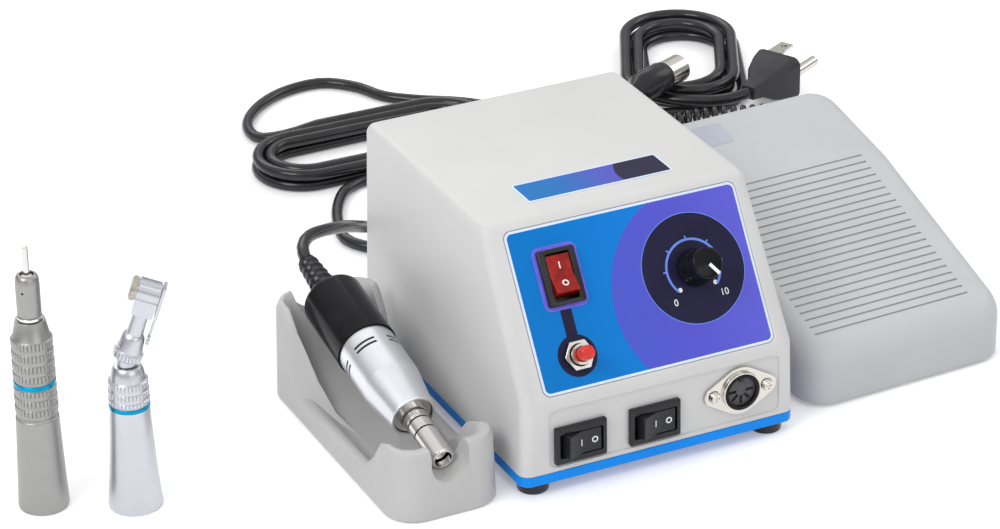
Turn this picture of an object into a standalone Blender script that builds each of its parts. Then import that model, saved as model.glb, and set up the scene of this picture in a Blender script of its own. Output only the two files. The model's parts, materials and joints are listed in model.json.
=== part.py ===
"""Dental laboratory micromotor set.

A mains control unit with a slanted control panel, a motor handpiece lying in its cradle, a foot pedal,
a straight and an angled attachment standing on their open ends, and the cords that belong to them.
X runs to the right, Y to the back and Z up. The set stands on Z = 0, and its rigid pieces are centred
on the origin in X and Y. Inside each assembly the sizes are measured from the front of the control unit.
"""

import math

import bmesh
import bpy
import numpy as np
from mathutils import Matrix, Vector

MM = 0.001
GAP = 0.3 * MM  # clearance between pieces that touch
OVERRUN = 3.0 * MM  # how far a cutter runs past the face that it opens
SMALL_RADIUS = 0.6 * MM
ROUND_SIDES = 20
MIDDLE_SIDES = 16
SMALL_SIDES = 12
CORNER_STEPS = 3
SMOOTH_ANGLE = math.radians(40)

# Control unit: housing
UNIT_BASE_WIDTH = 114.0 * MM
UNIT_TOP_WIDTH = 109.5 * MM
UNIT_DEPTH = 141.0 * MM
UNIT_HEIGHT = 94.1 * MM
KINK_HEIGHT = 38.1 * MM  # where the lower front face meets the slanted panel
KINK_SETBACK = 0.6 * MM
TOP_FRONT_SETBACK = 37.3 * MM
CORNER_RADIUS = 4.5 * MM
TOP_SIDE_ROUNDING = 3.5 * MM
TOP_FRONT_ROUNDING = 5.0 * MM
SHELL_WALL = 2.5 * MM
ROUNDING_STEPS = 3

# Control unit: base, feet and what stands inside
FOOT_HEIGHT = 5.0 * MM
FOOT_RADIUS = 6.0 * MM
FOOT_INSET = 8.0 * MM
BASE_STRIP = 3.9 * MM
BASE_FLOOR = 2.2 * MM
BASE_RIM = 4.0 * MM
BAY_GAP = 4.0 * MM  # beside and between the two bays that hold the transformer and the control board
BAY_WIDTH = (UNIT_BASE_WIDTH - 2 * SHELL_WALL - 3 * BAY_GAP) / 2
BAY_OFFSET = (BAY_GAP + BAY_WIDTH) / 2
CORE_SIZE = (BAY_WIDTH, 22.0 * MM, 40.0 * MM)
CORE_PLACE = (-BAY_OFFSET, 96.0 * MM)
CORE_LEG = 8.0 * MM
WINDING_REACH = 7.0 * MM
WINDING_CORNER = 4.1 * MM
BOARD_SIZE = (BAY_WIDTH, 72.0 * MM, 1.6 * MM)
BOARD_PLACE = (BAY_OFFSET, 82.0 * MM)
POST_RADIUS = 2.5 * MM
POST_HEIGHT = 6.0 * MM
POST_INSET = 4.0 * MM
CAPACITOR_RADIUS = 5.0 * MM
CAPACITOR_HEIGHT = 16.0 * MM
CAPACITOR_PLACES_SHARES = ((-0.3, 0.30), (0.0, 0.34))
HEAT_SINK_SIZE = (24.0 * MM, 8.0 * MM, 22.0 * MM)

# Slanted panel: places are measured from its lower edge, up the slope
OVERLAY_LEFT = -47.2 * MM
OVERLAY_RIGHT = 48.8 * MM
OVERLAY_BOTTOM = 1.9 * MM
OVERLAY_TOP = 64.0 * MM
OVERLAY_RADIUS = 3.0 * MM
OVERLAY_RECESS = 0.6 * MM
OVERLAY_THICKNESS = 0.4 * MM
POWER_SWITCH_PLACE = (-29.2 * MM, 43.7 * MM)
BREAKER_PLACE = (-30.3 * MM, 14.3 * MM)
DIAL_PLACE = (23.6 * MM, 35.5 * MM)

# Lower front face: places are measured from the top of the base strip
LOWER_RECESS = 0.6 * MM
LOWER_RECESS_LEFT = -46.0 * MM
LOWER_RECESS_RIGHT = 50.0 * MM
LOWER_RECESS_BOTTOM = 2.0 * MM
LOWER_RECESS_TOP = 25.6 * MM
MODE_SWITCH_PLACE = (-33.5 * MM, 10.8 * MM)
DIRECTION_SWITCH_PLACE = (-2.9 * MM, 10.8 * MM)
SOCKET_PLACE = (33.1 * MM, 14.9 * MM)

# Rocker switches
BEZEL_WIDTH = 15.0 * MM
BEZEL_LENGTH = 21.0 * MM
BEZEL_THICKNESS = 2.0 * MM
BEZEL_CHAMFER = 0.5 * MM
SWITCH_LIP = 1.0 * MM
SWITCH_DEPTH = 13.0 * MM
ROCKER_WIDTH = 9.2 * MM
ROCKER_LENGTH = 14.5 * MM
ROCKER_TILT = math.radians(12)
ROCKER_PIVOT_DEPTH = 1.0 * MM  # below the back of the bezel
ROCKER_CENTRE_HEIGHT = 3.0 * MM
ROCKER_KEEL = 2.0 * MM
TRUNNION_RADIUS = 1.2 * MM
TRUNNION_REACH = 0.9 * MM

# Overload breaker
BREAKER_CAN_RADIUS = 6.5 * MM
BREAKER_CAN_LENGTH = 20.0 * MM
BREAKER_NECK_RADIUS = 3.9 * MM
BREAKER_NECK_PROUD = 5.0 * MM
BREAKER_BORE_RADIUS = 3.0 * MM
BREAKER_BORE_DEPTH = 12.0 * MM
NUT_ACROSS_FLATS = 10.5 * MM
NUT_THICKNESS = 2.4 * MM
BUTTON_RADIUS = 2.7 * MM
BUTTON_PROUD = 5.6 * MM
BUTTON_TRAVEL = 2.0 * MM

# Speed dial
POT_RADIUS = 8.0 * MM
POT_DEPTH = 9.0 * MM
BUSHING_RADIUS = 4.4 * MM
BUSHING_PROUD = 4.0 * MM
SHAFT_RADIUS = 3.0 * MM
SHAFT_PROUD = 10.0 * MM
KNOB_SKIRT_RADIUS = 7.0 * MM
KNOB_RADIUS = 6.6 * MM
KNOB_TOP_RADIUS = 6.1 * MM
KNOB_HEIGHT = 12.5 * MM
KNOB_SKIRT_HEIGHT = 2.4 * MM
KNOB_EDGE = 0.8 * MM
KNOB_LIFT = 0.6 * MM

# Motor socket
SOCKET_RING_RADIUS = 7.75 * MM
SOCKET_RING_PROUD = 1.4 * MM
SOCKET_BORE_RADIUS = 6.5 * MM
SOCKET_FLANGE_RADIUS = 9.6 * MM
SOCKET_FLANGE_THICKNESS = 1.2 * MM
SOCKET_LOBE_RADIUS = 4.0 * MM
SOCKET_SCREW_SPACING = 22.2 * MM
SOCKET_CAN_DEPTH = 12.0 * MM
SOCKET_CONTACTS = 5
SOCKET_SLOT_SIZE = (3.0 * MM, 0.9 * MM, 1.4 * MM)
SOCKET_SLOT_RING = 3.6 * MM
SOCKET_SLOT_SPREAD = math.radians(180)
SCREW_HEAD_RADIUS = 2.4 * MM
SCREW_HEAD_HEIGHT = 1.3 * MM
SCREW_SHANK_RADIUS = 1.2 * MM
SCREW_LENGTH = 6.0 * MM
SCREW_CROSS_SIZE = (2.8 * MM, 0.6 * MM, 0.8 * MM)

# Rear face
REAR_ROW_HEIGHT = 24.0 * MM
MAINS_RELIEF_X = 6.0 * MM
PEDAL_SOCKET_X = 36.0 * MM
RELIEF_NECK_RADIUS = 4.8 * MM
RELIEF_FLANGE_RADIUS = 7.5 * MM
RELIEF_FLANGE_THICKNESS = 2.4 * MM
RELIEF_LENGTH = 28.0 * MM
RELIEF_ROOT_RADIUS = 5.4 * MM
RELIEF_TIP_RADIUS = 3.6 * MM
RELIEF_LOCK_LENGTH = 5.0 * MM
JACK_NECK_RADIUS = 4.0 * MM
JACK_NUT_RADIUS = 6.2 * MM
JACK_NUT_THICKNESS = 2.0 * MM
JACK_BODY_RADIUS = 6.0 * MM
JACK_BODY_LENGTH = 14.0 * MM
JACK_BORE_RADIUS = 2.1 * MM
JACK_BORE_DEPTH = 16.0 * MM
JACK_PIN_RADIUS = 1.75 * MM
JACK_PIN_LENGTH = 14.0 * MM
JACK_GRIP_RADIUS = 4.8 * MM
JACK_GRIP_LENGTH = 16.0 * MM
JACK_TAIL_LENGTH = 10.0 * MM
JACK_TAIL_RADIUS = 2.4 * MM

# Motor handpiece: lengths run from the tip of its nose along its axis
NOSE_TIP = (10.0 * MM, 20.0 * MM)  # Y and Z of the tip
TAIL_BACK = (109.0 * MM, 40.0 * MM)
NOSE_RADIUS = 4.5 * MM
NOSE_BORE_RADIUS = 3.3 * MM
NOSE_LENGTH = 25.6 * MM
NOSE_TIP_EDGE = 0.5 * MM
GROOVE_DEPTH = 0.5 * MM
GROOVE_WIDTH = 0.8 * MM
GROOVE_PLACES_SHARES = (0.57, 0.79)
NOSE_RING_RADIUS = 5.3 * MM
NOSE_RING_SHARE = 0.90
NOSE_FLANGE_RECESS = 1.0 * MM
NOSE_BODY_RADIUS = 7.4 * MM
NOSE_BODY_LENGTH = 9.6 * MM
BEARING_RADIUS = 5.0 * MM
BEARING_LENGTH = 4.0 * MM
BEARING_SEAT_LENGTH = 8.2 * MM
SLEEVE_RADIUS = 11.3 * MM
SLEEVE_FRONT_RADIUS = 8.8 * MM
SLEEVE_LENGTH = 41.4 * MM
SLEEVE_CONE_SHARE = 0.46
SLEEVE_WALL = 1.8 * MM
SLEEVE_SPIGOT_LENGTH = 5.0 * MM
VENT_LENGTH = 9.0 * MM
VENT_WIDTH = 0.9 * MM
VENT_DEPTH = 0.8 * MM
VENT_SPACING = 2.3 * MM
VENT_INSET = 6.3 * MM
VENT_GROUPS = 5
VENT_PHASE = math.radians(63)
CAP_RADIUS = 12.0 * MM
CAP_LENGTH = 33.5 * MM
CAP_WALL = 1.6 * MM
CAP_ROUNDING = 2.4 * MM
CAP_BACK = 5.0 * MM
CAP_BEARING_SHARE = 0.33
MAGNET_RADIUS = 9.2 * MM
MAGNET_BORE_RADIUS = 7.1 * MM
MAGNET_LENGTH = 22.0 * MM
ROTOR_RADIUS = 6.5 * MM
ROTOR_LENGTH = 20.0 * MM
ROTOR_SHAFT_RADIUS = 1.6 * MM
COMMUTATOR_RADIUS = 4.0 * MM
COMMUTATOR_LENGTH = 6.0 * MM
DRIVE_DOG_RADIUS = 2.6 * MM
DRIVE_DOG_LENGTH = 6.0 * MM
NOSE_RECESS = 3.5 * MM
CORD_RELIEF_PLUG_RADIUS = 4.5 * MM
CORD_RELIEF_LENGTH = 23.0 * MM
CORD_RELIEF_ROOT_RADIUS = 5.6 * MM
CORD_RELIEF_TIP_RADIUS = 4.0 * MM
CORD_RELIEF_RIBS = 6
CORD_RELIEF_RIB_HEIGHT = 0.8 * MM
CREST_SHARE, VALLEY_SHARE = 0.3, 0.8  # places of a rib's crest and of the valley after it

# Cradle
CRADLE_WIDTH = 44.0 * MM
CRADLE_SPACE = 5.0 * MM  # between the cradle and the control unit
MOTOR_X = -UNIT_BASE_WIDTH / 2 - CRADLE_SPACE - CRADLE_WIDTH / 2
CRADLE_FRONT = 3.0 * MM
CRADLE_BACK = 123.0 * MM
CRADLE_CORNER_RADIUS = 12.0 * MM
CRADLE_FLOOR = 4.0 * MM
CRADLE_SIDE_HEIGHT = 9.0 * MM
CRADLE_FRONT_HEIGHT = 28.0 * MM
CRADLE_BACK_HEIGHT = 41.0 * MM
CRADLE_FRONT_REACH_SHARES = (0.10, 0.27)
CRADLE_BACK_REACH_SHARES = (0.76, 0.91)
CRADLE_EDGE = 0.8 * MM
CRADLE_NOTCH_RADIUS = 7.5 * MM
CRADLE_INNER_RADIUS = 5.0 * MM
CRADLE_STATIONS_SHARES = (0.15, 0.20, 0.27, 0.4, 0.55, 0.70, 0.76, 0.81, 0.86)
CRADLE_WALL = 13.0 * MM  # how far the floor lies in from the sides
CRADLE_FRONT_WALL = 20.0 * MM
CRADLE_BACK_WALL = 46.0 * MM
CRADLE_BOWL_SHARES = (  # shares of the three walls (side, front, back), and of the rise from floor to rim
    (0.06, 0.04, 0.02, 0.90), (0.15, 0.10, 0.05, 0.985), (0.26, 0.21, 0.09, 1.0), (0.37, 0.35, 0.14, 0.96),
    (0.46, 0.50, 0.22, 0.80), (0.62, 0.65, 0.44, 0.40), (0.80, 0.80, 0.70, 0.10), (1.0, 1.0, 1.0, 0.0),
)

# Foot pedal
PEDAL_REACH = 58.2 * MM  # from the side of the control unit to the middle of the pedal
PEDAL_X = UNIT_BASE_WIDTH / 2 + PEDAL_REACH
PEDAL_TURN = math.radians(2.5)
PEDAL_FRONT = 11.0 * MM
PEDAL_WIDTH = 91.5 * MM
PEDAL_DEPTH = 134.0 * MM
PEDAL_FRONT_HEIGHT = 23.0 * MM
PEDAL_KINK_DISTANCE = 86.0 * MM
PEDAL_KINK_HEIGHT = 54.5 * MM
PEDAL_BACK_HEIGHT = 65.5 * MM
PEDAL_CORNER_RADIUS = 12.0 * MM
PEDAL_EDGE_ROUNDING = 8.0 * MM
PEDAL_WALL = 2.5 * MM
PEDAL_SKIRT_FRONT = 1.6 * MM
PEDAL_SKIRT_BACK = 11.0 * MM
PEDAL_BASE_CLEARANCE = 1.2 * MM
PEDAL_BASE_WALL = 2.4 * MM
PEDAL_BASE_FLOOR = 3.0 * MM
PEDAL_BASE_FRONT_HEIGHT = 13.0 * MM
PEDAL_BASE_BACK_HEIGHT = 27.0 * MM
GROOVE_COUNT = 22
GROOVE_FIRST = 10.5 * MM
GROOVE_PITCH = 3.6 * MM
RIDGE_OFFSET = -2.5 * MM
RIDGE_WIDTH = 70.0 * MM
RIDGE_GROOVE_WIDTH = 0.9 * MM
RIDGE_GROOVE_DEPTH = 0.7 * MM
PIN_RADIUS = 2.0 * MM
PIN_DISTANCE = 12.0 * MM
PIN_HEIGHT = 9.0 * MM
LUG_THICKNESS = 4.0 * MM
LUG_HALF_DEPTH = 4.0 * MM
LUG_SPREAD = 30.0 * MM
LUG_CLEARANCE = 1.0 * MM
SPRING_RADIUS = 6.0 * MM
SPRING_WIRE = 1.6 * MM
SPRING_CURLS = 5
SPRING_PLACE = (0.0, 106.0 * MM)
SENSOR_BOARD_SIZE = (34.0 * MM, 26.0 * MM, 1.6 * MM)
SENSOR_PLACE = (0.0, 66.0 * MM)
SENSOR_POST_HEIGHT = 3.0 * MM
SENSOR_BLOCK_SIZE = (10.0 * MM, 10.0 * MM, 8.0 * MM)
PEDAL_CORD_BOSS_RADIUS = 3.4 * MM
PEDAL_CORD_BOSS_LENGTH = 9.0 * MM
PEDAL_CORD_HEIGHT = 6.5 * MM
PEDAL_PRESS_DROP = 8.0 * MM

# Straight attachment, standing on its open end
STRAIGHT_PLACE = (-213.0 * MM, 79.0 * MM)
ATTACHMENT_TURN = math.radians(-25.8)
STRAIGHT_SLEEVE_HEIGHT = 76.6 * MM
STRAIGHT_WAIST_RADIUS = 7.1 * MM
STRAIGHT_NOSE_RADIUS = 4.4 * MM
STRAIGHT_NOSE_HEIGHT = 17.5 * MM
STRAIGHT_SHANK_RADIUS = 1.175 * MM
STRAIGHT_SHANK_PROUD = 10.8 * MM
STRAIGHT_PROFILE_SHARES = (  # height over the sleeve's height, and radius over the waist's
    (0.0, 1.28), (0.015, 1.316), (0.05, 1.30), (0.12, 1.26), (0.217, 1.22), (0.35, 1.16), (0.485, 1.11),
    (0.49, 1.05), (0.50, 1.05), (0.505, 1.06), (0.905, 1.02), (0.91, 0.97), (1.0, 0.76),
)
STRAIGHT_CHUCK_SHARES = (  # height over the chuck ring's height, and radius over its largest
    (0.0, 1.03), (0.065, 1.03), (0.068, 0.94), (0.085, 0.94), (0.09, 1.0), (0.78, 1.0), (0.92, 0.95),
    (0.98, 0.82), (1.0, 0.70),
)
ATTACHMENT_BORE_RADIUS = NOSE_RING_RADIUS + GAP  # fits over the handpiece's nose
ATTACHMENT_BORE_DEPTH = NOSE_LENGTH + GAP
SPINDLE_BORE_RADIUS = 2.6 * MM
SPINDLE_RADIUS = 2.2 * MM

# Angled attachment, standing on its open end
CONTRA_PLACE = (-183.0 * MM, 64.0 * MM)
CONTRA_SHEATH_HEIGHT = 57.6 * MM
CONTRA_WAIST_RADIUS = 7.3 * MM
CONTRA_PROFILE_SHARES = (
    (0.0, 1.34), (0.02, 1.37), (0.06, 1.33), (0.22, 1.22), (0.51, 1.08), (0.70, 1.01), (0.745, 0.99),
    (0.905, 0.95), (0.91, 0.88), (0.955, 0.83), (0.985, 0.75), (1.0, 0.66),
)
CONTRA_TILT = math.radians(19)
CONTRA_NECK_SHARES = (  # height over the neck's length, and radius over its largest
    (0.0, 0.88), (0.02, 1.0), (0.155, 1.0), (0.165, 0.94), (0.39, 0.82), (0.44, 0.74), (0.47, 0.60),
    (1.0, 0.55),
)
CONTRA_NECK_LENGTH = 23.0 * MM
CONTRA_NECK_RADIUS = 5.1 * MM
CONTRA_NECK_LIFT = 0.8 * MM
CONTRA_ROOT_SHARE = 0.7  # of the neck's radius
CONTRA_HEAD_HEIGHT = 28.0 * MM
CONTRA_HEAD_RADIUS = 4.2 * MM
CONTRA_HEAD_FRONT = 3.9 * MM
CONTRA_HEAD_BACK = 4.4 * MM
CONTRA_HEAD_DROP = 9.0 * MM
CONTRA_HEAD_WIDTH = 6.4 * MM
CONTRA_CAP_LENGTH = 2.6 * MM
CONTRA_CAP_SHARES = (0.92, 1.04, 0.9)  # radius of its groove, rim and top over the head's
CONTRA_CHEEK_SHARE = 0.9  # how far the cheeks rise into the head
LATCH_THICKNESS = 1.2 * MM
LATCH_TAIL_LENGTH = 10.7 * MM
LATCH_WIRE_RADIUS = 0.5 * MM
LATCH_TAB_RADIUS = 1.9 * MM

# Motor cord, mains cord and pedal cord, with their plugs
MOTOR_CORD_DIAMETER = 5.0 * MM
MOTOR_HANK_CENTRE = (15.0 * MM, 292.0 * MM)
MOTOR_HANK_HALF_RUN = 32.0 * MM
MOTOR_HANK_RADIUS = 12.0 * MM
MOTOR_HANK_LOOPS = 4.5
MOTOR_PLUG_BASE = (123.3 * MM, 261.3 * MM, 18.6 * MM)
MOTOR_PLUG_DIRECTION = (0.91, 0.414, 0.0)
PLUG_RADIUS = 7.0 * MM
PLUG_LENGTH = 27.0 * MM
PLUG_PROFILE_SHARES = ((0.0, 0.47), (0.26, 0.60), (0.36, 0.94), (0.9, 1.0), (1.0, 0.92))
PLUG_SHELL_RADIUS = SOCKET_BORE_RADIUS - GAP
PLUG_SHELL_WALL = 0.9 * MM
PLUG_SHELL_LENGTH = 11.0 * MM
PLUG_SHELL_RECESS = 3.6 * MM
MAINS_CORD_DIAMETER = 5.2 * MM
MAINS_COIL_CENTRE = (177.5 * MM, 309.5 * MM)
MAINS_COIL_ANGLE = math.radians(64.2)
MAINS_COIL_HALF_RUN = 14.0 * MM
MAINS_COIL_RADIUS = 15.6 * MM
MAINS_COIL_LOOPS = 4
MAINS_COIL_START_SHARE = 0.75
MAINS_COIL_STRETCH_SHARE = 0.8
MAINS_PLUG_BASE = (181.0 * MM, 254.8 * MM, 10.6 * MM)
MAINS_PLUG_DIRECTION = (0.88, 0.475, 0.0)
MAINS_PLUG_LENGTH = 26.0 * MM
MAINS_PLUG_WIDTH = 20.0 * MM
MAINS_PLUG_DEPTH = 23.0 * MM
MAINS_PLUG_CORNER = 4.0 * MM
MAINS_PLUG_SHARES = ((0.0, 0.30), (0.30, 0.42), (0.48, 0.70), (0.78, 0.92), (0.97, 1.0), (1.0, 0.96))
BLADE_SPACING = 12.7 * MM
BLADE_SIZE = (1.5 * MM, 6.3 * MM, 17.5 * MM)
BLADE_HOLE_RADIUS = 1.5 * MM
BLADE_HOLE_SHARE = 0.8
GROUND_PIN_RADIUS = 2.4 * MM
GROUND_PIN_LENGTH = 21.0 * MM
GROUND_PIN_OFFSET = 11.9 * MM
CONTACT_BAR_THICKNESS = 2.0 * MM
PEDAL_CORD_DIAMETER = 2.8 * MM
CURL_RADIUS = 4.25 * MM
CURL_PITCH = 4.2 * MM
CURL_COUNT = 28
CURL_STEPS = 8
LOOP_GAP = 0.6 * MM
LOOP_STEPS = 24
ROUTE_STEP_SHARE = 2.8  # spacing of a route's points over the cord's diameter

# Routes of the cords' free stretches, in millimetres
MOTOR_LEAD_ROUTE = (
    (-83, 141, 47.2), (-77, 148, 47), (-66, 156, 43.5), (-52, 169, 36), (-37, 186, 25), (-26, 201, 15.5),
    (-16, 213, 8), (-7, 219.5, 3.6), (1, 217, 2.6), (5, 209.5, 2.6), (-1, 201.5, 2.6), (-13, 202, 2.6),
    (-24, 208, 2.6), (-30, 219, 2.6), (-27, 234, 2.6), (-20, 250, 2.6), (-11, 262, 2.6),
)
MOTOR_TAIL_ROUTE = (
    (-14, 319, 5.4), (-24, 326, 3), (-24, 340, 2.6), (-13, 356, 2.6), (5, 367, 2.6), (24, 368, 2.6),
    (36, 357, 2.6), (43, 342, 2.6), (55, 331, 2.6), (71, 320, 2.6), (84, 306, 2.6), (93, 292, 2.8),
    (99, 281, 5), (103, 271, 9.5), (107, 263, 14), (112, 258.8, 17.4),
)
MAINS_LEAD_ROUTE = (
    (7, 193, 19.5), (11, 205, 11.5), (20, 216, 4.8), (36, 226, 2.8), (56, 239, 2.7), (80, 256, 2.7),
    (100, 268.5, 2.7), (117, 275, 2.7), (131, 275, 2.7),
)
MAINS_TAIL_ROUTE = ((170, 256.4, 9.6),)
PEDAL_LEAD_ROUTE = (
    (110, 165, 4), (116, 181, 1.8), (128, 198, 1.6), (146, 212, 1.6), (164, 220, 1.6), (181, 222, 1.8),
    (191, 226, 2.8), (192, 233, 4.6),
)
CURL_ROUTE = (
    (185, 237, 5.8), (173, 241.5, 5.8), (159, 246.5, 5.8), (145, 249, 5.8), (128, 249, 5.8), (110, 245.5, 5.8),
    (94, 239.5, 5.8), (82, 232, 5.8),
)
PEDAL_TAIL_ROUTE = ((72, 223, 3.6), (61, 211, 1.8), (48, 199, 6), (38, 187, 18))

# Finishes: colour, roughness and metallic share
FINISHES = {
    "housing_grey": ((0.66, 0.67, 0.68), 0.45, 0.0),
    "pedal_grey": ((0.58, 0.60, 0.62), 0.5, 0.0),
    "cradle_grey": ((0.46, 0.47, 0.47), 0.55, 0.0),
    "azure": ((0.0, 0.28, 0.80), 0.4, 0.0),
    "panel_blue": ((0.02, 0.20, 0.68), 0.35, 0.0),
    "black_plastic": ((0.012, 0.012, 0.014), 0.35, 0.0),
    "black_rubber": ((0.014, 0.014, 0.016), 0.6, 0.0),
    "red_lens": ((0.75, 0.02, 0.01), 0.25, 0.0),
    "aluminium": ((0.68, 0.70, 0.73), 0.32, 1.0),
    "steel": ((0.62, 0.61, 0.58), 0.22, 1.0),
    "nickel": ((0.70, 0.67, 0.60), 0.2, 1.0),
    "matt_steel": ((0.36, 0.36, 0.36), 0.42, 1.0),
    "satin_silver": ((0.66, 0.67, 0.70), 0.35, 1.0),
    "laminate_green": ((0.02, 0.22, 0.08), 0.5, 0.0),
    "copper": ((0.72, 0.27, 0.10), 0.35, 1.0),
    "magnet_grey": ((0.10, 0.10, 0.11), 0.6, 0.4),
}

SLANT_ANGLE = math.atan2(TOP_FRONT_SETBACK - KINK_SETBACK, UNIT_HEIGHT - KINK_HEIGHT)
BASE_TOP = FOOT_HEIGHT + BASE_STRIP
LEAN_ANGLE = math.atan2(KINK_SETBACK, KINK_HEIGHT - BASE_TOP)
HOUSING_BOTTOM = BASE_TOP + GAP
PEDAL_BACK = PEDAL_FRONT + PEDAL_DEPTH
OVERLAY_SURFACE = OVERLAY_THICKNESS + GAP - OVERLAY_RECESS
PANEL_SEAT = OVERLAY_SURFACE + GAP
LOWER_SEAT = GAP - LOWER_RECESS


def clear_scene():
    for thing in list(bpy.data.objects):
        bpy.data.objects.remove(thing, do_unlink=True)


def turned_frame(origin, x_axis=(1, 0, 0), z_axis=(0, 0, 1)):
    """Matrix of a right-handed frame at origin, with the given X and Z directions."""
    z = Vector(z_axis).normalized()
    x = Vector(x_axis)
    x = (x - z * x.dot(z)).normalized()
    y = z.cross(x)
    return Matrix.Translation(origin) @ Matrix((x, y, z)).transposed().to_4x4()


def assembly(name, parent=None, origin=(0, 0, 0), x_axis=(1, 0, 0), z_axis=(0, 0, 1)):
    """An empty that carries the pieces of one assembly."""
    empty = bpy.data.objects.new(name, None)
    bpy.context.collection.objects.link(empty)
    empty.parent = parent
    empty.matrix_basis = turned_frame(origin, x_axis, z_axis)
    return empty


def dress(thing, finish):
    colour, roughness, metallic = FINISHES[finish]
    surface = bpy.data.materials.new(thing.name)
    surface.use_nodes = True
    shader = surface.node_tree.nodes["Principled BSDF"]
    shader.inputs["Base Color"].default_value = (*colour, 1.0)
    shader.inputs["Roughness"].default_value = roughness
    shader.inputs["Metallic"].default_value = metallic
    thing.data.materials.append(surface)


def mesh_object(name, shape, parent, at, turn):
    data = bpy.data.meshes.new(name)
    shape.to_mesh(data)
    shape.free()
    thing = bpy.data.objects.new(name, data)
    bpy.context.collection.objects.link(thing)
    thing.parent = parent
    thing.location = at
    thing.rotation_euler = turn
    return thing


def piece(name, shape, finish, parent, at=(0, 0, 0), turn=(0, 0, 0)):
    """One separate solid of the real object."""
    thing = mesh_object(name, shape, parent, at, turn)
    thing.data.shade_smooth()
    thing.data.set_sharp_from_angle(angle=SMOOTH_ANGLE)
    dress(thing, finish)
    return thing


def combine(target, shape, parent, at=(0, 0, 0), turn=(0, 0, 0), operation="DIFFERENCE"):
    """Cuts a shape from a piece, or joins it on, with a hidden helper."""
    helper = mesh_object(f"{target.name}_helper", shape, parent, at, turn)
    helper.hide_render = True
    helper.display_type = "WIRE"
    modifier = target.modifiers.new(operation.title(), "BOOLEAN")
    modifier.operation = operation
    modifier.object = helper


def join_on(target, shape, parent, at=(0, 0, 0), turn=(0, 0, 0)):
    combine(target, shape, parent, at, turn, operation="UNION")


def ladder_faces(shape, loop):
    """Closes a ring whose halves mirror each other with one face for each step from front to back."""
    last = len(loop) - 1
    for step in range(len(loop) // 2 - 1):
        shape.faces.new((loop[step], loop[step + 1], loop[last - step - 1], loop[last - step]))


def skin(rings, closed=False, ladder=False):
    """A closed body through rings of equally many points."""
    shape = bmesh.new()
    loops = [[shape.verts.new(point) for point in ring] for ring in rings]
    pairs = list(zip(loops, loops[1:]))
    if closed:
        pairs.append((loops[-1], loops[0]))
    for low, high in pairs:
        for index in range(len(low)):
            following = (index + 1) % len(low)
            shape.faces.new((low[index], low[following], high[following], high[index]))
    if not closed:
        for loop in (loops[0], loops[-1]):
            if ladder:
                ladder_faces(shape, loop)
            else:
                shape.faces.new(loop)
    bmesh.ops.recalc_face_normals(shape, faces=shape.faces)
    return shape


def turned(profile, sides=ROUND_SIDES, closed=False):
    """A turned body from (radius, height) pairs, capped at both ends or run round into a tube."""
    angles = [math.tau * side / sides for side in range(sides)]
    return skin(
        [[(radius * math.cos(a), radius * math.sin(a), height) for a in angles] for radius, height in profile],
        closed=closed,
    )


def rod(radius, low, high, sides=SMALL_SIDES):
    return turned([(radius, low), (radius, high)], sides)


def outline(half_width, front, back, radius, stations=(), steps=CORNER_STEPS):
    """Rounded rectangle: its right half from front to back, then its left half from back to front."""
    right = []
    for step in range(steps + 1):
        angle = math.pi / 2 * (step / steps - 1)
        across, along = radius * math.cos(angle), radius * math.sin(angle)
        right.append((half_width - radius + across, front + radius + along))
    right += [(half_width, station) for station in stations]
    for step in range(steps + 1):
        angle = math.pi / 2 * step / steps
        across, along = radius * math.cos(angle), radius * math.sin(angle)
        right.append((half_width - radius + across, back - radius + along))
    return right + [(-x, y) for x, y in reversed(right)]


def level(points, height):
    return [(x, y, height) for x, y in points]


def plate(half_width, half_length, radius, low, high):
    flat = outline(half_width, -half_length, half_length, radius, steps=1)
    return skin([level(flat, low), level(flat, high)])


def block(size, centre=(0, 0, 0)):
    shape = bmesh.new()
    bmesh.ops.create_cube(shape, size=1)
    bmesh.ops.scale(shape, vec=size, verts=shape.verts)
    bmesh.ops.translate(shape, vec=centre, verts=shape.verts)
    return shape


def blocks(size, places):
    """Several equal blocks in one helper, each at (centre, turning matrix)."""
    shape = bmesh.new()
    for centre, turning in places:
        place = Matrix.Translation(centre) @ turning.to_4x4() @ Matrix.Diagonal((*size, 1))
        bmesh.ops.create_cube(shape, size=1, matrix=place)
    return shape


def rise_share(value, low, high):
    """Smooth step from 0 at low to 1 at high."""
    share = min(max((value - low) / (high - low), 0.0), 1.0)
    return share * share * (3 - 2 * share)


# Housing


def rounding_inset(height, top, radius):
    """How far a rounded top edge has drawn in at a height."""
    above = max(height - (top - radius), 0.0)
    return radius - math.sqrt(max(radius * radius - above * above, 0.0))


def front_setback(height, inset):
    """Distance of the housing's front from its lower front edge, at a height."""
    top = UNIT_HEIGHT - inset
    radius = TOP_FRONT_ROUNDING - inset
    lower = KINK_SETBACK * (height - BASE_TOP) / (KINK_HEIGHT - BASE_TOP) + inset

    def slanted(at_height):
        return KINK_SETBACK + (at_height - KINK_HEIGHT) * math.tan(SLANT_ANGLE) + inset / math.cos(SLANT_ANGLE)

    tangent = top - radius + radius * math.sin(SLANT_ANGLE)
    if height <= tangent:
        return max(lower, slanted(height))
    centre = slanted(tangent) + radius * math.cos(SLANT_ANGLE)
    above = height - (top - radius)
    return centre - math.sqrt(max(radius * radius - above * above, 0.0))


def unit_section(height, inset=0.0):
    """Outline of the housing at a height, or of its hollow when inset is the wall."""
    top = UNIT_HEIGHT - inset
    taper = (height - BASE_TOP) / (UNIT_HEIGHT - BASE_TOP)
    half_width = (UNIT_BASE_WIDTH + (UNIT_TOP_WIDTH - UNIT_BASE_WIDTH) * taper) / 2 - inset
    drawn_in = rounding_inset(height, top, TOP_SIDE_ROUNDING - inset)
    radius = CORNER_RADIUS - inset - drawn_in
    flat = outline(half_width - drawn_in, front_setback(height, inset), UNIT_DEPTH - inset - drawn_in, radius)
    return level(flat, height)


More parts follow.
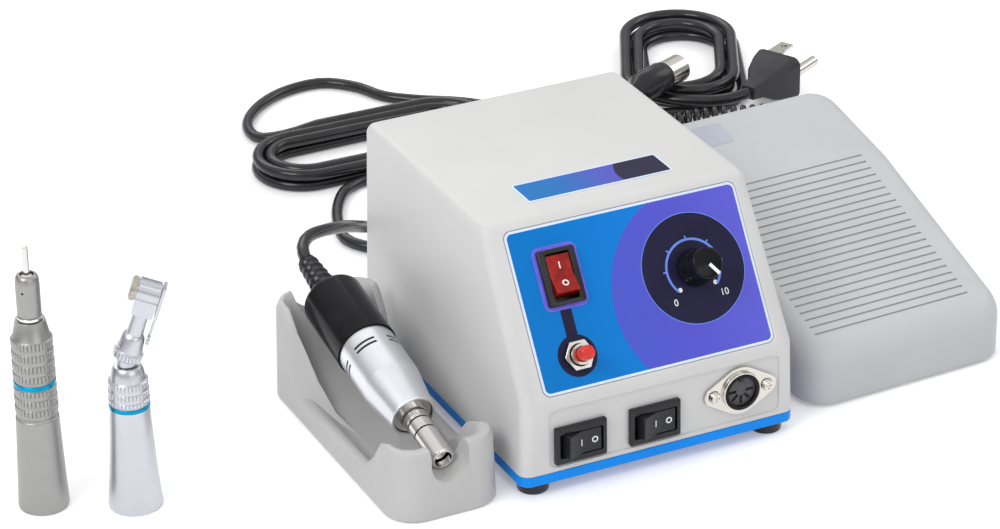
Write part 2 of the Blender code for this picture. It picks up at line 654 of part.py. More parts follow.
def unit_levels(inset):
    top = UNIT_HEIGHT - inset
    side, front = TOP_SIDE_ROUNDING - inset, TOP_FRONT_ROUNDING - inset
    kink = KINK_HEIGHT + inset * (1 - 1 / math.cos(SLANT_ANGLE)) / math.tan(SLANT_ANGLE)
    steps = [math.pi / 2 * step / ROUNDING_STEPS for step in range(ROUNDING_STEPS + 1)]
    rounded = [top - side + side * math.sin(angle) for angle in steps]
    return sorted({HOUSING_BOTTOM, kink, top - front + front * math.sin(SLANT_ANGLE), *rounded})


def panel_window(left, right, bottom, top, radius, depth):
    """Cutter that sinks a rounded field into a panel."""
    flat = outline((right - left) / 2, bottom, top, radius)
    centre = (left + right) / 2
    moved = [(x + centre, y) for x, y in flat]
    return skin([level(moved, -depth), level(moved, OVERRUN)])


def make_housing(unit, slanted, lower, rear):
    rings = [unit_section(height, SHELL_WALL) for height in reversed(unit_levels(SHELL_WALL))]
    rings += [unit_section(height) for height in unit_levels(0.0)]
    shell = piece("housing_shell", skin(rings), "housing_grey", unit)
    field = panel_window(
        OVERLAY_LEFT, OVERLAY_RIGHT, OVERLAY_BOTTOM, OVERLAY_TOP, OVERLAY_RADIUS, OVERLAY_RECESS
    )
    combine(shell, field, slanted)
    field = panel_window(
        LOWER_RECESS_LEFT, LOWER_RECESS_RIGHT, LOWER_RECESS_BOTTOM, LOWER_RECESS_TOP, OVERLAY_RADIUS,
        LOWER_RECESS,
    )
    combine(shell, field, lower)
    through = SHELL_WALL + OVERRUN
    for panel, place, across in (
        (slanted, POWER_SWITCH_PLACE, 0.0),
        (lower, MODE_SWITCH_PLACE, math.pi / 2),
        (lower, DIRECTION_SWITCH_PLACE, math.pi / 2),
    ):
        half_width, half_length = (BEZEL_WIDTH / 2 - SWITCH_LIP + GAP, BEZEL_LENGTH / 2 - SWITCH_LIP + GAP)
        hole = plate(half_width, half_length, SMALL_RADIUS, -through, through)
        combine(shell, hole, panel, (*place, 0), (0, 0, across))
    for panel, place, radius in (
        (slanted, BREAKER_PLACE, BREAKER_NECK_RADIUS),
        (slanted, DIAL_PLACE, BUSHING_RADIUS),
        (lower, SOCKET_PLACE, SOCKET_RING_RADIUS),
        (lower, (SOCKET_PLACE[0] - SOCKET_SCREW_SPACING / 2, SOCKET_PLACE[1]), SCREW_SHANK_RADIUS),
        (lower, (SOCKET_PLACE[0] + SOCKET_SCREW_SPACING / 2, SOCKET_PLACE[1]), SCREW_SHANK_RADIUS),
        (rear, (-MAINS_RELIEF_X, REAR_ROW_HEIGHT), RELIEF_NECK_RADIUS),
        (rear, (-PEDAL_SOCKET_X, REAR_ROW_HEIGHT), JACK_NECK_RADIUS),
    ):
        combine(shell, rod(radius + GAP, -through, through), panel, (*place, 0))


def make_base(unit):
    half_width, flat_radius = UNIT_BASE_WIDTH / 2, CORNER_RADIUS
    outer = outline(half_width, 0, UNIT_DEPTH, flat_radius)
    inner = outline(half_width - BASE_RIM, BASE_RIM, UNIT_DEPTH - BASE_RIM, flat_radius - BASE_RIM)
    floor = FOOT_HEIGHT + BASE_FLOOR
    rings = [level(outer, FOOT_HEIGHT), level(outer, BASE_TOP), level(inner, BASE_TOP), level(inner, floor)]
    tray = skin(rings)
    base = piece("base_tray", tray, "azure", unit)
    post_top = floor + POST_HEIGHT
    for side_x in (-1, 1):
        for side_y in (-1, 1):
            x = BOARD_PLACE[0] + side_x * (BOARD_SIZE[0] / 2 - POST_INSET)
            y = BOARD_PLACE[1] + side_y * (BOARD_SIZE[1] / 2 - POST_INSET)
            join_on(base, rod(POST_RADIUS, floor - BASE_FLOOR / 2, post_top), unit, (x, y, 0))
    for side_x, side_name in ((-1, "left"), (1, "right")):
        for y, end_name in ((FOOT_INSET, "front"), (UNIT_DEPTH - FOOT_INSET, "rear")):
            foot = turned([
                (FOOT_RADIUS - SMALL_RADIUS, 0),
                (FOOT_RADIUS, SMALL_RADIUS),
                (FOOT_RADIUS, FOOT_HEIGHT - GAP),
            ], SMALL_SIDES)
            place = (side_x * (half_width - FOOT_INSET), y, 0)
            piece(f"{end_name}_{side_name}_foot", foot, "black_rubber", unit, place)
    return floor, post_top


def make_inside(unit, floor, post_top):
    """Mains transformer and speed control board, standing on the base tray."""
    width, thickness, height = CORE_SIZE
    bottom = floor + GAP
    stand = assembly("transformer", unit, (*CORE_PLACE, bottom))
    core = piece("transformer_core", block(CORE_SIZE, (0, 0, height / 2)), "magnet_grey", stand)
    window_width = (width - 4 * CORE_LEG) / 2
    window_height = height - 2 * CORE_LEG
    window_x = CORE_LEG + window_width / 2
    for side in (-1, 1):
        window = block((window_width, thickness + OVERRUN, window_height), (side * window_x, 0, height / 2))
        combine(core, window, stand)
    inner = outline(CORE_LEG + GAP, -thickness / 2 - GAP, thickness / 2 + GAP, SMALL_RADIUS)
    reach = thickness / 2 + GAP + WINDING_REACH
    outer = outline(CORE_LEG + window_width - GAP, -reach, reach, WINDING_CORNER)
    low, high = CORE_LEG + GAP, height - CORE_LEG - GAP
    winding = skin([level(inner, low), level(outer, low), level(outer, high), level(inner, high)], closed=True)
    piece("transformer_winding", winding, "copper", stand)

    stand = assembly("control_board_stand", unit, (*BOARD_PLACE, post_top + GAP))
    width, length, thickness = BOARD_SIZE
    board = piece("control_board", block(BOARD_SIZE, (0, 0, thickness / 2)), "laminate_green", stand)
    for share_x, share_y in CAPACITOR_PLACES_SHARES:
        can = rod(CAPACITOR_RADIUS, thickness / 2, thickness + CAPACITOR_HEIGHT)
        join_on(board, can, stand, (share_x * width, share_y * length, 0))
    sink_height = thickness / 2 + HEAT_SINK_SIZE[2] / 2
    join_on(board, block(HEAT_SINK_SIZE, (0, 0, sink_height)), stand)


# Controls on the front


def make_overlay(slanted):
    left, right = OVERLAY_LEFT + GAP, OVERLAY_RIGHT - GAP
    flat = outline((right - left) / 2, OVERLAY_BOTTOM + GAP, OVERLAY_TOP - GAP, OVERLAY_RADIUS)
    moved = [(x + (left + right) / 2, y) for x, y in flat]
    low = OVERLAY_SURFACE - OVERLAY_THICKNESS
    film = skin([level(moved, low), level(moved, OVERLAY_SURFACE)])
    overlay = piece("front_overlay", film, "panel_blue", slanted)
    hole = plate(
        BEZEL_WIDTH / 2 - SWITCH_LIP + GAP, BEZEL_LENGTH / 2 - SWITCH_LIP + GAP, SMALL_RADIUS, -OVERRUN, OVERRUN
    )
    combine(overlay, hole, slanted, (*POWER_SWITCH_PLACE, 0))
    for place, radius in ((BREAKER_PLACE, BREAKER_NECK_RADIUS), (DIAL_PLACE, BUSHING_RADIUS)):
        combine(overlay, rod(radius + GAP, -OVERRUN, OVERRUN), slanted, (*place, 0))


def make_rocker_switch(prefix, panel, place, seat, x_axis, lowered_end, finish):
    """Frame clipped into the panel and a rocker on trunnions. The rocker's length runs along Y."""
    stand = assembly(f"{prefix}_switch", panel, (*place, seat), x_axis)
    reach = math.hypot(ROCKER_LENGTH / 2, ROCKER_CENTRE_HEIGHT + ROCKER_LENGTH / 2 * math.tan(ROCKER_TILT))
    well_half_width = ROCKER_WIDTH / 2 + GAP
    well_half_length = reach + GAP
    well_floor = -ROCKER_PIVOT_DEPTH - ROCKER_KEEL - ROCKER_LENGTH / 2 * math.sin(ROCKER_TILT) - GAP

    def ring(half_width, half_length, height):
        return level(outline(half_width, -half_length, half_length, SMALL_RADIUS, steps=1), height)

    neck = (BEZEL_WIDTH / 2 - SWITCH_LIP, BEZEL_LENGTH / 2 - SWITCH_LIP)
    bezel = (BEZEL_WIDTH / 2, BEZEL_LENGTH / 2)
    rings = [
        ring(*neck, -SWITCH_DEPTH),
        ring(*neck, 0),
        ring(*bezel, 0),
        ring(*bezel, BEZEL_THICKNESS - BEZEL_CHAMFER),
        ring(bezel[0] - BEZEL_CHAMFER, bezel[1] - BEZEL_CHAMFER, BEZEL_THICKNESS),
        ring(well_half_width, well_half_length, BEZEL_THICKNESS),
        ring(well_half_width, well_half_length, well_floor),
    ]
    frame = piece(f"{prefix}_switch_frame", skin(rings), "black_plastic", stand)
    sideways = (0, math.pi / 2, 0)
    pivot = (0, 0, -ROCKER_PIVOT_DEPTH)
    pocket = well_half_width + TRUNNION_REACH + GAP
    combine(frame, rod(TRUNNION_RADIUS + GAP, -pocket, pocket), stand, pivot, sideways)

    end_height = ROCKER_CENTRE_HEIGHT + ROCKER_LENGTH / 2 * math.tan(ROCKER_TILT)
    side = [
        (-ROCKER_LENGTH / 2, end_height),
        (-ROCKER_LENGTH / 2, -ROCKER_KEEL),
        (ROCKER_LENGTH / 2, -ROCKER_KEEL),
        (ROCKER_LENGTH / 2, end_height),
        (0, ROCKER_CENTRE_HEIGHT),
    ]
    rings = [[(x, y, z) for y, z in side] for x in (-ROCKER_WIDTH / 2, ROCKER_WIDTH / 2)]
    tilt = (-lowered_end * ROCKER_TILT, 0, 0)
    rocker = piece(f"{prefix}_rocker", skin(rings), finish, stand, pivot, tilt)
    half_pin = well_half_width + TRUNNION_REACH
    join_on(rocker, rod(TRUNNION_RADIUS, -half_pin, half_pin), stand, pivot, sideways)


def make_breaker(slanted):
    stand = assembly("overload_breaker", slanted, (*BREAKER_PLACE, 0))
    back = -SHELL_WALL - GAP
    top = PANEL_SEAT + BREAKER_NECK_PROUD
    bore_floor = top - BREAKER_BORE_DEPTH
    body = turned([
        (BREAKER_CAN_RADIUS, back - BREAKER_CAN_LENGTH),
        (BREAKER_CAN_RADIUS, back),
        (BREAKER_NECK_RADIUS, back),
        (BREAKER_NECK_RADIUS, top),
        (BREAKER_BORE_RADIUS, top),
        (BREAKER_BORE_RADIUS, bore_floor),
    ], SMALL_SIDES)
    piece("breaker_body", body, "nickel", stand)
    corner = NUT_ACROSS_FLATS / 2 / math.cos(math.pi / 6)
    hexagon = turned([(corner, PANEL_SEAT), (corner, PANEL_SEAT + NUT_THICKNESS)], 6)
    nut = piece("breaker_nut", hexagon, "nickel", stand)
    combine(nut, rod(BREAKER_NECK_RADIUS + GAP, -OVERRUN, top), stand)
    stem = bore_floor + BUTTON_TRAVEL + GAP
    button = turned([
        (BUTTON_RADIUS, stem),
        (BUTTON_RADIUS, top + BUTTON_PROUD - SMALL_RADIUS),
        (BUTTON_RADIUS - SMALL_RADIUS, top + BUTTON_PROUD),
    ], SMALL_SIDES)
    piece("breaker_button", button, "red_lens", stand)


def make_speed_dial(slanted):
    stand = assembly("speed_dial", slanted, (*DIAL_PLACE, 0))
    back = -SHELL_WALL - GAP
    bushing_top = PANEL_SEAT + BUSHING_PROUD
    bore = SHAFT_RADIUS + GAP
    pot = turned([
        (POT_RADIUS, back - POT_DEPTH),
        (POT_RADIUS, back),
        (BUSHING_RADIUS, back),
        (BUSHING_RADIUS, bushing_top),
        (bore, bushing_top),
        (bore, back - POT_DEPTH / 2),
    ], SMALL_SIDES)
    piece("speed_potentiometer", pot, "steel", stand)
    shaft_top = PANEL_SEAT + SHAFT_PROUD
    piece("pot_shaft", rod(SHAFT_RADIUS, back - POT_DEPTH / 2 + GAP, shaft_top), "steel", stand)
    low = PANEL_SEAT + KNOB_LIFT
    top = low + KNOB_HEIGHT
    skirt = low + KNOB_SKIRT_HEIGHT
    knob = turned([
        (bore, shaft_top + GAP),
        (bore, bushing_top + GAP),
        (BUSHING_RADIUS + GAP, bushing_top + GAP),
        (BUSHING_RADIUS + GAP, low),
        (KNOB_SKIRT_RADIUS, low),
        (KNOB_SKIRT_RADIUS, skirt - KNOB_EDGE),
        (KNOB_RADIUS, skirt),
        (KNOB_TOP_RADIUS, top - KNOB_EDGE),
        (KNOB_TOP_RADIUS - KNOB_EDGE, top),
    ])
    piece("speed_knob", knob, "black_plastic", stand)


def flange_outline():
    """Hull of the round socket and its two screw lobes."""
    half = SOCKET_SCREW_SPACING / 2
    meet = math.acos((SOCKET_FLANGE_RADIUS - SOCKET_LOBE_RADIUS) / half)
    arcs = (
        (half, SOCKET_LOBE_RADIUS, -meet, meet),
        (0, SOCKET_FLANGE_RADIUS, meet, math.pi - meet),
        (-half, SOCKET_LOBE_RADIUS, math.pi - meet, math.pi + meet),
        (0, SOCKET_FLANGE_RADIUS, math.pi + meet, math.tau - meet),
    )
    points = []
    for centre, radius, start, end in arcs:
        for step in range(2 * CORNER_STEPS + 1):
            angle = start + (end - start) * step / (2 * CORNER_STEPS)
            point = (centre + radius * math.cos(angle), radius * math.sin(angle))
            if not points or math.dist(point, points[-1]) > GAP / 2:
                points.append(point)
    return points


def make_motor_socket(lower):
    stand = assembly("motor_socket", lower, (*SOCKET_PLACE, LOWER_SEAT))
    flat = flange_outline()
    flange_top = SOCKET_FLANGE_THICKNESS
    flange = skin([level(flat, 0), level(flat, flange_top)])
    shell = piece("motor_socket_shell", flange, "nickel", stand)
    can = rod(SOCKET_RING_RADIUS, -SOCKET_CAN_DEPTH, flange_top + SOCKET_RING_PROUD, ROUND_SIDES)
    join_on(shell, can, stand)
    bore_floor = -SOCKET_CAN_DEPTH + SOCKET_FLANGE_THICKNESS
    combine(shell, rod(SOCKET_BORE_RADIUS, bore_floor, flange_top + OVERRUN, ROUND_SIDES), stand)
    slot_long, slot_wide, slot_deep = SOCKET_SLOT_SIZE
    insert_top = flange_top - slot_deep
    insert = piece(
        "motor_socket_insert", rod(SOCKET_BORE_RADIUS - GAP, bore_floor + GAP, insert_top, ROUND_SIDES),
        "magnet_grey", stand,
    )
    places = []
    for contact in range(SOCKET_CONTACTS):
        angle = -math.pi / 2 + SOCKET_SLOT_SPREAD * (contact / (SOCKET_CONTACTS - 1) - 1 / 2)
        centre = (SOCKET_SLOT_RING * math.cos(angle), SOCKET_SLOT_RING * math.sin(angle), insert_top)
        places.append((centre, Matrix.Rotation(angle, 3, "Z")))
    combine(insert, blocks((slot_long, slot_wide, 2 * slot_deep), places), stand)
    for side, side_name in ((-1, "left"), (1, "right")):
        x = side * SOCKET_SCREW_SPACING / 2
        combine(shell, rod(SCREW_SHANK_RADIUS + GAP, -OVERRUN, OVERRUN), stand, (x, 0, 0))
        head = flange_top + GAP
        screw = turned([
            (SCREW_SHANK_RADIUS, -SCREW_LENGTH),
            (SCREW_SHANK_RADIUS, head),
            (SCREW_HEAD_RADIUS, head),
            (SCREW_HEAD_RADIUS - SMALL_RADIUS, head + SCREW_HEAD_HEIGHT),
        ], SMALL_SIDES)
        screw = piece(f"socket_screw_{side_name}", screw, "nickel", stand, (x, 0, 0))
        top = (x, 0, head + SCREW_HEAD_HEIGHT)
        for turn in (0, math.pi / 2):
            combine(screw, block(SCREW_CROSS_SIZE), stand, top, (0, 0, turn))


# Rear face


def make_rear_fittings(rear):
    inside = -SHELL_WALL - GAP
    stand = assembly("mains_entry", rear, (-MAINS_RELIEF_X, REAR_ROW_HEIGHT, 0))
    flange_top = GAP + RELIEF_FLANGE_THICKNESS
    relief = turned([
        (RELIEF_NECK_RADIUS, inside - RELIEF_LOCK_LENGTH),
        (RELIEF_NECK_RADIUS, GAP),
        (RELIEF_FLANGE_RADIUS, GAP),
        (RELIEF_FLANGE_RADIUS, flange_top),
        (RELIEF_ROOT_RADIUS, flange_top),
        (RELIEF_TIP_RADIUS, flange_top + RELIEF_LENGTH),
    ], SMALL_SIDES)
    piece("mains_strain_relief", relief, "black_rubber", stand)

    stand = assembly("pedal_jack", rear, (-PEDAL_SOCKET_X, REAR_ROW_HEIGHT, 0))
    nut_top = GAP + JACK_NUT_THICKNESS
    jack = turned([
        (JACK_BODY_RADIUS, inside - JACK_BODY_LENGTH),
        (JACK_BODY_RADIUS, inside),
        (JACK_NECK_RADIUS, inside),
        (JACK_NECK_RADIUS, GAP),
        (JACK_NUT_RADIUS, GAP),
        (JACK_NUT_RADIUS, nut_top),
        (JACK_BORE_RADIUS, nut_top),
        (JACK_BORE_RADIUS, nut_top - JACK_BORE_DEPTH),
    ], SMALL_SIDES)
    piece("pedal_socket", jack, "nickel", stand)
    grip = nut_top + GAP
    plug = turned([
        (JACK_PIN_RADIUS, grip - JACK_PIN_LENGTH),
        (JACK_PIN_RADIUS, grip),
        (JACK_GRIP_RADIUS, grip),
        (JACK_GRIP_RADIUS, grip + JACK_GRIP_LENGTH),
        (JACK_TAIL_RADIUS, grip + JACK_GRIP_LENGTH + JACK_TAIL_LENGTH),
    ], SMALL_SIDES)
    piece("pedal_plug", plug, "black_rubber", stand)


# Motor handpiece, whose Z runs from the tip of its nose to its tail


def make_motor(handpiece):
    """Pieces of the handpiece, from its nose to its tail. Returns where the cord leaves it."""
    land, groove = NOSE_RADIUS, NOSE_RADIUS - GROOVE_DEPTH
    mouth = NOSE_LENGTH
    flange = mouth + NOSE_FLANGE_RECESS
    body_end = flange + NOSE_BODY_LENGTH
    profile = [(NOSE_BORE_RADIUS, 0), (land - NOSE_TIP_EDGE, 0), (land, NOSE_TIP_EDGE)]
    for share in GROOVE_PLACES_SHARES:
        start = share * NOSE_LENGTH
        finish = start + GROOVE_WIDTH
        profile += [(land, start), (groove, start), (groove, finish), (land, finish)]
    seat_start = body_end - BEARING_SEAT_LENGTH
    profile += [
        (land, NOSE_RING_SHARE * NOSE_LENGTH), (NOSE_RING_RADIUS, NOSE_RING_SHARE * NOSE_LENGTH),
        (NOSE_RING_RADIUS, flange), (NOSE_BODY_RADIUS, flange), (NOSE_BODY_RADIUS, body_end),
        (BEARING_RADIUS + GAP, body_end), (BEARING_RADIUS + GAP, seat_start), (NOSE_BORE_RADIUS, seat_start),
    ]
    piece("motor_nose", turned(profile, SMALL_SIDES, closed=True), "steel", handpiece)

    sleeve_end = mouth + SLEEVE_LENGTH
    cone_end = mouth + SLEEVE_CONE_SHARE * SLEEVE_LENGTH
    bore = SLEEVE_RADIUS - SLEEVE_WALL
    front_bore = NOSE_BODY_RADIUS + GAP
    magnet_start = cone_end
    spigot = CAP_RADIUS - CAP_WALL - GAP
    sleeve = turned([
        (front_bore, mouth), (SLEEVE_FRONT_RADIUS - SMALL_RADIUS, mouth),
        (SLEEVE_FRONT_RADIUS, mouth + SMALL_RADIUS),
        (SLEEVE_RADIUS, cone_end), (SLEEVE_RADIUS, sleeve_end), (spigot, sleeve_end),
        (spigot, sleeve_end + SLEEVE_SPIGOT_LENGTH), (bore, sleeve_end + SLEEVE_SPIGOT_LENGTH),
        (bore, cone_end - SLEEVE_WALL), (front_bore, body_end + GAP),
    ], closed=True)
    sleeve = piece("motor_sleeve", sleeve, "aluminium", handpiece)
    places = []
    for group in range(VENT_GROUPS):
        turning = Matrix.Rotation(VENT_PHASE + math.tau * group / VENT_GROUPS, 3, "Z")
        for row in (0, 1):
            height = sleeve_end - VENT_INSET - row * VENT_SPACING
            places.append((turning @ Vector((SLEEVE_RADIUS, 0, height)), turning))
    combine(sleeve, blocks((2 * VENT_DEPTH, VENT_LENGTH, VENT_WIDTH), places), handpiece)

    piece(
        "motor_magnet",
        turned([
            (MAGNET_BORE_RADIUS, magnet_start), (MAGNET_RADIUS, magnet_start),
            (MAGNET_RADIUS, magnet_start + MAGNET_LENGTH), (MAGNET_BORE_RADIUS, magnet_start + MAGNET_LENGTH),
        ], SMALL_SIDES, closed=True),
        "magnet_grey", handpiece,
    )

    cap_start = sleeve_end + GAP
    cap_end = cap_start + CAP_LENGTH
    cap_bore = CAP_RADIUS - CAP_WALL
    seat = cap_start + CAP_BEARING_SHARE * CAP_LENGTH
    seat_end = seat + BEARING_LENGTH + 2 * GAP
    bearing_bore = BEARING_RADIUS + GAP
    cap = turned([
        (cap_bore, cap_start), (CAP_RADIUS, cap_start), (CAP_RADIUS, cap_end - CAP_ROUNDING),
        (CAP_RADIUS - CAP_ROUNDING / 3, cap_end - CAP_ROUNDING / 3), (CAP_RADIUS - CAP_ROUNDING, cap_end),
        (CORD_RELIEF_PLUG_RADIUS + GAP, cap_end), (CORD_RELIEF_PLUG_RADIUS + GAP, cap_end - CAP_BACK),
        (ROTOR_SHAFT_RADIUS + GAP, cap_end - CAP_BACK), (ROTOR_SHAFT_RADIUS + GAP, seat_end),
        (bearing_bore, seat_end), (bearing_bore, seat), (cap_bore, seat),
    ], closed=True)
    piece("motor_cap", cap, "black_plastic", handpiece)

    shaft_hole = ROTOR_SHAFT_RADIUS + GAP
    for name, start in (("front_bearing", seat_start + GAP), ("rear_bearing", seat + GAP)):
        ring = turned([
            (shaft_hole, start), (BEARING_RADIUS, start),
            (BEARING_RADIUS, start + BEARING_LENGTH), (shaft_hole, start + BEARING_LENGTH),
        ], SMALL_SIDES, closed=True)
        piece(name, ring, "steel", handpiece)
    armature = magnet_start + (MAGNET_LENGTH - ROTOR_LENGTH) / 2
    commutator = armature + ROTOR_LENGTH + COMMUTATOR_LENGTH / 2
    dog_end = NOSE_RECESS + DRIVE_DOG_LENGTH
    rotor = turned([
        (DRIVE_DOG_RADIUS, NOSE_RECESS), (DRIVE_DOG_RADIUS, dog_end), (ROTOR_SHAFT_RADIUS, dog_end),
        (ROTOR_SHAFT_RADIUS, armature), (ROTOR_RADIUS, armature), (ROTOR_RADIUS, armature + ROTOR_LENGTH),
        (ROTOR_SHAFT_RADIUS, armature + ROTOR_LENGTH), (ROTOR_SHAFT_RADIUS, commutator),
        (COMMUTATOR_RADIUS, commutator), (COMMUTATOR_RADIUS, commutator + COMMUTATOR_LENGTH),
        (ROTOR_SHAFT_RADIUS, commutator + COMMUTATOR_LENGTH),
        (ROTOR_SHAFT_RADIUS, seat + 2 * BEARING_LENGTH),
    ], SMALL_SIDES)
    piece("motor_rotor", rotor, "steel", handpiece)

    root = cap_end + GAP
    profile = [(CORD_RELIEF_PLUG_RADIUS, cap_end - CAP_BACK + GAP), (CORD_RELIEF_PLUG_RADIUS, root)]
    rib_pitch = CORD_RELIEF_LENGTH / CORD_RELIEF_RIBS
    for rib in range(CORD_RELIEF_RIBS):
        share = rib / (CORD_RELIEF_RIBS - 1)
        radius = CORD_RELIEF_ROOT_RADIUS + (CORD_RELIEF_TIP_RADIUS - CORD_RELIEF_ROOT_RADIUS) * share
        start = root + rib * rib_pitch
        valley = radius - CORD_RELIEF_RIB_HEIGHT
        profile += [(radius, start + rib_pitch * CREST_SHARE), (valley, start + rib_pitch * VALLEY_SHARE)]
    end = root + CORD_RELIEF_LENGTH
    profile.append((CORD_RELIEF_TIP_RADIUS, end))
    piece("motor_cord_relief", turned(profile, SMALL_SIDES), "black_rubber", handpiece)
    return end


# Cradle


def cradle_share(y):
    return (y - CRADLE_FRONT) / (CRADLE_BACK - CRADLE_FRONT)


def cradle_rim(y):
    """Height of the cradle's rim: two horns and a low side between them."""
    share = cradle_share(y)
    front = 1 - rise_share(share, *CRADLE_FRONT_REACH_SHARES)
    back = rise_share(share, *CRADLE_BACK_REACH_SHARES)
    return (
        CRADLE_SIDE_HEIGHT
        + (CRADLE_FRONT_HEIGHT - CRADLE_SIDE_HEIGHT) * front
        + (CRADLE_BACK_HEIGHT - CRADLE_SIDE_HEIGHT) * back
    )


def cradle_outline(side, front, back, radius):
    """The cradle's plan, drawn in from its sides, front and back."""
    low, high = CRADLE_FRONT + front, CRADLE_BACK - back
    stations = [low + share * (high - low) for share in CRADLE_STATIONS_SHARES]
    return outline(CRADLE_WIDTH / 2 - side, low, high, radius, stations)


def cradle_ring(side_share, front_share, back_share, rise):
    """Ring of the bowl, at a share of the way from its floor to the rim outside it."""
    rim = [cradle_rim(y) for _, y in cradle_outline(0, 0, 0, CRADLE_CORNER_RADIUS)]
    side = side_share * CRADLE_WALL
    radius = max(CRADLE_CORNER_RADIUS - side, CRADLE_INNER_RADIUS)
    plan = cradle_outline(side, front_share * CRADLE_FRONT_WALL, back_share * CRADLE_BACK_WALL, radius)
    return [(x, y, CRADLE_FLOOR + (height - CRADLE_FLOOR) * rise) for (x, y), height in zip(plan, rim)]


def make_cradle(cradle_stand, handpiece):
    edge = CRADLE_EDGE
    rings = [
        level(cradle_outline(edge, edge, edge, CRADLE_CORNER_RADIUS - edge), 0),
        level(cradle_outline(0, 0, 0, CRADLE_CORNER_RADIUS), edge),
    ]
    rings += [cradle_ring(*shares) for shares in CRADLE_BOWL_SHARES]
    cradle = piece("cradle", skin(rings), "cradle_grey", cradle_stand)

    def notch(radius, low, high):
        """U-shaped cutter along the handpiece's axis, open upwards."""
        reach = CRADLE_BACK_HEIGHT
        points = [(-radius, reach)]
        for step in range(ROUND_SIDES // 2 + 1):
            angle = math.pi + math.pi * step / (ROUND_SIDES // 2)
            points.append((radius * math.cos(angle), radius * math.sin(angle)))
        points.append((radius, reach))
        return skin([level(points, low), level(points, high)])

    # The nose rests on the bottom of a wider notch, the cap in one of its own radius.
    lift = CRADLE_NOTCH_RADIUS - NOSE_RADIUS - GAP
    combine(cradle, notch(CRADLE_NOTCH_RADIUS, -CRADLE_WIDTH, NOSE_LENGTH), handpiece, (0, lift, 0))
    cap_start = NOSE_LENGTH + SLEEVE_LENGTH
    cap_end = cap_start + CAP_LENGTH
    combine(cradle, notch(CAP_RADIUS + GAP, cap_start, cap_end + CRADLE_WIDTH), handpiece)


# Foot pedal


def pedal_surface(y):
    """Height of the pedal's top at a distance from its front."""
    distance = y - PEDAL_FRONT
    if distance < PEDAL_KINK_DISTANCE:
        share = distance / PEDAL_KINK_DISTANCE
        return PEDAL_FRONT_HEIGHT + (PEDAL_KINK_HEIGHT - PEDAL_FRONT_HEIGHT) * share
    share = (distance - PEDAL_KINK_DISTANCE) / (PEDAL_DEPTH - PEDAL_KINK_DISTANCE)
    return PEDAL_KINK_HEIGHT + (PEDAL_BACK_HEIGHT - PEDAL_KINK_HEIGHT) * share


def pedal_line(front, back):
    """Height that rises evenly from the pedal's front to its back."""
    return lambda y: front + (back - front) * (y - PEDAL_FRONT) / PEDAL_DEPTH


def pedal_ring(inset, height_at, drop=0.0):
    stations = (PEDAL_FRONT + PEDAL_KINK_DISTANCE / 2, PEDAL_FRONT + PEDAL_KINK_DISTANCE)
    radius = max(PEDAL_CORNER_RADIUS - inset, SMALL_RADIUS)
    flat = outline(PEDAL_WIDTH / 2 - inset, PEDAL_FRONT + inset, PEDAL_BACK - inset, radius, stations)
    return [(x, y, height_at(y) - drop) for x, y in flat]


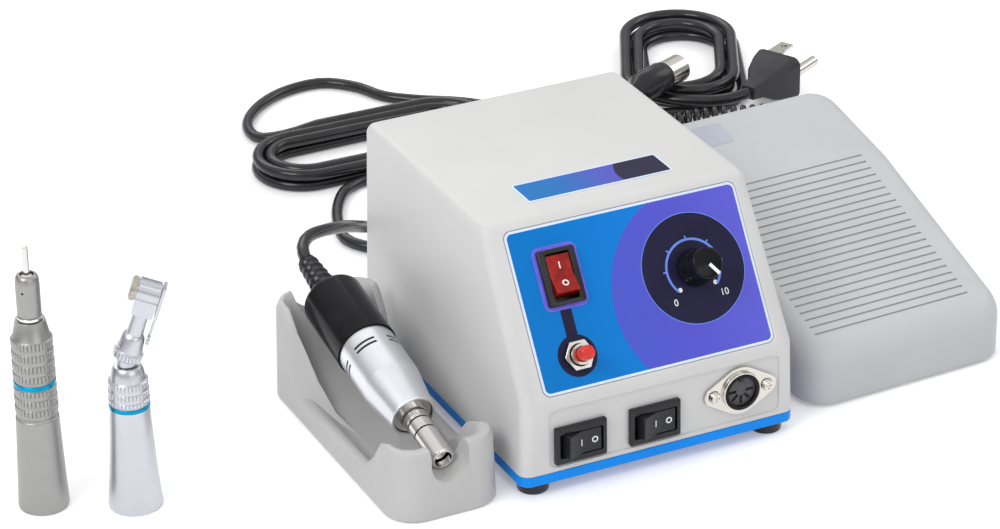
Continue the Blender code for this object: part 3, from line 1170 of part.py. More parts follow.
def make_pedal(pedal):
    skirt = pedal_line(PEDAL_SKIRT_FRONT, PEDAL_SKIRT_BACK)
    rings = []
    inner, rounding = PEDAL_EDGE_ROUNDING - PEDAL_WALL, PEDAL_EDGE_ROUNDING
    quarter = [math.pi / 2 * step / ROUNDING_STEPS for step in range(ROUNDING_STEPS + 1)]
    for angle in reversed(quarter):
        inset = PEDAL_WALL + inner * (1 - math.cos(angle))
        rings.append(pedal_ring(inset, pedal_surface, PEDAL_WALL + inner * (1 - math.sin(angle))))
    rings.append(pedal_ring(PEDAL_WALL, skirt))
    rings.append(pedal_ring(0, skirt))
    for angle in quarter:
        inset, drop = rounding * (1 - math.cos(angle)), rounding * (1 - math.sin(angle))
        rings.append(pedal_ring(inset, pedal_surface, drop))

    pin_place = (0, PEDAL_FRONT + PIN_DISTANCE, PIN_HEIGHT)
    hinge = assembly("pedal_hinge", pedal, pin_place)
    back_to_pedal = tuple(-value for value in pin_place)
    cover = piece("pedal_cover", skin(rings, ladder=True), "pedal_grey", hinge, back_to_pedal)
    places = []
    slope = math.atan2(PEDAL_KINK_HEIGHT - PEDAL_FRONT_HEIGHT, PEDAL_KINK_DISTANCE)
    for groove in range(GROOVE_COUNT):
        y = PEDAL_FRONT + GROOVE_FIRST + groove * GROOVE_PITCH
        places.append(((RIDGE_OFFSET, y, pedal_surface(y)), Matrix.Rotation(slope, 3, "X")))
    combine(cover, blocks((RIDGE_WIDTH, RIDGE_GROOVE_WIDTH, 2 * RIDGE_GROOVE_DEPTH), places), pedal)

    pin_y = pin_place[1]
    lug_low = PIN_HEIGHT - LUG_HALF_DEPTH
    ceiling = pedal_surface(pin_y) - PEDAL_WALL / 2
    cover_lug_x = LUG_SPREAD + LUG_THICKNESS + LUG_CLEARANCE
    sideways = (0, math.pi / 2, 0)
    for side in (-1, 1):
        size = (LUG_THICKNESS, 2 * LUG_HALF_DEPTH, ceiling - lug_low)
        lug = block(size, (side * cover_lug_x, pin_y, (ceiling + lug_low) / 2))
        join_on(cover, lug, pedal)
    pin_half = cover_lug_x + LUG_THICKNESS / 2 + LUG_CLEARANCE
    combine(cover, rod(PIN_RADIUS + GAP, -pin_half - OVERRUN, pin_half + OVERRUN), pedal, pin_place, sideways)
    slot_height = PEDAL_CORD_HEIGHT + PEDAL_CORD_BOSS_RADIUS + PEDAL_PRESS_DROP
    slot_width = 2 * (PEDAL_CORD_BOSS_RADIUS + 2 * GAP)
    slot = block((slot_width, 4 * PEDAL_WALL, slot_height), (0, PEDAL_BACK, slot_height / 2))
    combine(cover, slot, pedal)
    piece("pedal_pivot_pin", rod(PIN_RADIUS, -pin_half, pin_half), "steel", pedal, pin_place, sideways)

    outer = PEDAL_WALL + PEDAL_BASE_CLEARANCE
    wall_top = pedal_line(PEDAL_BASE_FRONT_HEIGHT, PEDAL_BASE_BACK_HEIGHT)
    flat_floor = pedal_line(PEDAL_BASE_FLOOR, PEDAL_BASE_FLOOR)
    ground = pedal_line(0, 0)
    foot_edge = pedal_line(SMALL_RADIUS, SMALL_RADIUS)
    tray = skin([
        pedal_ring(outer + SMALL_RADIUS, ground),
        pedal_ring(outer, foot_edge),
        pedal_ring(outer, wall_top),
        pedal_ring(outer + PEDAL_BASE_WALL, wall_top),
        pedal_ring(outer + PEDAL_BASE_WALL, flat_floor),
    ])
    base = piece("pedal_base", tray, "pedal_grey", pedal)
    lug_top = PIN_HEIGHT + LUG_HALF_DEPTH
    for side in (-1, 1):
        size = (LUG_THICKNESS, 2 * LUG_HALF_DEPTH, lug_top - PEDAL_BASE_FLOOR / 2)
        join_on(base, block(size, (side * LUG_SPREAD, pin_y, (lug_top + PEDAL_BASE_FLOOR / 2) / 2)), pedal)
    combine(base, rod(PIN_RADIUS + GAP, -pin_half, pin_half), pedal, pin_place, sideways)
    wall_back = PEDAL_BACK - outer
    boss = rod(PEDAL_CORD_BOSS_RADIUS, -PEDAL_BASE_WALL / 2, PEDAL_CORD_BOSS_LENGTH)
    join_on(base, boss, pedal, (0, wall_back, PEDAL_CORD_HEIGHT), (-math.pi / 2, 0, 0))
    for side_x in (-1, 1):
        for side_y in (-1, 1):
            x = SENSOR_PLACE[0] + side_x * (SENSOR_BOARD_SIZE[0] / 2 - POST_INSET)
            y = SENSOR_PLACE[1] + side_y * (SENSOR_BOARD_SIZE[1] / 2 - POST_INSET)
            post = rod(POST_RADIUS, PEDAL_BASE_FLOOR / 2, PEDAL_BASE_FLOOR + SENSOR_POST_HEIGHT)
            join_on(base, post, pedal, (x, y, 0))

    bottom = PEDAL_BASE_FLOOR + SENSOR_POST_HEIGHT + GAP
    stand = assembly("pedal_sensor", pedal, (*SENSOR_PLACE, bottom))
    thickness = SENSOR_BOARD_SIZE[2]
    board = block(SENSOR_BOARD_SIZE, (0, 0, thickness / 2))
    board = piece("pedal_sensor_board", board, "laminate_green", stand)
    join_on(board, block(SENSOR_BLOCK_SIZE, (0, 0, thickness / 2 + SENSOR_BLOCK_SIZE[2] / 2)), stand)

    spring_y = PEDAL_FRONT + SPRING_PLACE[1]
    low = PEDAL_BASE_FLOOR + GAP + SPRING_WIRE / 2
    high = pedal_surface(spring_y - SPRING_RADIUS) - PEDAL_WALL - GAP - SPRING_WIRE
    points = []
    for step in range(SPRING_CURLS * CURL_STEPS + 1):
        share = step / (SPRING_CURLS * CURL_STEPS)
        angle = math.tau * SPRING_CURLS * share
        x = SPRING_PLACE[0] + SPRING_RADIUS * math.cos(angle)
        points.append((x, spring_y + SPRING_RADIUS * math.sin(angle), low + (high - low) * share))
    tube("pedal_spring", points, SPRING_WIRE, 1, "steel", pedal)
    report_gap("pedal_spring", points, SPRING_WIRE)
    return PEDAL_BACK - outer + PEDAL_CORD_BOSS_LENGTH


# Attachments


def open_ended(shares, height, radius, bore_top_radius):
    """Turned sleeve that stands on its open end."""
    profile = [(radius * radius_share, height * height_share) for height_share, radius_share in shares]
    bore_top = ATTACHMENT_BORE_DEPTH
    inside = [(bore_top_radius, height), (bore_top_radius, bore_top + GAP)]
    inside += [(ATTACHMENT_BORE_RADIUS, bore_top), (ATTACHMENT_BORE_RADIUS, 0)]
    return profile, inside


def make_straight_attachment(stand):
    profile, inside = open_ended(
        STRAIGHT_PROFILE_SHARES, STRAIGHT_SLEEVE_HEIGHT, STRAIGHT_WAIST_RADIUS, SPINDLE_BORE_RADIUS
    )
    sleeve = turned(profile + inside, MIDDLE_SIDES, closed=True)
    piece("straight_sleeve", sleeve, "matt_steel", stand)
    low = STRAIGHT_SLEEVE_HEIGHT + GAP
    top = low + STRAIGHT_NOSE_HEIGHT
    outside = [(STRAIGHT_NOSE_RADIUS * r, low + STRAIGHT_NOSE_HEIGHT * h) for h, r in STRAIGHT_CHUCK_SHARES]
    bore = ((SPINDLE_BORE_RADIUS, top), (SPINDLE_BORE_RADIUS, low))
    ring = turned([*outside, *bore], MIDDLE_SIDES, closed=True)
    piece("straight_chuck_ring", ring, "matt_steel", stand)
    spindle = turned([
        (SPINDLE_RADIUS, ATTACHMENT_BORE_DEPTH), (SPINDLE_RADIUS, top - SMALL_RADIUS),
        (STRAIGHT_SHANK_RADIUS, top),
        (STRAIGHT_SHANK_RADIUS, top + STRAIGHT_SHANK_PROUD - SMALL_RADIUS / 2),
        (STRAIGHT_SHANK_RADIUS / 2, top + STRAIGHT_SHANK_PROUD),
    ], SMALL_SIDES)
    piece("straight_spindle", spindle, "steel", stand)


def make_contra_attachment(stand):
    profile, inside = open_ended(
        CONTRA_PROFILE_SHARES, CONTRA_SHEATH_HEIGHT, CONTRA_WAIST_RADIUS, SPINDLE_BORE_RADIUS
    )
    piece("contra_sheath", turned(profile + inside, MIDDLE_SIDES, closed=True), "satin_silver", stand)
    lean = (math.sin(CONTRA_TILT), 0, math.cos(CONTRA_TILT))
    neck_low = CONTRA_SHEATH_HEIGHT + GAP + CONTRA_NECK_RADIUS * math.sin(CONTRA_TILT) + CONTRA_NECK_LIFT
    tilted = assembly("contra_neck", stand, (0, 0, neck_low), (math.cos(CONTRA_TILT), 0, 0), lean)
    neck = [(CONTRA_NECK_RADIUS * r, CONTRA_NECK_LENGTH * h) for h, r in CONTRA_NECK_SHARES]
    head = piece("contra_head", turned(neck, MIDDLE_SIDES), "satin_silver", tilted)
    root_low = -CONTRA_NECK_RADIUS * math.sin(CONTRA_TILT) - CONTRA_NECK_LIFT
    root = rod(CONTRA_NECK_RADIUS * CONTRA_ROOT_SHARE, root_low, CONTRA_NECK_LIFT + CONTRA_NECK_RADIUS)
    join_on(head, root, stand, (0, 0, neck_low))
    axis_turn = (0, -math.pi / 2, 0)
    barrel_place = (0, 0, CONTRA_HEAD_HEIGHT)
    groove, rim, cap_top = (CONTRA_HEAD_RADIUS * share for share in CONTRA_CAP_SHARES)
    cap_end = CONTRA_HEAD_FRONT + CONTRA_CAP_LENGTH
    barrel = turned([
        (CONTRA_HEAD_RADIUS, -CONTRA_HEAD_BACK), (CONTRA_HEAD_RADIUS, CONTRA_HEAD_FRONT),
        (groove, CONTRA_HEAD_FRONT), (groove, CONTRA_HEAD_FRONT + GAP),
        (rim, CONTRA_HEAD_FRONT + GAP), (rim, cap_end - SMALL_RADIUS), (cap_top, cap_end),
    ], MIDDLE_SIDES)
    join_on(head, barrel, tilted, barrel_place, axis_turn)
    cheek_length = CONTRA_HEAD_FRONT + CONTRA_HEAD_BACK
    cheek_rise = CONTRA_HEAD_RADIUS * CONTRA_CHEEK_SHARE
    cheek_size = (cheek_length - 2 * GAP, CONTRA_HEAD_WIDTH, CONTRA_HEAD_DROP + cheek_rise)
    cheek_height = CONTRA_HEAD_HEIGHT + (cheek_rise - CONTRA_HEAD_DROP) / 2
    cheek = block(cheek_size, ((CONTRA_HEAD_BACK - CONTRA_HEAD_FRONT) / 2, 0, cheek_height))
    join_on(head, cheek, tilted)

    latch_x = CONTRA_HEAD_BACK + GAP + LATCH_THICKNESS / 2
    plate_height = CONTRA_HEAD_DROP + CONTRA_HEAD_RADIUS
    plate_top = CONTRA_HEAD_HEIGHT + CONTRA_HEAD_RADIUS
    pivot = assembly("contra_latch_pivot", tilted, (latch_x, 0, plate_top))
    latch_plate = block((LATCH_THICKNESS, CONTRA_HEAD_WIDTH + GAP, plate_height), (0, 0, -plate_height / 2))
    latch = piece("contra_latch", latch_plate, "satin_silver", pivot)
    wire_top = -plate_height + LATCH_THICKNESS
    wire = rod(LATCH_WIRE_RADIUS, wire_top - LATCH_TAIL_LENGTH, wire_top, 8)
    join_on(latch, wire, pivot)
    tab_place = (0, 0, wire_top - LATCH_TAIL_LENGTH)
    tab = rod(LATCH_TAB_RADIUS, -LATCH_THICKNESS / 2, LATCH_THICKNESS / 2)
    join_on(latch, tab, pivot, tab_place, axis_turn)


# Cords


def smooth_route(points, spacing):
    """Evenly spaced points on a smooth curve through the route's points."""
    route = [np.array(point, float) for point in points]
    ends = [2 * route[0] - route[1], *route, 2 * route[-1] - route[-2]]
    fine = []
    for before, start, end, after in zip(ends, ends[1:], ends[2:], ends[3:]):
        knots = np.cumsum([0, *(math.sqrt(np.linalg.norm(b - a)) for a, b in
                                ((before, start), (start, end), (end, after)))])
        for time in np.linspace(knots[1], knots[2], LOOP_STEPS, endpoint=False):
            a1 = blend(before, start, knots[0], knots[1], time)
            a2 = blend(start, end, knots[1], knots[2], time)
            a3 = blend(end, after, knots[2], knots[3], time)
            b1 = blend(a1, a2, knots[0], knots[2], time)
            b2 = blend(a2, a3, knots[1], knots[3], time)
            fine.append(blend(b1, b2, knots[1], knots[2], time))
    fine.append(route[-1])
    fine = np.array(fine)
    lengths = np.concatenate([[0], np.cumsum(np.linalg.norm(np.diff(fine, axis=0), axis=1))])
    count = max(round(lengths[-1] / spacing), 2)
    wanted = np.linspace(0, lengths[-1], count + 1)
    return [tuple(float(np.interp(at, lengths, fine[:, axis])) for axis in range(3)) for at in wanted]


def blend(start, end, time_start, time_end, time):
    share = (time - time_start) / (time_end - time_start)
    return start * (1 - share) + end * share


def tube(name, points, diameter, resolution, finish, parent):
    """A cord's solid: one round tube along its points."""
    data = bpy.data.curves.new(name, "CURVE")
    data.dimensions = "3D"
    data.bevel_depth = diameter / 2
    data.bevel_resolution = resolution
    data.use_fill_caps = True
    spline = data.splines.new("POLY")
    spline.points.add(len(points) - 1)
    for target, point in zip(spline.points, points):
        target.co = (*point, 1)
    spline.use_smooth = True
    thing = bpy.data.objects.new(name, data)
    bpy.context.collection.objects.link(thing)
    thing.parent = parent
    dress(thing, finish)
    return thing


def report_gap(name, points, diameter):
    """Prints the least gap between a wound tube's turns."""
    route = np.array(points)
    fine = np.concatenate([route[:-1] + (route[1:] - route[:-1]) * part / CORNER_STEPS
                           for part in range(CORNER_STEPS)])
    order = np.concatenate([np.arange(len(route) - 1) + part / CORNER_STEPS for part in range(CORNER_STEPS)])
    fine = fine[np.argsort(order, kind="stable")]
    steps = np.linalg.norm(np.diff(fine, axis=0), axis=1)
    along = np.concatenate([[0], np.cumsum(steps)])
    apart = np.linalg.norm(fine[:, None] - fine[None], axis=2)
    apart[np.abs(along[:, None] - along[None]) < 3 * diameter] = math.inf
    print(f"{name}: least gap between turns {(apart.min() - diameter) / MM:.2f} mm")


def wound_loops(centre, angle, half_run, radius, loops, diameter, start_share=0.0, stretch_share=0.0):
    """Two layers of loops that spiral in, climb and spiral out again. Their long side lies at an angle."""
    pitch = diameter + LOOP_GAP
    rise = diameter + LOOP_GAP
    turning = Matrix.Rotation(angle, 2)
    points = []
    for step in range(int(loops * LOOP_STEPS) + 1):
        turn = step / LOOP_STEPS
        spread = abs(turn - loops / 2) * pitch
        height = diameter / 2 + rise * rise_share(turn, loops / 2 - 1 / 4, loops / 2 + 1 / 4)
        reach = half_run + stretch_share * spread
        x, y = turning @ Vector(oval_point((turn + start_share) % 1, reach, radius + spread))
        points.append((centre[0] + x, centre[1] + y, height))
    return points


def oval_point(turn, half_run, radius):
    """Point of an oval with straight runs, from the middle of its front. Each run takes a sixth of the turn."""
    marks = (1 / 12, 5 / 12, 7 / 12, 11 / 12, 1)
    if turn <= marks[0]:
        return half_run * turn / marks[0], -radius
    if turn <= marks[1]:
        angle = -math.pi / 2 + math.pi * (turn - marks[0]) / (marks[1] - marks[0])
        return half_run + radius * math.cos(angle), radius * math.sin(angle)
    if turn <= marks[2]:
        return half_run * (1 - 2 * (turn - marks[1]) / (marks[2] - marks[1])), radius
    if turn <= marks[3]:
        angle = math.pi / 2 + math.pi * (turn - marks[2]) / (marks[3] - marks[2])
        return -half_run + radius * math.cos(angle), radius * math.sin(angle)
    return half_run * ((turn - marks[3]) / (marks[4] - marks[3]) - 1), -radius


def straight_ends(points, diameter):
    """Adds a straight stretch of one diameter to each end of a wound tube."""
    first, second, before_last, last = (Vector(points[i]) for i in (0, 1, -2, -1))
    lead_in = first - (second - first).normalized() * diameter
    lead_out = last + (last - before_last).normalized() * diameter
    lead_in.z, lead_out.z = first.z, last.z
    return [tuple(lead_in), *points, tuple(lead_out)]


def meet(points, diameter):
    """Where a free stretch meets the start of a wound tube: points on its line, nearest last."""
    end, following = Vector(points[0]), Vector(points[1])
    outward = (end - following).normalized()
    return [tuple(end + outward * reach) for reach in (2 * diameter, diameter, GAP)]


def free_stretch(points, diameter):
    """A smooth stretch whose first and last pieces stay straight, square to what they meet."""
    between = smooth_route(points[1:-1], diameter * ROUTE_STEP_SHARE)
    return [tuple(points[0]), *between, tuple(points[-1])]


def millimetres(route):
    return [tuple(value * MM for value in point) for point in route]


def make_motor_cord(cords, relief_end, relief_direction):
    """Cord that leaves the handpiece, lies in a hank behind the control unit and ends in a plug."""
    diameter = MOTOR_CORD_DIAMETER
    loops = wound_loops(
        MOTOR_HANK_CENTRE, 0.0, MOTOR_HANK_HALF_RUN, MOTOR_HANK_RADIUS, MOTOR_HANK_LOOPS, diameter
    )
    hank = straight_ends(loops, diameter)
    tube("motor_cord_hank", hank, diameter, 1, "black_rubber", cords)
    report_gap("motor_cord_hank", hank, diameter)
    lead = [
        tuple(relief_end + relief_direction * GAP), tuple(relief_end + relief_direction * diameter),
        *millimetres(MOTOR_LEAD_ROUTE), *meet(hank, diameter),
    ]
    tube("motor_cord_lead", free_stretch(lead, diameter), diameter, 2, "black_rubber", cords)
    direction = Vector(MOTOR_PLUG_DIRECTION).normalized()
    base = Vector(MOTOR_PLUG_BASE)
    tail = [
        *reversed(meet(list(reversed(hank)), diameter)), *millimetres(MOTOR_TAIL_ROUTE),
        tuple(base - direction * diameter), tuple(base - direction * GAP),
    ]
    tube("motor_cord_tail", free_stretch(tail, diameter), diameter, 2, "black_rubber", cords)

    stand = assembly("motor_plug", cords, MOTOR_PLUG_BASE, (0, 0, 1), direction)
    body = [(PLUG_RADIUS * radius, PLUG_LENGTH * height) for height, radius in PLUG_PROFILE_SHARES]
    piece("motor_plug_body", turned(body, SMALL_SIDES), "black_plastic", stand)
    low = PLUG_LENGTH + GAP
    high = low + PLUG_SHELL_LENGTH
    inside = PLUG_SHELL_RADIUS - PLUG_SHELL_WALL
    shell = turned([
        (PLUG_SHELL_RADIUS, low), (PLUG_SHELL_RADIUS, high), (inside, high), (inside, high - PLUG_SHELL_RECESS),
    ], SMALL_SIDES)
    piece("motor_plug_shell", shell, "nickel", stand)


def make_mains_cord(cords, relief_end):
    """Cord that leaves the rear of the control unit, lies in a coil and ends in a plug lying on its side."""
    diameter = MAINS_CORD_DIAMETER
    loops = wound_loops(
        MAINS_COIL_CENTRE, MAINS_COIL_ANGLE, MAINS_COIL_HALF_RUN, MAINS_COIL_RADIUS, MAINS_COIL_LOOPS, diameter,
        MAINS_COIL_START_SHARE, MAINS_COIL_STRETCH_SHARE,
    )
    coil = straight_ends(loops, diameter)
    tube("mains_cord_coil", coil, diameter, 1, "black_rubber", cords)
    report_gap("mains_cord_coil", coil, diameter)
    start = Vector(relief_end)
    outward = Vector((0, 1, 0))
    lead = [
        tuple(start + outward * GAP), tuple(start + outward * diameter), tuple(start + outward * 2 * diameter),
        *millimetres(MAINS_LEAD_ROUTE), *meet(coil, diameter),
    ]
    tube("mains_cord_lead", free_stretch(lead, diameter), diameter, 2, "black_rubber", cords)
    direction = Vector(MAINS_PLUG_DIRECTION).normalized()
    base = Vector(MAINS_PLUG_BASE)
    tail = [
        *reversed(meet(list(reversed(coil)), diameter)), *millimetres(MAINS_TAIL_ROUTE),
        tuple(base - direction * diameter), tuple(base - direction * GAP),
    ]
    tube("mains_cord_tail", free_stretch(tail, diameter), diameter, 2, "black_rubber", cords)
    make_mains_plug(assembly("mains_plug", cords, MAINS_PLUG_BASE, (0, 0, 1), direction))


def make_mains_plug(stand):
    """Plug whose flat blades lie one above the other along X, with the round pin towards +Y."""
    rings = []
    for along, across in MAINS_PLUG_SHARES:
        half_width, half_depth = MAINS_PLUG_WIDTH / 2 * across, MAINS_PLUG_DEPTH / 2 * across
        flat = outline(half_width, -half_depth, half_depth, MAINS_PLUG_CORNER * across)
        rings.append(level(flat, MAINS_PLUG_LENGTH * along))
    body = piece("mains_plug_body", skin(rings), "black_rubber", stand)
    half_x = BLADE_SPACING / 2 + BLADE_SIZE[0] + GAP
    half_y = GROUND_PIN_OFFSET / 2 + BLADE_SIZE[1] / 2 + GAP
    low = MAINS_PLUG_LENGTH - CONTACT_BAR_THICKNESS
    pocket = plate(half_x + GAP, half_y + GAP, SMALL_RADIUS, low - GAP, MAINS_PLUG_LENGTH + OVERRUN)
    combine(body, pocket, stand)
    bar = plate(half_x, half_y, SMALL_RADIUS, low, MAINS_PLUG_LENGTH)
    pins = piece("mains_plug_pins", bar, "nickel", stand)
    root = low + CONTACT_BAR_THICKNESS / 2
    blade_y = -GROUND_PIN_OFFSET / 2
    for side in (-1, 1):
        centre = (side * BLADE_SPACING / 2, blade_y, root + BLADE_SIZE[2] / 2)
        join_on(pins, block(BLADE_SIZE, centre), stand)
    ground = rod(GROUND_PIN_RADIUS, root, root + GROUND_PIN_LENGTH)
    join_on(pins, ground, stand, (0, GROUND_PIN_OFFSET / 2, 0))
    hole = rod(BLADE_HOLE_RADIUS, -BLADE_SPACING, BLADE_SPACING, SMALL_SIDES)
    place = (0, blade_y, root + BLADE_SIZE[2] * BLADE_HOLE_SHARE)
    combine(pins, hole, stand, place, (0, math.pi / 2, 0))


def make_pedal_cord(cords, boss_end, boss_direction, plug_end):
    """Curly cord from the pedal to its plug: straight ends and one stretch of curls."""
    diameter = PEDAL_CORD_DIAMETER
    finish, outward = Vector(plug_end), Vector((0, 1, 0))
    route = [tuple(boss_end + boss_direction * GAP), tuple(boss_end + boss_direction * 2 * diameter)]
    route += millimetres(PEDAL_LEAD_ROUTE + CURL_ROUTE + PEDAL_TAIL_ROUTE)
    route += [tuple(finish + outward * 2 * diameter), tuple(finish + outward * GAP)]
    guide = np.array(smooth_route(route, diameter / 2))
    along = np.concatenate([[0], np.cumsum(np.linalg.norm(np.diff(guide, axis=0), axis=1))])
    curls_start = np.array(millimetres(CURL_ROUTE)[0])
    first = along[np.argmin(np.linalg.norm(guide - curls_start, axis=1))]
    last = first + CURL_COUNT * CURL_PITCH

    def guide_at(distance):
        return np.array([np.interp(distance, along, guide[:, axis]) for axis in range(3)])

    spacing = diameter * ROUTE_STEP_SHARE
    route = [guide_at(distance) for distance in np.arange(0, first - spacing / 2, spacing)]
    up = np.array((0, 0, 1))
    for step in range(CURL_COUNT * CURL_STEPS + 1):
        distance = first + step * CURL_PITCH / CURL_STEPS
        share = step / CURL_STEPS
        reach = CURL_RADIUS * min(rise_share(share, 0, 1), rise_share(CURL_COUNT - share, 0, 1))
        heading = guide_at(distance + diameter) - guide_at(distance - diameter)
        sideways = np.cross(heading, up)
        sideways /= np.linalg.norm(sideways)
        angle = math.tau * share
        route.append(guide_at(distance) + reach * (sideways * math.sin(angle) - up * math.cos(angle)))
    route += [guide_at(distance) for distance in np.arange(last + spacing, along[-1] - spacing / 2, spacing)]
    route.append(guide_at(along[-1]))
    tube("pedal_cord", [tuple(map(float, point)) for point in route], diameter, 1, "black_rubber", cords)
    report_gap("pedal_cord", route, diameter)


def centre_set(whole, cord_names):
    """Moves the set so that its rigid pieces are centred on the origin."""
    bpy.context.view_layer.update()
    corners = []
    for thing in bpy.data.objects:
        if thing.type == "MESH" and not thing.hide_render and thing.name not in cord_names:
            corners += [thing.matrix_world @ vertex.co for vertex in thing.data.vertices]
    low = [min(corner[axis] for corner in corners) for axis in range(3)]
    high = [max(corner[axis] for corner in corners) for axis in range(3)]
    whole.location = (-(low[0] + high[0]) / 2, -(low[1] + high[1]) / 2, 0)


def main():
    clear_scene()
    whole = assembly("micromotor_set")
    unit = assembly("control_unit", whole)
    slant_out = (0, -math.cos(SLANT_ANGLE), math.sin(SLANT_ANGLE))
    slanted = assembly("slanted_panel", unit, (0, KINK_SETBACK, KINK_HEIGHT), (1, 0, 0), slant_out)
    lean_out = (0, -math.cos(LEAN_ANGLE), math.sin(LEAN_ANGLE))
    lower = assembly("lower_panel", unit, (0, 0, BASE_TOP), (1, 0, 0), lean_out)
    rear = assembly("rear_panel", unit, (0, UNIT_DEPTH, 0), (-1, 0, 0), (0, 1, 0))
    make_housing(unit, slanted, lower, rear)
    floor, post_top = make_base(unit)
    make_inside(unit, floor, post_top)
    make_overlay(slanted)
    make_rocker_switch("power", slanted, POWER_SWITCH_PLACE, PANEL_SEAT, (1, 0, 0), 1, "red_lens")
    make_rocker_switch("mode", lower, MODE_SWITCH_PLACE, LOWER_SEAT, (0, 1, 0), -1, "black_plastic")
    make_rocker_switch("direction", lower, DIRECTION_SWITCH_PLACE, LOWER_SEAT, (0, 1, 0), -1, "black_plastic")
    make_breaker(slanted)
    make_speed_dial(slanted)
    make_motor_socket(lower)
    make_rear_fittings(rear)

    tip, tail = Vector((MOTOR_X, *NOSE_TIP)), Vector((MOTOR_X, *TAIL_BACK))
    handpiece = assembly("motor_handpiece", whole, tip, (-1, 0, 0), tail - tip)
    relief_length = make_motor(handpiece)
    make_cradle(assembly("cradle_stand", whole, (MOTOR_X, 0, 0)), handpiece)
    facing = (math.cos(PEDAL_TURN), math.sin(PEDAL_TURN), 0)
    boss_y = make_pedal(assembly("foot_pedal", whole, (PEDAL_X, 0, 0), facing))
    pedal_place = turned_frame((PEDAL_X, 0, 0), facing)
    facing = (math.cos(ATTACHMENT_TURN), math.sin(ATTACHMENT_TURN), 0)
    make_straight_attachment(assembly("straight_attachment", whole, (*STRAIGHT_PLACE, 0), facing))
    make_contra_attachment(assembly("contra_attachment", whole, (*CONTRA_PLACE, 0), facing))

    cords = assembly("cords", whole)
    direction = (tail - tip).normalized()
    make_motor_cord(cords, tip + direction * relief_length, direction)
    relief_y = UNIT_DEPTH + GAP + RELIEF_FLANGE_THICKNESS + RELIEF_LENGTH
    make_mains_cord(cords, (MAINS_RELIEF_X, relief_y, REAR_ROW_HEIGHT))
    plug_y = UNIT_DEPTH + 2 * GAP + JACK_NUT_THICKNESS + JACK_GRIP_LENGTH + JACK_TAIL_LENGTH
    boss_end = pedal_place @ Vector((0, boss_y, PEDAL_CORD_HEIGHT))
    boss_direction = pedal_place.to_3x3() @ Vector((0, 1, 0))
    make_pedal_cord(cords, boss_end, boss_direction, (PEDAL_SOCKET_X, plug_y, REAR_ROW_HEIGHT))
    plugs = {"motor_plug_body", "motor_plug_shell", "pedal_plug", "mains_plug_body", "mains_plug_pins"}
    centre_set(whole, plugs)


main()
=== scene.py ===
"""Looks of a dental laboratory micromotor set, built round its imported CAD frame.

Each dressed piece is made from the same named sizes as the CAD piece that it stands for, with finer
rounding and with the prints, knurls and marks that a plain solid leaves out.
"""

import json
import math

import bmesh
import bpy
import numpy as np
from mathutils import Matrix, Vector

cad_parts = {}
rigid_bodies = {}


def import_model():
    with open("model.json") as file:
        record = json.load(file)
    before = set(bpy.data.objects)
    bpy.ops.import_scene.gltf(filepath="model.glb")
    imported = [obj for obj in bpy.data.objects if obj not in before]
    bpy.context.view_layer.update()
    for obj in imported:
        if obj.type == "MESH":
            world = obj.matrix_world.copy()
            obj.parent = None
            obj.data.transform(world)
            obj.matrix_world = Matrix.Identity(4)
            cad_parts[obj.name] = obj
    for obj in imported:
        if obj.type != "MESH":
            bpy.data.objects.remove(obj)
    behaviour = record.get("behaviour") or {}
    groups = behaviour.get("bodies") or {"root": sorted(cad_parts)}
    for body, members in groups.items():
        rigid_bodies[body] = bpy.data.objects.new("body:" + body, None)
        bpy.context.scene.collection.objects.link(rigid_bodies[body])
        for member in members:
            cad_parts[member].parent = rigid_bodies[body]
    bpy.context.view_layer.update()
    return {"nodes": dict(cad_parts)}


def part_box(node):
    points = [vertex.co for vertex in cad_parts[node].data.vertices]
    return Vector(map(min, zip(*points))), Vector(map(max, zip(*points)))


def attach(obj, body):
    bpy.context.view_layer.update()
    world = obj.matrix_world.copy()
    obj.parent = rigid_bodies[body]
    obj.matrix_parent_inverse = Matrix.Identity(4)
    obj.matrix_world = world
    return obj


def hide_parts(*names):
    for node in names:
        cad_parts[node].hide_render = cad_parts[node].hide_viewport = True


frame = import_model()
low_corner, high_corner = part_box("base_tray")
OFFSET = Vector(((low_corner.x + high_corner.x) / 2, low_corner.y, 0.0))  # of the set from the CAD's origin

MM = 0.001
GAP = 0.3 * MM  # clearance between pieces that touch
OVERRUN = 3.0 * MM  # how far a cutter runs past the face that it opens
SMALL_RADIUS = 0.6 * MM
ROUND_SIDES = 72
SMALL_SIDES = 48
CORNER_STEPS = 8
SMALL_CORNER_STEPS = 3
SMOOTH_ANGLE = math.radians(40)

# Control unit
UNIT_BASE_WIDTH = 114.0 * MM
UNIT_TOP_WIDTH = 109.5 * MM
UNIT_DEPTH = 141.0 * MM
UNIT_HEIGHT = 94.1 * MM
KINK_HEIGHT = 38.1 * MM  # where the lower front face meets the slanted panel
KINK_SETBACK = 0.6 * MM
TOP_FRONT_SETBACK = 37.3 * MM
CORNER_RADIUS = 4.5 * MM
TOP_SIDE_ROUNDING = 3.5 * MM
TOP_FRONT_ROUNDING = 5.0 * MM
SHELL_WALL = 2.5 * MM
ROUNDING_STEPS = 8
FOOT_HEIGHT = 5.0 * MM
FOOT_RADIUS = 6.0 * MM
FOOT_INSET = 8.0 * MM
BASE_STRIP = 3.9 * MM
BASE_FLOOR = 2.2 * MM
BASE_RIM = 4.0 * MM
OVERLAY_LEFT = -47.2 * MM
OVERLAY_RIGHT = 48.8 * MM
OVERLAY_BOTTOM = 1.9 * MM
OVERLAY_TOP = 64.0 * MM
OVERLAY_RADIUS = 3.0 * MM
OVERLAY_RECESS = 0.6 * MM
OVERLAY_THICKNESS = 0.4 * MM
POWER_SWITCH_PLACE = (-29.2 * MM, 43.7 * MM)
BREAKER_PLACE = (-30.3 * MM, 14.3 * MM)
DIAL_PLACE = (23.6 * MM, 35.5 * MM)
LOWER_RECESS = 0.6 * MM
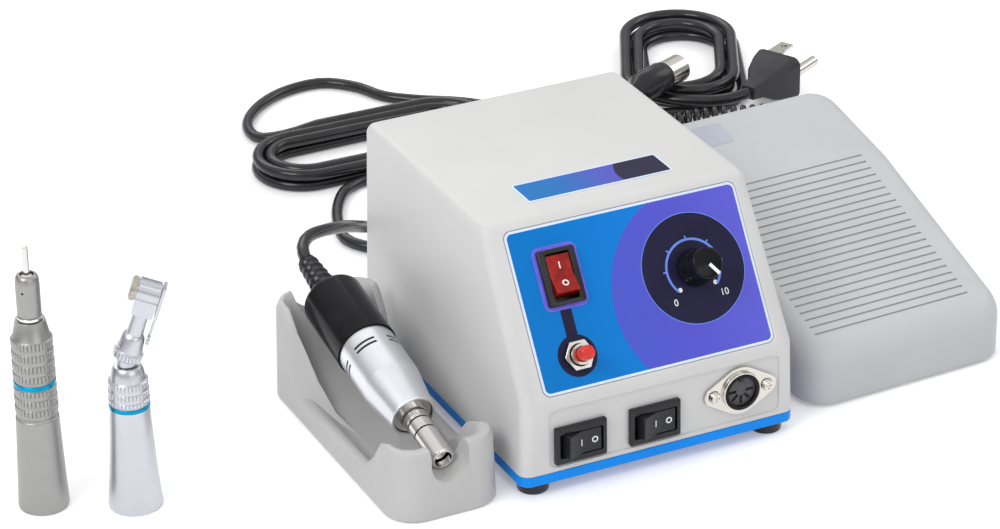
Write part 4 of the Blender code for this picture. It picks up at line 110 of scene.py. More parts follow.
LOWER_RECESS_LEFT = -46.0 * MM
LOWER_RECESS_RIGHT = 50.0 * MM
LOWER_RECESS_BOTTOM = 2.0 * MM
LOWER_RECESS_TOP = 25.6 * MM
MODE_SWITCH_PLACE = (-33.5 * MM, 10.8 * MM)
DIRECTION_SWITCH_PLACE = (-2.9 * MM, 10.8 * MM)
SOCKET_PLACE = (33.1 * MM, 14.9 * MM)

# Switches, breaker and dial
BEZEL_WIDTH = 15.0 * MM
BEZEL_LENGTH = 21.0 * MM
BEZEL_THICKNESS = 2.0 * MM
BEZEL_CHAMFER = 0.5 * MM
SWITCH_LIP = 1.0 * MM
SWITCH_DEPTH = 13.0 * MM
ROCKER_WIDTH = 9.2 * MM
ROCKER_LENGTH = 14.5 * MM
ROCKER_TILT = math.radians(12)
ROCKER_PIVOT_DEPTH = 1.0 * MM  # below the back of the bezel
ROCKER_CENTRE_HEIGHT = 3.0 * MM
ROCKER_KEEL = 2.0 * MM
TRUNNION_RADIUS = 1.2 * MM
TRUNNION_REACH = 0.9 * MM
BREAKER_CAN_RADIUS = 6.5 * MM
BREAKER_CAN_LENGTH = 20.0 * MM
BREAKER_NECK_RADIUS = 3.9 * MM
BREAKER_NECK_PROUD = 5.0 * MM
BREAKER_BORE_RADIUS = 3.0 * MM
BREAKER_BORE_DEPTH = 12.0 * MM
NUT_ACROSS_FLATS = 10.5 * MM
NUT_THICKNESS = 2.4 * MM
BUTTON_RADIUS = 2.7 * MM
BUTTON_PROUD = 5.6 * MM
BUTTON_TRAVEL = 2.0 * MM
BUSHING_RADIUS = 4.4 * MM
BUSHING_PROUD = 4.0 * MM
SHAFT_RADIUS = 3.0 * MM
SHAFT_PROUD = 10.0 * MM
KNOB_SKIRT_RADIUS = 7.0 * MM
KNOB_RADIUS = 6.6 * MM
KNOB_TOP_RADIUS = 6.1 * MM
KNOB_HEIGHT = 12.5 * MM
KNOB_SKIRT_HEIGHT = 2.4 * MM
KNOB_EDGE = 0.8 * MM
KNOB_LIFT = 0.6 * MM

# Motor socket
SOCKET_RING_RADIUS = 7.75 * MM
SOCKET_RING_PROUD = 1.4 * MM
SOCKET_BORE_RADIUS = 6.5 * MM
SOCKET_FLANGE_RADIUS = 9.6 * MM
SOCKET_FLANGE_THICKNESS = 1.2 * MM
SOCKET_LOBE_RADIUS = 4.0 * MM
SOCKET_SCREW_SPACING = 22.2 * MM
SOCKET_CAN_DEPTH = 12.0 * MM
SOCKET_CONTACTS = 5
SOCKET_SLOT_SIZE = (3.4 * MM, 1.2 * MM, 1.4 * MM)
SOCKET_SLOT_RING = 3.6 * MM
SOCKET_SLOT_SPREAD = math.radians(180)
SCREW_HEAD_RADIUS = 2.4 * MM
SCREW_HEAD_HEIGHT = 1.3 * MM
SCREW_SHANK_RADIUS = 1.2 * MM
SCREW_LENGTH = 6.0 * MM
SCREW_CROSS_SIZE = (2.8 * MM, 0.6 * MM, 0.8 * MM)

# Back of the unit
REAR_ROW_HEIGHT = 24.0 * MM
MAINS_RELIEF_X = 6.0 * MM
PEDAL_SOCKET_X = 36.0 * MM
RELIEF_NECK_RADIUS = 4.8 * MM
RELIEF_FLANGE_RADIUS = 7.5 * MM
RELIEF_FLANGE_THICKNESS = 2.4 * MM
RELIEF_LENGTH = 28.0 * MM
RELIEF_ROOT_RADIUS = 5.4 * MM
RELIEF_TIP_RADIUS = 3.6 * MM
RELIEF_LOCK_LENGTH = 5.0 * MM
JACK_NECK_RADIUS = 4.0 * MM
JACK_NUT_RADIUS = 6.2 * MM
JACK_NUT_THICKNESS = 2.0 * MM
JACK_BODY_RADIUS = 6.0 * MM
JACK_BODY_LENGTH = 14.0 * MM
JACK_BORE_RADIUS = 2.1 * MM
JACK_BORE_DEPTH = 16.0 * MM
JACK_PIN_RADIUS = 1.75 * MM
JACK_PIN_LENGTH = 14.0 * MM
JACK_GRIP_RADIUS = 4.8 * MM
JACK_GRIP_LENGTH = 16.0 * MM
JACK_TAIL_LENGTH = 10.0 * MM
JACK_TAIL_RADIUS = 2.4 * MM

# Handpiece
NOSE_TIP = (10.0 * MM, 20.0 * MM)  # Y and Z of the tip
TAIL_BACK = (109.0 * MM, 40.0 * MM)
NOSE_RADIUS = 4.5 * MM
NOSE_BORE_RADIUS = 3.3 * MM
NOSE_LENGTH = 25.6 * MM
NOSE_TIP_EDGE = 0.5 * MM
GROOVE_DEPTH = 0.5 * MM
GROOVE_WIDTH = 0.8 * MM
GROOVE_PLACES_SHARES = (0.57, 0.79)
NOSE_RING_RADIUS = 5.3 * MM
NOSE_RING_SHARE = 0.90
NOSE_FLANGE_RECESS = 1.0 * MM
NOSE_BODY_RADIUS = 7.4 * MM
NOSE_BODY_LENGTH = 9.6 * MM
BEARING_RADIUS = 5.0 * MM
BEARING_LENGTH = 4.0 * MM
BEARING_SEAT_LENGTH = 8.2 * MM
SLEEVE_RADIUS = 11.3 * MM
SLEEVE_FRONT_RADIUS = 8.8 * MM
SLEEVE_LENGTH = 41.4 * MM
SLEEVE_CONE_SHARE = 0.46
SLEEVE_WALL = 1.8 * MM
SLEEVE_SPIGOT_LENGTH = 5.0 * MM
VENT_LENGTH = 9.0 * MM
VENT_DEPTH = 0.8 * MM
VENT_SPACING = 2.3 * MM
VENT_INSET = 6.3 * MM
VENT_GROUPS = 5
VENT_PHASE = math.radians(63)
CAP_RADIUS = 12.0 * MM
CAP_LENGTH = 33.5 * MM
CAP_WALL = 1.6 * MM
CAP_ROUNDING = 2.4 * MM
CAP_BACK = 5.0 * MM
CAP_BEARING_SHARE = 0.33
ROTOR_SHAFT_RADIUS = 1.6 * MM
CORD_RELIEF_PLUG_RADIUS = 4.5 * MM
CORD_RELIEF_LENGTH = 23.0 * MM
CORD_RELIEF_ROOT_RADIUS = 5.6 * MM
CORD_RELIEF_TIP_RADIUS = 4.0 * MM
CORD_RELIEF_RIBS = 6
CORD_RELIEF_RIB_HEIGHT = 0.8 * MM

# Cradle
CRADLE_WIDTH = 44.0 * MM
CRADLE_SPACE = 5.0 * MM  # between the cradle and the control unit
MOTOR_X = -UNIT_BASE_WIDTH / 2 - CRADLE_SPACE - CRADLE_WIDTH / 2
CRADLE_FRONT = 3.0 * MM
CRADLE_BACK = 123.0 * MM
CRADLE_CORNER_RADIUS = 12.0 * MM
CRADLE_FLOOR = 4.0 * MM
CRADLE_SIDE_HEIGHT = 9.0 * MM
CRADLE_FRONT_HEIGHT = 28.0 * MM
CRADLE_BACK_HEIGHT = 41.0 * MM
CRADLE_FRONT_REACH_SHARES = (0.10, 0.27)
CRADLE_BACK_REACH_SHARES = (0.76, 0.91)
CRADLE_EDGE = 0.8 * MM
CRADLE_NOTCH_RADIUS = 7.5 * MM
CRADLE_INNER_RADIUS = 5.0 * MM
CRADLE_STATIONS_SHARES = (0.15, 0.20, 0.27, 0.4, 0.55, 0.70, 0.76, 0.81, 0.86)
CRADLE_WALL = 13.0 * MM  # how far the floor lies in from the sides
CRADLE_FRONT_WALL = 20.0 * MM
CRADLE_BACK_WALL = 46.0 * MM
CRADLE_BOWL_SHARES = (  # of the side, front and back wall, and of the rise from floor to rim
    (0.06, 0.04, 0.02, 0.90), (0.15, 0.10, 0.05, 0.985), (0.26, 0.21, 0.09, 1.0), (0.37, 0.35, 0.14, 0.96),
    (0.46, 0.50, 0.22, 0.80), (0.62, 0.65, 0.44, 0.40), (0.80, 0.80, 0.70, 0.10), (1.0, 1.0, 1.0, 0.0),
)

# Foot pedal
PEDAL_REACH = 58.2 * MM  # from the side of the control unit to the middle of the pedal
PEDAL_X = UNIT_BASE_WIDTH / 2 + PEDAL_REACH
PEDAL_TURN = math.radians(2.5)
PEDAL_FRONT = 11.0 * MM
PEDAL_WIDTH = 91.5 * MM
PEDAL_DEPTH = 134.0 * MM
PEDAL_FRONT_HEIGHT = 23.0 * MM
PEDAL_KINK_DISTANCE = 86.0 * MM
PEDAL_KINK_HEIGHT = 54.5 * MM
PEDAL_BACK_HEIGHT = 65.5 * MM
PEDAL_CORNER_RADIUS = 12.0 * MM
PEDAL_EDGE_ROUNDING = 8.0 * MM
PEDAL_WALL = 2.5 * MM
PEDAL_SKIRT_FRONT = 1.6 * MM
PEDAL_SKIRT_BACK = 11.0 * MM
PEDAL_BASE_CLEARANCE = 1.2 * MM
GROOVE_COUNT = 22
GROOVE_FIRST = 10.5 * MM
GROOVE_PITCH = 3.6 * MM
RIDGE_OFFSET = -2.5 * MM
RIDGE_WIDTH = 70.0 * MM
RIDGE_GROOVE_WIDTH = 0.9 * MM
RIDGE_GROOVE_DEPTH = 0.7 * MM
PIN_RADIUS = 2.0 * MM
PIN_DISTANCE = 12.0 * MM
PIN_HEIGHT = 9.0 * MM
LUG_THICKNESS = 4.0 * MM
LUG_HALF_DEPTH = 4.0 * MM
LUG_SPREAD = 30.0 * MM
LUG_CLEARANCE = 1.0 * MM
PEDAL_CORD_BOSS_RADIUS = 3.4 * MM
PEDAL_CORD_BOSS_LENGTH = 9.0 * MM
PEDAL_CORD_HEIGHT = 6.5 * MM
PEDAL_PRESS_DROP = 8.0 * MM

# Attachments
STRAIGHT_PLACE = (-213.0 * MM, 79.0 * MM)
ATTACHMENT_TURN = math.radians(-25.8)
STRAIGHT_SLEEVE_HEIGHT = 76.6 * MM
STRAIGHT_WAIST_RADIUS = 7.1 * MM
STRAIGHT_NOSE_RADIUS = 4.4 * MM
STRAIGHT_NOSE_HEIGHT = 17.5 * MM
STRAIGHT_SHANK_RADIUS = 1.175 * MM
STRAIGHT_SHANK_PROUD = 10.8 * MM
STRAIGHT_PROFILE_SHARES = (  # height over the sleeve's height, and radius over the waist's
    (0.0, 1.28), (0.015, 1.316), (0.05, 1.30), (0.12, 1.26), (0.217, 1.22), (0.35, 1.16), (0.485, 1.11),
    (0.49, 1.05), (0.50, 1.05), (0.505, 1.06), (0.905, 1.02), (0.91, 0.97), (1.0, 0.76),
)
STRAIGHT_CHUCK_SHARES = (  # height over the chuck ring's height, and radius over its largest
    (0.0, 1.03), (0.065, 1.03), (0.068, 0.94), (0.085, 0.94), (0.09, 1.0), (0.78, 1.0), (0.92, 0.95),
    (0.98, 0.82), (1.0, 0.70),
)
ATTACHMENT_BORE_RADIUS = NOSE_RING_RADIUS + GAP  # fits over the handpiece's nose
ATTACHMENT_BORE_DEPTH = NOSE_LENGTH + GAP
SPINDLE_BORE_RADIUS = 2.6 * MM
SPINDLE_RADIUS = 2.2 * MM
CONTRA_PLACE = (-183.0 * MM, 64.0 * MM)
CONTRA_SHEATH_HEIGHT = 57.6 * MM
CONTRA_WAIST_RADIUS = 7.3 * MM
CONTRA_PROFILE_SHARES = (
    (0.0, 1.34), (0.02, 1.37), (0.06, 1.33), (0.22, 1.22), (0.51, 1.08), (0.70, 1.01), (0.745, 0.99),
    (0.905, 0.95), (0.91, 0.88), (0.955, 0.83), (0.985, 0.75), (1.0, 0.66),
)
CONTRA_TILT = math.radians(19)
CONTRA_NECK_SHARES = (  # height over the neck's length, and radius over its largest
    (0.0, 0.88), (0.02, 1.0), (0.155, 1.0), (0.165, 0.94), (0.39, 0.82), (0.44, 0.74), (0.47, 0.60),
    (1.0, 0.55),
)
CONTRA_NECK_LENGTH = 23.0 * MM
CONTRA_NECK_RADIUS = 5.1 * MM
CONTRA_NECK_LIFT = 0.8 * MM
CONTRA_ROOT_SHARE = 0.7  # of the neck's radius
CONTRA_HEAD_HEIGHT = 28.0 * MM
CONTRA_HEAD_RADIUS = 4.2 * MM
CONTRA_HEAD_FRONT = 3.9 * MM
CONTRA_HEAD_BACK = 4.4 * MM
CONTRA_HEAD_DROP = 9.0 * MM
CONTRA_HEAD_WIDTH = 6.4 * MM
CONTRA_CAP_LENGTH = 2.6 * MM
CONTRA_CAP_SHARES = (0.92, 1.04, 0.9)  # radius of its groove, rim and top over the head's
CONTRA_CHEEK_SHARE = 0.9  # how far the cheeks rise into the head
LATCH_THICKNESS = 1.2 * MM
LATCH_TAIL_LENGTH = 10.7 * MM
LATCH_WIRE_RADIUS = 0.5 * MM
LATCH_TAB_RADIUS = 1.9 * MM

# Cords and their plugs. The routes' points are in millimetres.
MOTOR_CORD_DIAMETER = 5.0 * MM
MOTOR_HANK_CENTRE = (15.0 * MM, 292.0 * MM)
MOTOR_HANK_HALF_RUN = 32.0 * MM
MOTOR_HANK_RADIUS = 12.0 * MM
MOTOR_HANK_LOOPS = 4.5
MOTOR_PLUG_BASE = (123.3 * MM, 261.3 * MM, 18.6 * MM)
MOTOR_PLUG_DIRECTION = (0.91, 0.414, 0.0)
PLUG_RADIUS = 7.0 * MM
PLUG_LENGTH = 27.0 * MM
PLUG_PROFILE_SHARES = ((0.0, 0.47), (0.26, 0.60), (0.36, 0.94), (0.9, 1.0), (1.0, 0.92))
PLUG_SHELL_RADIUS = SOCKET_BORE_RADIUS - GAP
PLUG_SHELL_WALL = 0.9 * MM
PLUG_SHELL_LENGTH = 11.0 * MM
PLUG_SHELL_RECESS = 3.6 * MM
MAINS_CORD_DIAMETER = 5.2 * MM
MAINS_COIL_CENTRE = (177.5 * MM, 309.5 * MM)
MAINS_COIL_ANGLE = math.radians(64.2)
MAINS_COIL_HALF_RUN = 14.0 * MM
MAINS_COIL_RADIUS = 15.6 * MM
MAINS_COIL_LOOPS = 4
MAINS_COIL_START_SHARE = 0.75
MAINS_COIL_STRETCH_SHARE = 0.8
MAINS_PLUG_BASE = (181.0 * MM, 254.8 * MM, 10.6 * MM)
MAINS_PLUG_DIRECTION = (0.88, 0.475, 0.0)
MAINS_PLUG_LENGTH = 26.0 * MM
MAINS_PLUG_WIDTH = 20.0 * MM
MAINS_PLUG_DEPTH = 23.0 * MM
MAINS_PLUG_CORNER = 4.0 * MM
MAINS_PLUG_SHARES = ((0.0, 0.30), (0.30, 0.42), (0.48, 0.70), (0.78, 0.92), (0.97, 1.0), (1.0, 0.96))
BLADE_SPACING = 12.7 * MM
BLADE_SIZE = (1.5 * MM, 6.3 * MM, 17.5 * MM)
BLADE_HOLE_RADIUS = 1.5 * MM
BLADE_HOLE_SHARE = 0.8
GROUND_PIN_RADIUS = 2.4 * MM
GROUND_PIN_LENGTH = 21.0 * MM
GROUND_PIN_OFFSET = 11.9 * MM
CONTACT_BAR_THICKNESS = 2.0 * MM
PEDAL_CORD_DIAMETER = 2.8 * MM
CURL_RADIUS = 4.25 * MM
CURL_PITCH = 4.2 * MM
CURL_COUNT = 28
CURL_STEPS = 20
LOOP_GAP = 0.6 * MM
LOOP_STEPS = 72
ROUTE_STEP_SHARE = 1.0  # spacing of a route's points over the cord's diameter
MOTOR_LEAD_ROUTE = (
    (-83, 141, 47.2), (-77, 148, 47), (-66, 156, 43.5), (-52, 169, 36), (-37, 186, 25), (-26, 201, 15.5),
    (-16, 213, 8), (-7, 219.5, 3.6), (1, 217, 2.6), (5, 209.5, 2.6), (-1, 201.5, 2.6), (-13, 202, 2.6),
    (-24, 208, 2.6), (-30, 219, 2.6), (-27, 234, 2.6), (-20, 250, 2.6), (-11, 262, 2.6),
)
MOTOR_TAIL_ROUTE = (
    (-14, 319, 5.4), (-24, 326, 3), (-24, 340, 2.6), (-13, 356, 2.6), (5, 367, 2.6), (24, 368, 2.6),
    (36, 357, 2.6), (43, 342, 2.6), (55, 331, 2.6), (71, 320, 2.6), (84, 306, 2.6), (93, 292, 2.8),
    (99, 281, 5), (103, 271, 9.5), (107, 263, 14), (112, 258.8, 17.4),
)
MAINS_LEAD_ROUTE = (
    (7, 193, 19.5), (11, 205, 11.5), (20, 216, 4.8), (36, 226, 2.8), (56, 239, 2.7), (80, 256, 2.7),
    (100, 268.5, 2.7), (117, 275, 2.7), (131, 275, 2.7),
)
MAINS_TAIL_ROUTE = ((170, 256.4, 9.6),)
PEDAL_LEAD_ROUTE = (
    (110, 165, 4), (116, 181, 1.8), (128, 198, 1.6), (146, 212, 1.6), (164, 220, 1.6), (181, 222, 1.8),
    (191, 226, 2.8), (192, 233, 4.6),
)
CURL_ROUTE = (
    (185, 237, 5.8), (173, 241.5, 5.8), (159, 246.5, 5.8), (145, 249, 5.8), (128, 249, 5.8),
    (110, 245.5, 5.8), (94, 239.5, 5.8), (82, 232, 5.8),
)
PEDAL_TAIL_ROUTE = ((72, 223, 3.6), (61, 211, 1.8), (48, 199, 6), (38, 187, 18))

# Worked out from the sizes above
SLANT_ANGLE = math.atan2(TOP_FRONT_SETBACK - KINK_SETBACK, UNIT_HEIGHT - KINK_HEIGHT)
BASE_TOP = FOOT_HEIGHT + BASE_STRIP
LEAN_ANGLE = math.atan2(KINK_SETBACK, KINK_HEIGHT - BASE_TOP)
HOUSING_BOTTOM = BASE_TOP + GAP
PEDAL_BACK = PEDAL_FRONT + PEDAL_DEPTH
OVERLAY_SURFACE = OVERLAY_THICKNESS + GAP - OVERLAY_RECESS
PANEL_SEAT = OVERLAY_SURFACE + GAP
LOWER_SEAT = GAP - LOWER_RECESS
QUARTER = [math.pi / 2 * step / ROUNDING_STEPS for step in range(ROUNDING_STEPS + 1)]
BODY_END = NOSE_LENGTH + NOSE_FLANGE_RECESS + NOSE_BODY_LENGTH  # ends of the handpiece's pieces along it
SLEEVE_END = NOSE_LENGTH + SLEEVE_LENGTH
CAP_START = SLEEVE_END + GAP
CAP_END = CAP_START + CAP_LENGTH
HEAD_PLACE, HEAD_TURN = (0, 0, CONTRA_HEAD_HEIGHT), (0, -math.pi / 2, 0)  # of the angled head's barrel

# Prints of the slanted panel
PRINT = 0.03 * MM  # thickness of one printed layer
PRINT_ROOT = 0.05 * MM  # how far a print sinks into what carries it
FIELD_BORDER = 1.25 * MM  # pale edge that the film leaves round the printed field
FIELD = (OVERLAY_LEFT + FIELD_BORDER, OVERLAY_RIGHT - FIELD_BORDER,
         OVERLAY_BOTTOM + FIELD_BORDER, OVERLAY_TOP - FIELD_BORDER)
FIELD_RADIUS = 2.0 * MM
VIOLET_CENTRE = (28.5 * MM, 26.5 * MM)
VIOLET_RADIUS = 40.0 * MM
DISC_RADIUS = 20.7 * MM
DISC_RIM = 0.3 * MM
SCALE_RADIUS = 10.9 * MM
SCALE_WIDTH = 0.9 * MM
SCALE_START, SCALE_END = math.radians(223), math.radians(-43.5)
SCALE_LAYERS = 5
SCALE_TICKS = (177, 137, 91, 47, 3)  # degrees
TICK_SIZE = (1.5 * MM, 0.55 * MM)
DOT_RADIUS = 0.85 * MM
DOT_PLACES = ((16.2 * MM, 28.6 * MM), (30.9 * MM, 28.6 * MM))
NUMERAL_SIZE = 3.6 * MM
NUMERAL_PLACES = (("0", (13.3 * MM, 24.3 * MM)), ("10", (33.6 * MM, 24.3 * MM)))
KEYHOLE_RADIUS = 7.8 * MM
KEYHOLE_BAR = (-32.6 * MM, -28.1 * MM, 18.0 * MM, 33.4 * MM)  # left, right, bottom and top
GLOW = 1.5 * MM

# Marks of the switches and the knob
MARK_STROKE = 0.45 * MM
MARK_DEPTH = 0.06 * MM
MARK_RADIUS = 1.25 * MM
MARK_LENGTH = 2.6 * MM
MARK_DISTANCES = {  # of the bar and of the ring from the rocker's middle
    "power": (3.4 * MM, 3.6 * MM), "mode": (1.0 * MM, 4.6 * MM), "direction": (1.0 * MM, 4.6 * MM),
}
POINTER_WIDTH = 1.3 * MM
POINTER_ANGLE = math.radians(-54)
POINTER_START = 0.12 * KNOB_TOP_RADIUS
POINTER_ROOT = 4 * MARK_DEPTH  # how far the pointer sinks into the knob's side
FLUTES = 18
FLUTE_DEPTH = 0.28 * MM

# Name plate and pedal label
NAME_PLATE = (-29.8 * MM, 30.5 * MM, 48.4 * MM, 64.0 * MM)  # left, right, front and back
NAME_PLATE_THICKNESS = 0.3 * MM
NAME_PLATE_BORDER = 0.8 * MM
NAME_PLATE_END = 11.0 * MM  # where the dark end starts
END_BULGE, END_LEAN, END_STEPS = 3.0 * MM, 4.0 * MM, 8  # of the curve that the dark end starts with
STICKER = (-38.0 * MM, -11.0 * MM, 26.5 * MM, 39.5 * MM)
STICKER_THICKNESS = 0.15 * MM

# Knurls, bands and other trim
KNURL_DEPTH = 0.35 * MM
SHALLOW_DEPTH = 0.8 * KNURL_DEPTH
KNURL_ROOT_SHARE = 1.6  # how deep a knurled ring goes, over the depth of its teeth
KNURL_EDGE = 0.3 * MM
KNURL_TEETH = 34
COLLAR_TEETH, CAP_TEETH, BUTTON_TEETH = 26, 36, 18
TOOTH_MARKS = ((0.0, 1), (0.10, 1), (0.22, 0), (0.88, 0))  # shares of a tooth's pitch, and 1 in the gap
STRAIGHT_ROWS = (  # low and high edge of each knurled row
    (66.4 * MM, 69.4 * MM), (62.0 * MM, 64.9 * MM), (57.6 * MM, 60.5 * MM), (53.3 * MM, 56.2 * MM),
    (47.9 * MM, 50.2 * MM), (43.8 * MM, 46.5 * MM), (39.8 * MM, 42.6 * MM),
)
STRAIGHT_BAND = (50.5 * MM, 52.3 * MM)
CONTRA_ROWS = ((49.6 * MM, 52.1 * MM), (45.8 * MM, 48.3 * MM), (42.7 * MM, 44.9 * MM))
CONTRA_BAND = (40.9 * MM, 42.5 * MM)
COLLAR_ROW = (0.5 * MM, 3.5 * MM)
CAP_KNURL_RISE = 0.6 * KNURL_DEPTH
# Seam whose groove is drawn as a dark band of painted shade
SEAM_HEIGHT = 38.4 * MM
SEAM_WIDTH = 0.35 * MM
# Oil hole drawn as a dark disc of painted shade
OIL_HOLE_RADIUS = 0.45 * MM
OIL_HOLE_HEIGHT = 11.5 * MM
OIL_HOLE_DIRECTION = (-0.35, -1, 0)
CHROME_RING = (0.02 * MM, 1.1 * MM)
CHROME_RING_RADIUS = 4.6 * MM
LINING_INNER = 5.9 * MM
LINING_EDGE = 0.45 * MM  # bright edge that the lining leaves on the ring
LINING_PROUD = 0.15 * MM
KEY_SIZE = (1.9 * MM, 1.0 * MM, 1.8 * MM)  # along the radius, along the axis and across
VENT_SIGHT = 1.15 * MM
VENT_STEPS = 16
RIB_STEPS = 12
RIB_PHASE = math.tau * 0.075  # where on its wave the first rib starts
EASED_POINTS, EASING_PASSES = 10, 3  # how far from its ends a cord is eased, and how often

# Rounding of the edges of the pieces that show them
THIN_EDGE, FINE_EDGE, BAND_EDGE = 0.05 * MM, 0.1 * MM, 0.15 * MM
EDGES = {
    name: width * MM for width, names in (
        (0.08, ("motor_nose",)),
        (0.1, ("straight_chuck_ring",)),
        (0.12, ("power_switch_frame", "mode_switch_frame", "direction_switch_frame", "speed_knob",
                "straight_sleeve", "contra_sheath", "motor_plug_shell")),
        (0.15, ("motor_cap",)),
        (0.2, ("housing_shell", "breaker_nut", "motor_socket_shell", "contra_latch", "mains_plug_pins",
               "motor_plug_body", "pedal_socket")),
        (0.25, ("power_rocker", "mode_rocker", "direction_rocker")),
        (0.3, ("base_tray", "contra_head", "mains_strain_relief", "pedal_plug")),
        (0.5, ("cradle", "mains_plug_body")),
    ) for name in names
}
# Pieces with small cuts in long faces, whose normals follow the larger faces
EVEN_SHADING = ("motor_sleeve",)

# Pieces that a moving CAD body of the same name carries. The root carries the others.
MOVING = ("power_rocker", "mode_rocker", "direction_rocker", "breaker_button", "speed_knob", "pedal_cover",
          "straight_chuck_ring", "straight_spindle", "contra_latch")

# Finishes: colour, roughness, size of the mottling, its strength, size of the grain, its height
PLAIN = {
    "housing_grey": ((0.60, 0.598, 0.594), 0.42, 0.04, 0.02, 0.0006, 0.000012),
    "pedal_grey": ((0.485, 0.493, 0.508), 0.5, 0.03, 0.02, 0.0005, 0.00003),
    "cradle_grey": ((0.49, 0.487, 0.485), 0.5, 0.03, 0.025, 0.0005, 0.00002),
    "azure": ((0.0, 0.26, 0.86), 0.4, 0.02, 0.05, 0.0005, 0.00001),
    "film_white": ((0.66, 0.75, 0.88), 0.3, 0.02, 0.03, 0.0004, 0.000004),
    "navy_print": ((0.014, 0.013, 0.042), 0.32, 0.01, 0.06, 0.0004, 0.000004),
    "scale_print": ((0.15, 0.26, 0.80), 0.32, 0.01, 0.04, 0.0004, 0.000004),
    "white_print": ((0.86, 0.88, 0.92), 0.35, 0.01, 0.02, 0.0004, 0.000004),
    "glow_print": ((0.16, 0.14, 0.74), 0.35, 0.006, 0.08, 0.0004, 0.000004),
    "lavender_print": ((0.41, 0.435, 0.51), 0.35, 0.01, 0.03, 0.0004, 0.000004),
    "gloss_black": ((0.007, 0.007, 0.009), 0.17, 0.01, 0.15, 0.0005, 0.000003),
    "black_plastic": ((0.013, 0.013, 0.015), 0.27, 0.01, 0.15, 0.0004, 0.000008),
    "black_rubber": ((0.012, 0.012, 0.014), 0.22, 0.01, 0.2, 0.0006, 0.000015),
    "plug_rubber": ((0.030, 0.030, 0.034), 0.5, 0.01, 0.15, 0.0006, 0.00002),
    "red_lens": ((0.27, 0.006, 0.003), 0.2, 0.004, 0.25, 0.0008, 0.000015),
    "red_button": ((0.66, 0.016, 0.008), 0.25, 0.003, 0.15, 0.0005, 0.00001),
    "socket_grey": ((0.075, 0.075, 0.080), 0.4, 0.01, 0.1, 0.0004, 0.00001),
    "copper_wire": ((0.52, 0.20, 0.07), 0.35, 0.003, 0.15, 0.0004, 0.00002),
    "board_green": ((0.02, 0.16, 0.06), 0.45, 0.006, 0.12, 0.0005, 0.00001),
    "blue_metal": ((0.0, 0.30, 0.52), 0.22, 0.004, 0.12, 0.0003, 0.000004),
}
METALLIC = {"copper_wire": 0.9, "blue_metal": 0.9}  # metallic share of the finishes above that have one

# Turned or ground metals: colour, roughness, pitch of the tool marks, their height
METAL = {
    "aluminium": ((0.80, 0.82, 0.85), 0.33, 0.00035, 0.000004),
    "steel": ((0.70, 0.68, 0.66), 0.14, 0.0004, 0.000001),
    "nickel": ((0.64, 0.62, 0.57), 0.16, 0.0006, 0.000001),
    "cap_steel": ((0.56, 0.52, 0.43), 0.34, 0.0003, 0.000004),
    "matt_steel": ((0.36, 0.358, 0.352), 0.40, 0.0003, 0.000005),
    "satin_silver": ((0.57, 0.585, 0.62), 0.34, 0.0003, 0.000004),
    "chrome": ((0.74, 0.73, 0.71), 0.12, 0.0006, 0.000001),
}

# Prints whose colour runs along X: length of the run round the set's middle, and colours at shares of it
GRADED = {
    "label_print": (2 * FIELD[1], (
        (0.0, (0.0, 0.165, 0.52)), (0.3, (0.0, 0.178, 0.57)), (0.6, (0.005, 0.19, 0.63)),
    )),
    "violet_print": (2 * FIELD[1], (
        (0.4, (0.07, 0.095, 0.54)), (0.7, (0.09, 0.09, 0.56)), (1.0, (0.11, 0.11, 0.60)),
    )),
    "plate_print": (2 * NAME_PLATE[1], (
        (0.0, (0.0, 0.16, 0.46)), (0.3, (0.01, 0.145, 0.45)), (0.62, (0.085, 0.085, 0.48)),
    )),
}
GRADED_GRAIN, GRADED_GRAIN_HEIGHT, GRADED_ROUGHNESS = 0.0005, 0.000004, (0.28, 0.36)

# How much of the light around a plain finish its gloss gives back, where it isn't the usual half
SHEEN = {
    "azure": 0.2, "gloss_black": 0.15, "red_lens": 0.28, "film_white": 0.3, "navy_print": 0.12,
    "scale_print": 0.15, "white_print": 0.3, "glow_print": 0.15, "black_plastic": 0.34, "black_rubber": 0.45,
    "plug_rubber": 0.3, "socket_grey": 0.3, "label_print": 0.12, "violet_print": 0.12, "plate_print": 0.12,
}
USUAL_SHEEN = 0.5
MOTTLE_STOPS = (0.35, 0.65)  # values of the noise at which the darker and the lighter colour are reached
MOTTLE_LIFT = 0.01  # lightens the mottling of a black finish
METAL_MOTTLE, METAL_CLOUD = 0.015, 0.006  # strength and size of the mottling of metals
NOISE_LOW, NOISE_HIGH = 0.3, 0.7  # range that nearly all of a noise lies in
PLAIN_SPREAD, METAL_SPREAD = (-0.04, 0.05), (-0.05, 0.06)  # of the roughness, either way
CLOUD_DETAIL, GRAIN_DETAIL = 3.0, 2.0
BUMP_STRENGTH = 0.8

# The record's slot of each finish that isn't one itself
SLOTS = {
    **dict.fromkeys(("film_white", "navy_print", "scale_print", "white_print", "glow_print", "lavender_print",
                     "label_print", "violet_print", "plate_print"), "panel_blue"),
    "plug_rubber": "black_rubber", "gloss_black": "black_plastic", "red_button": "red_lens",
    "socket_grey": "magnet_grey", "blue_metal": "azure", "cap_steel": "satin_silver", "chrome": "nickel",
}

# Pieces that stay as the CAD has them, mostly hidden inside
INSIDE = {
    "transformer_core": "socket_grey", "transformer_winding": "copper_wire", "control_board": "board_green",
    "pedal_sensor_board": "board_green", "speed_potentiometer": "steel", "pot_shaft": "steel",
    "front_bearing": "steel", "rear_bearing": "steel", "motor_rotor": "steel", "motor_magnet": "socket_grey",
    "pedal_pivot_pin": "steel", "pedal_spring": "steel", "pedal_base": "pedal_grey",
}

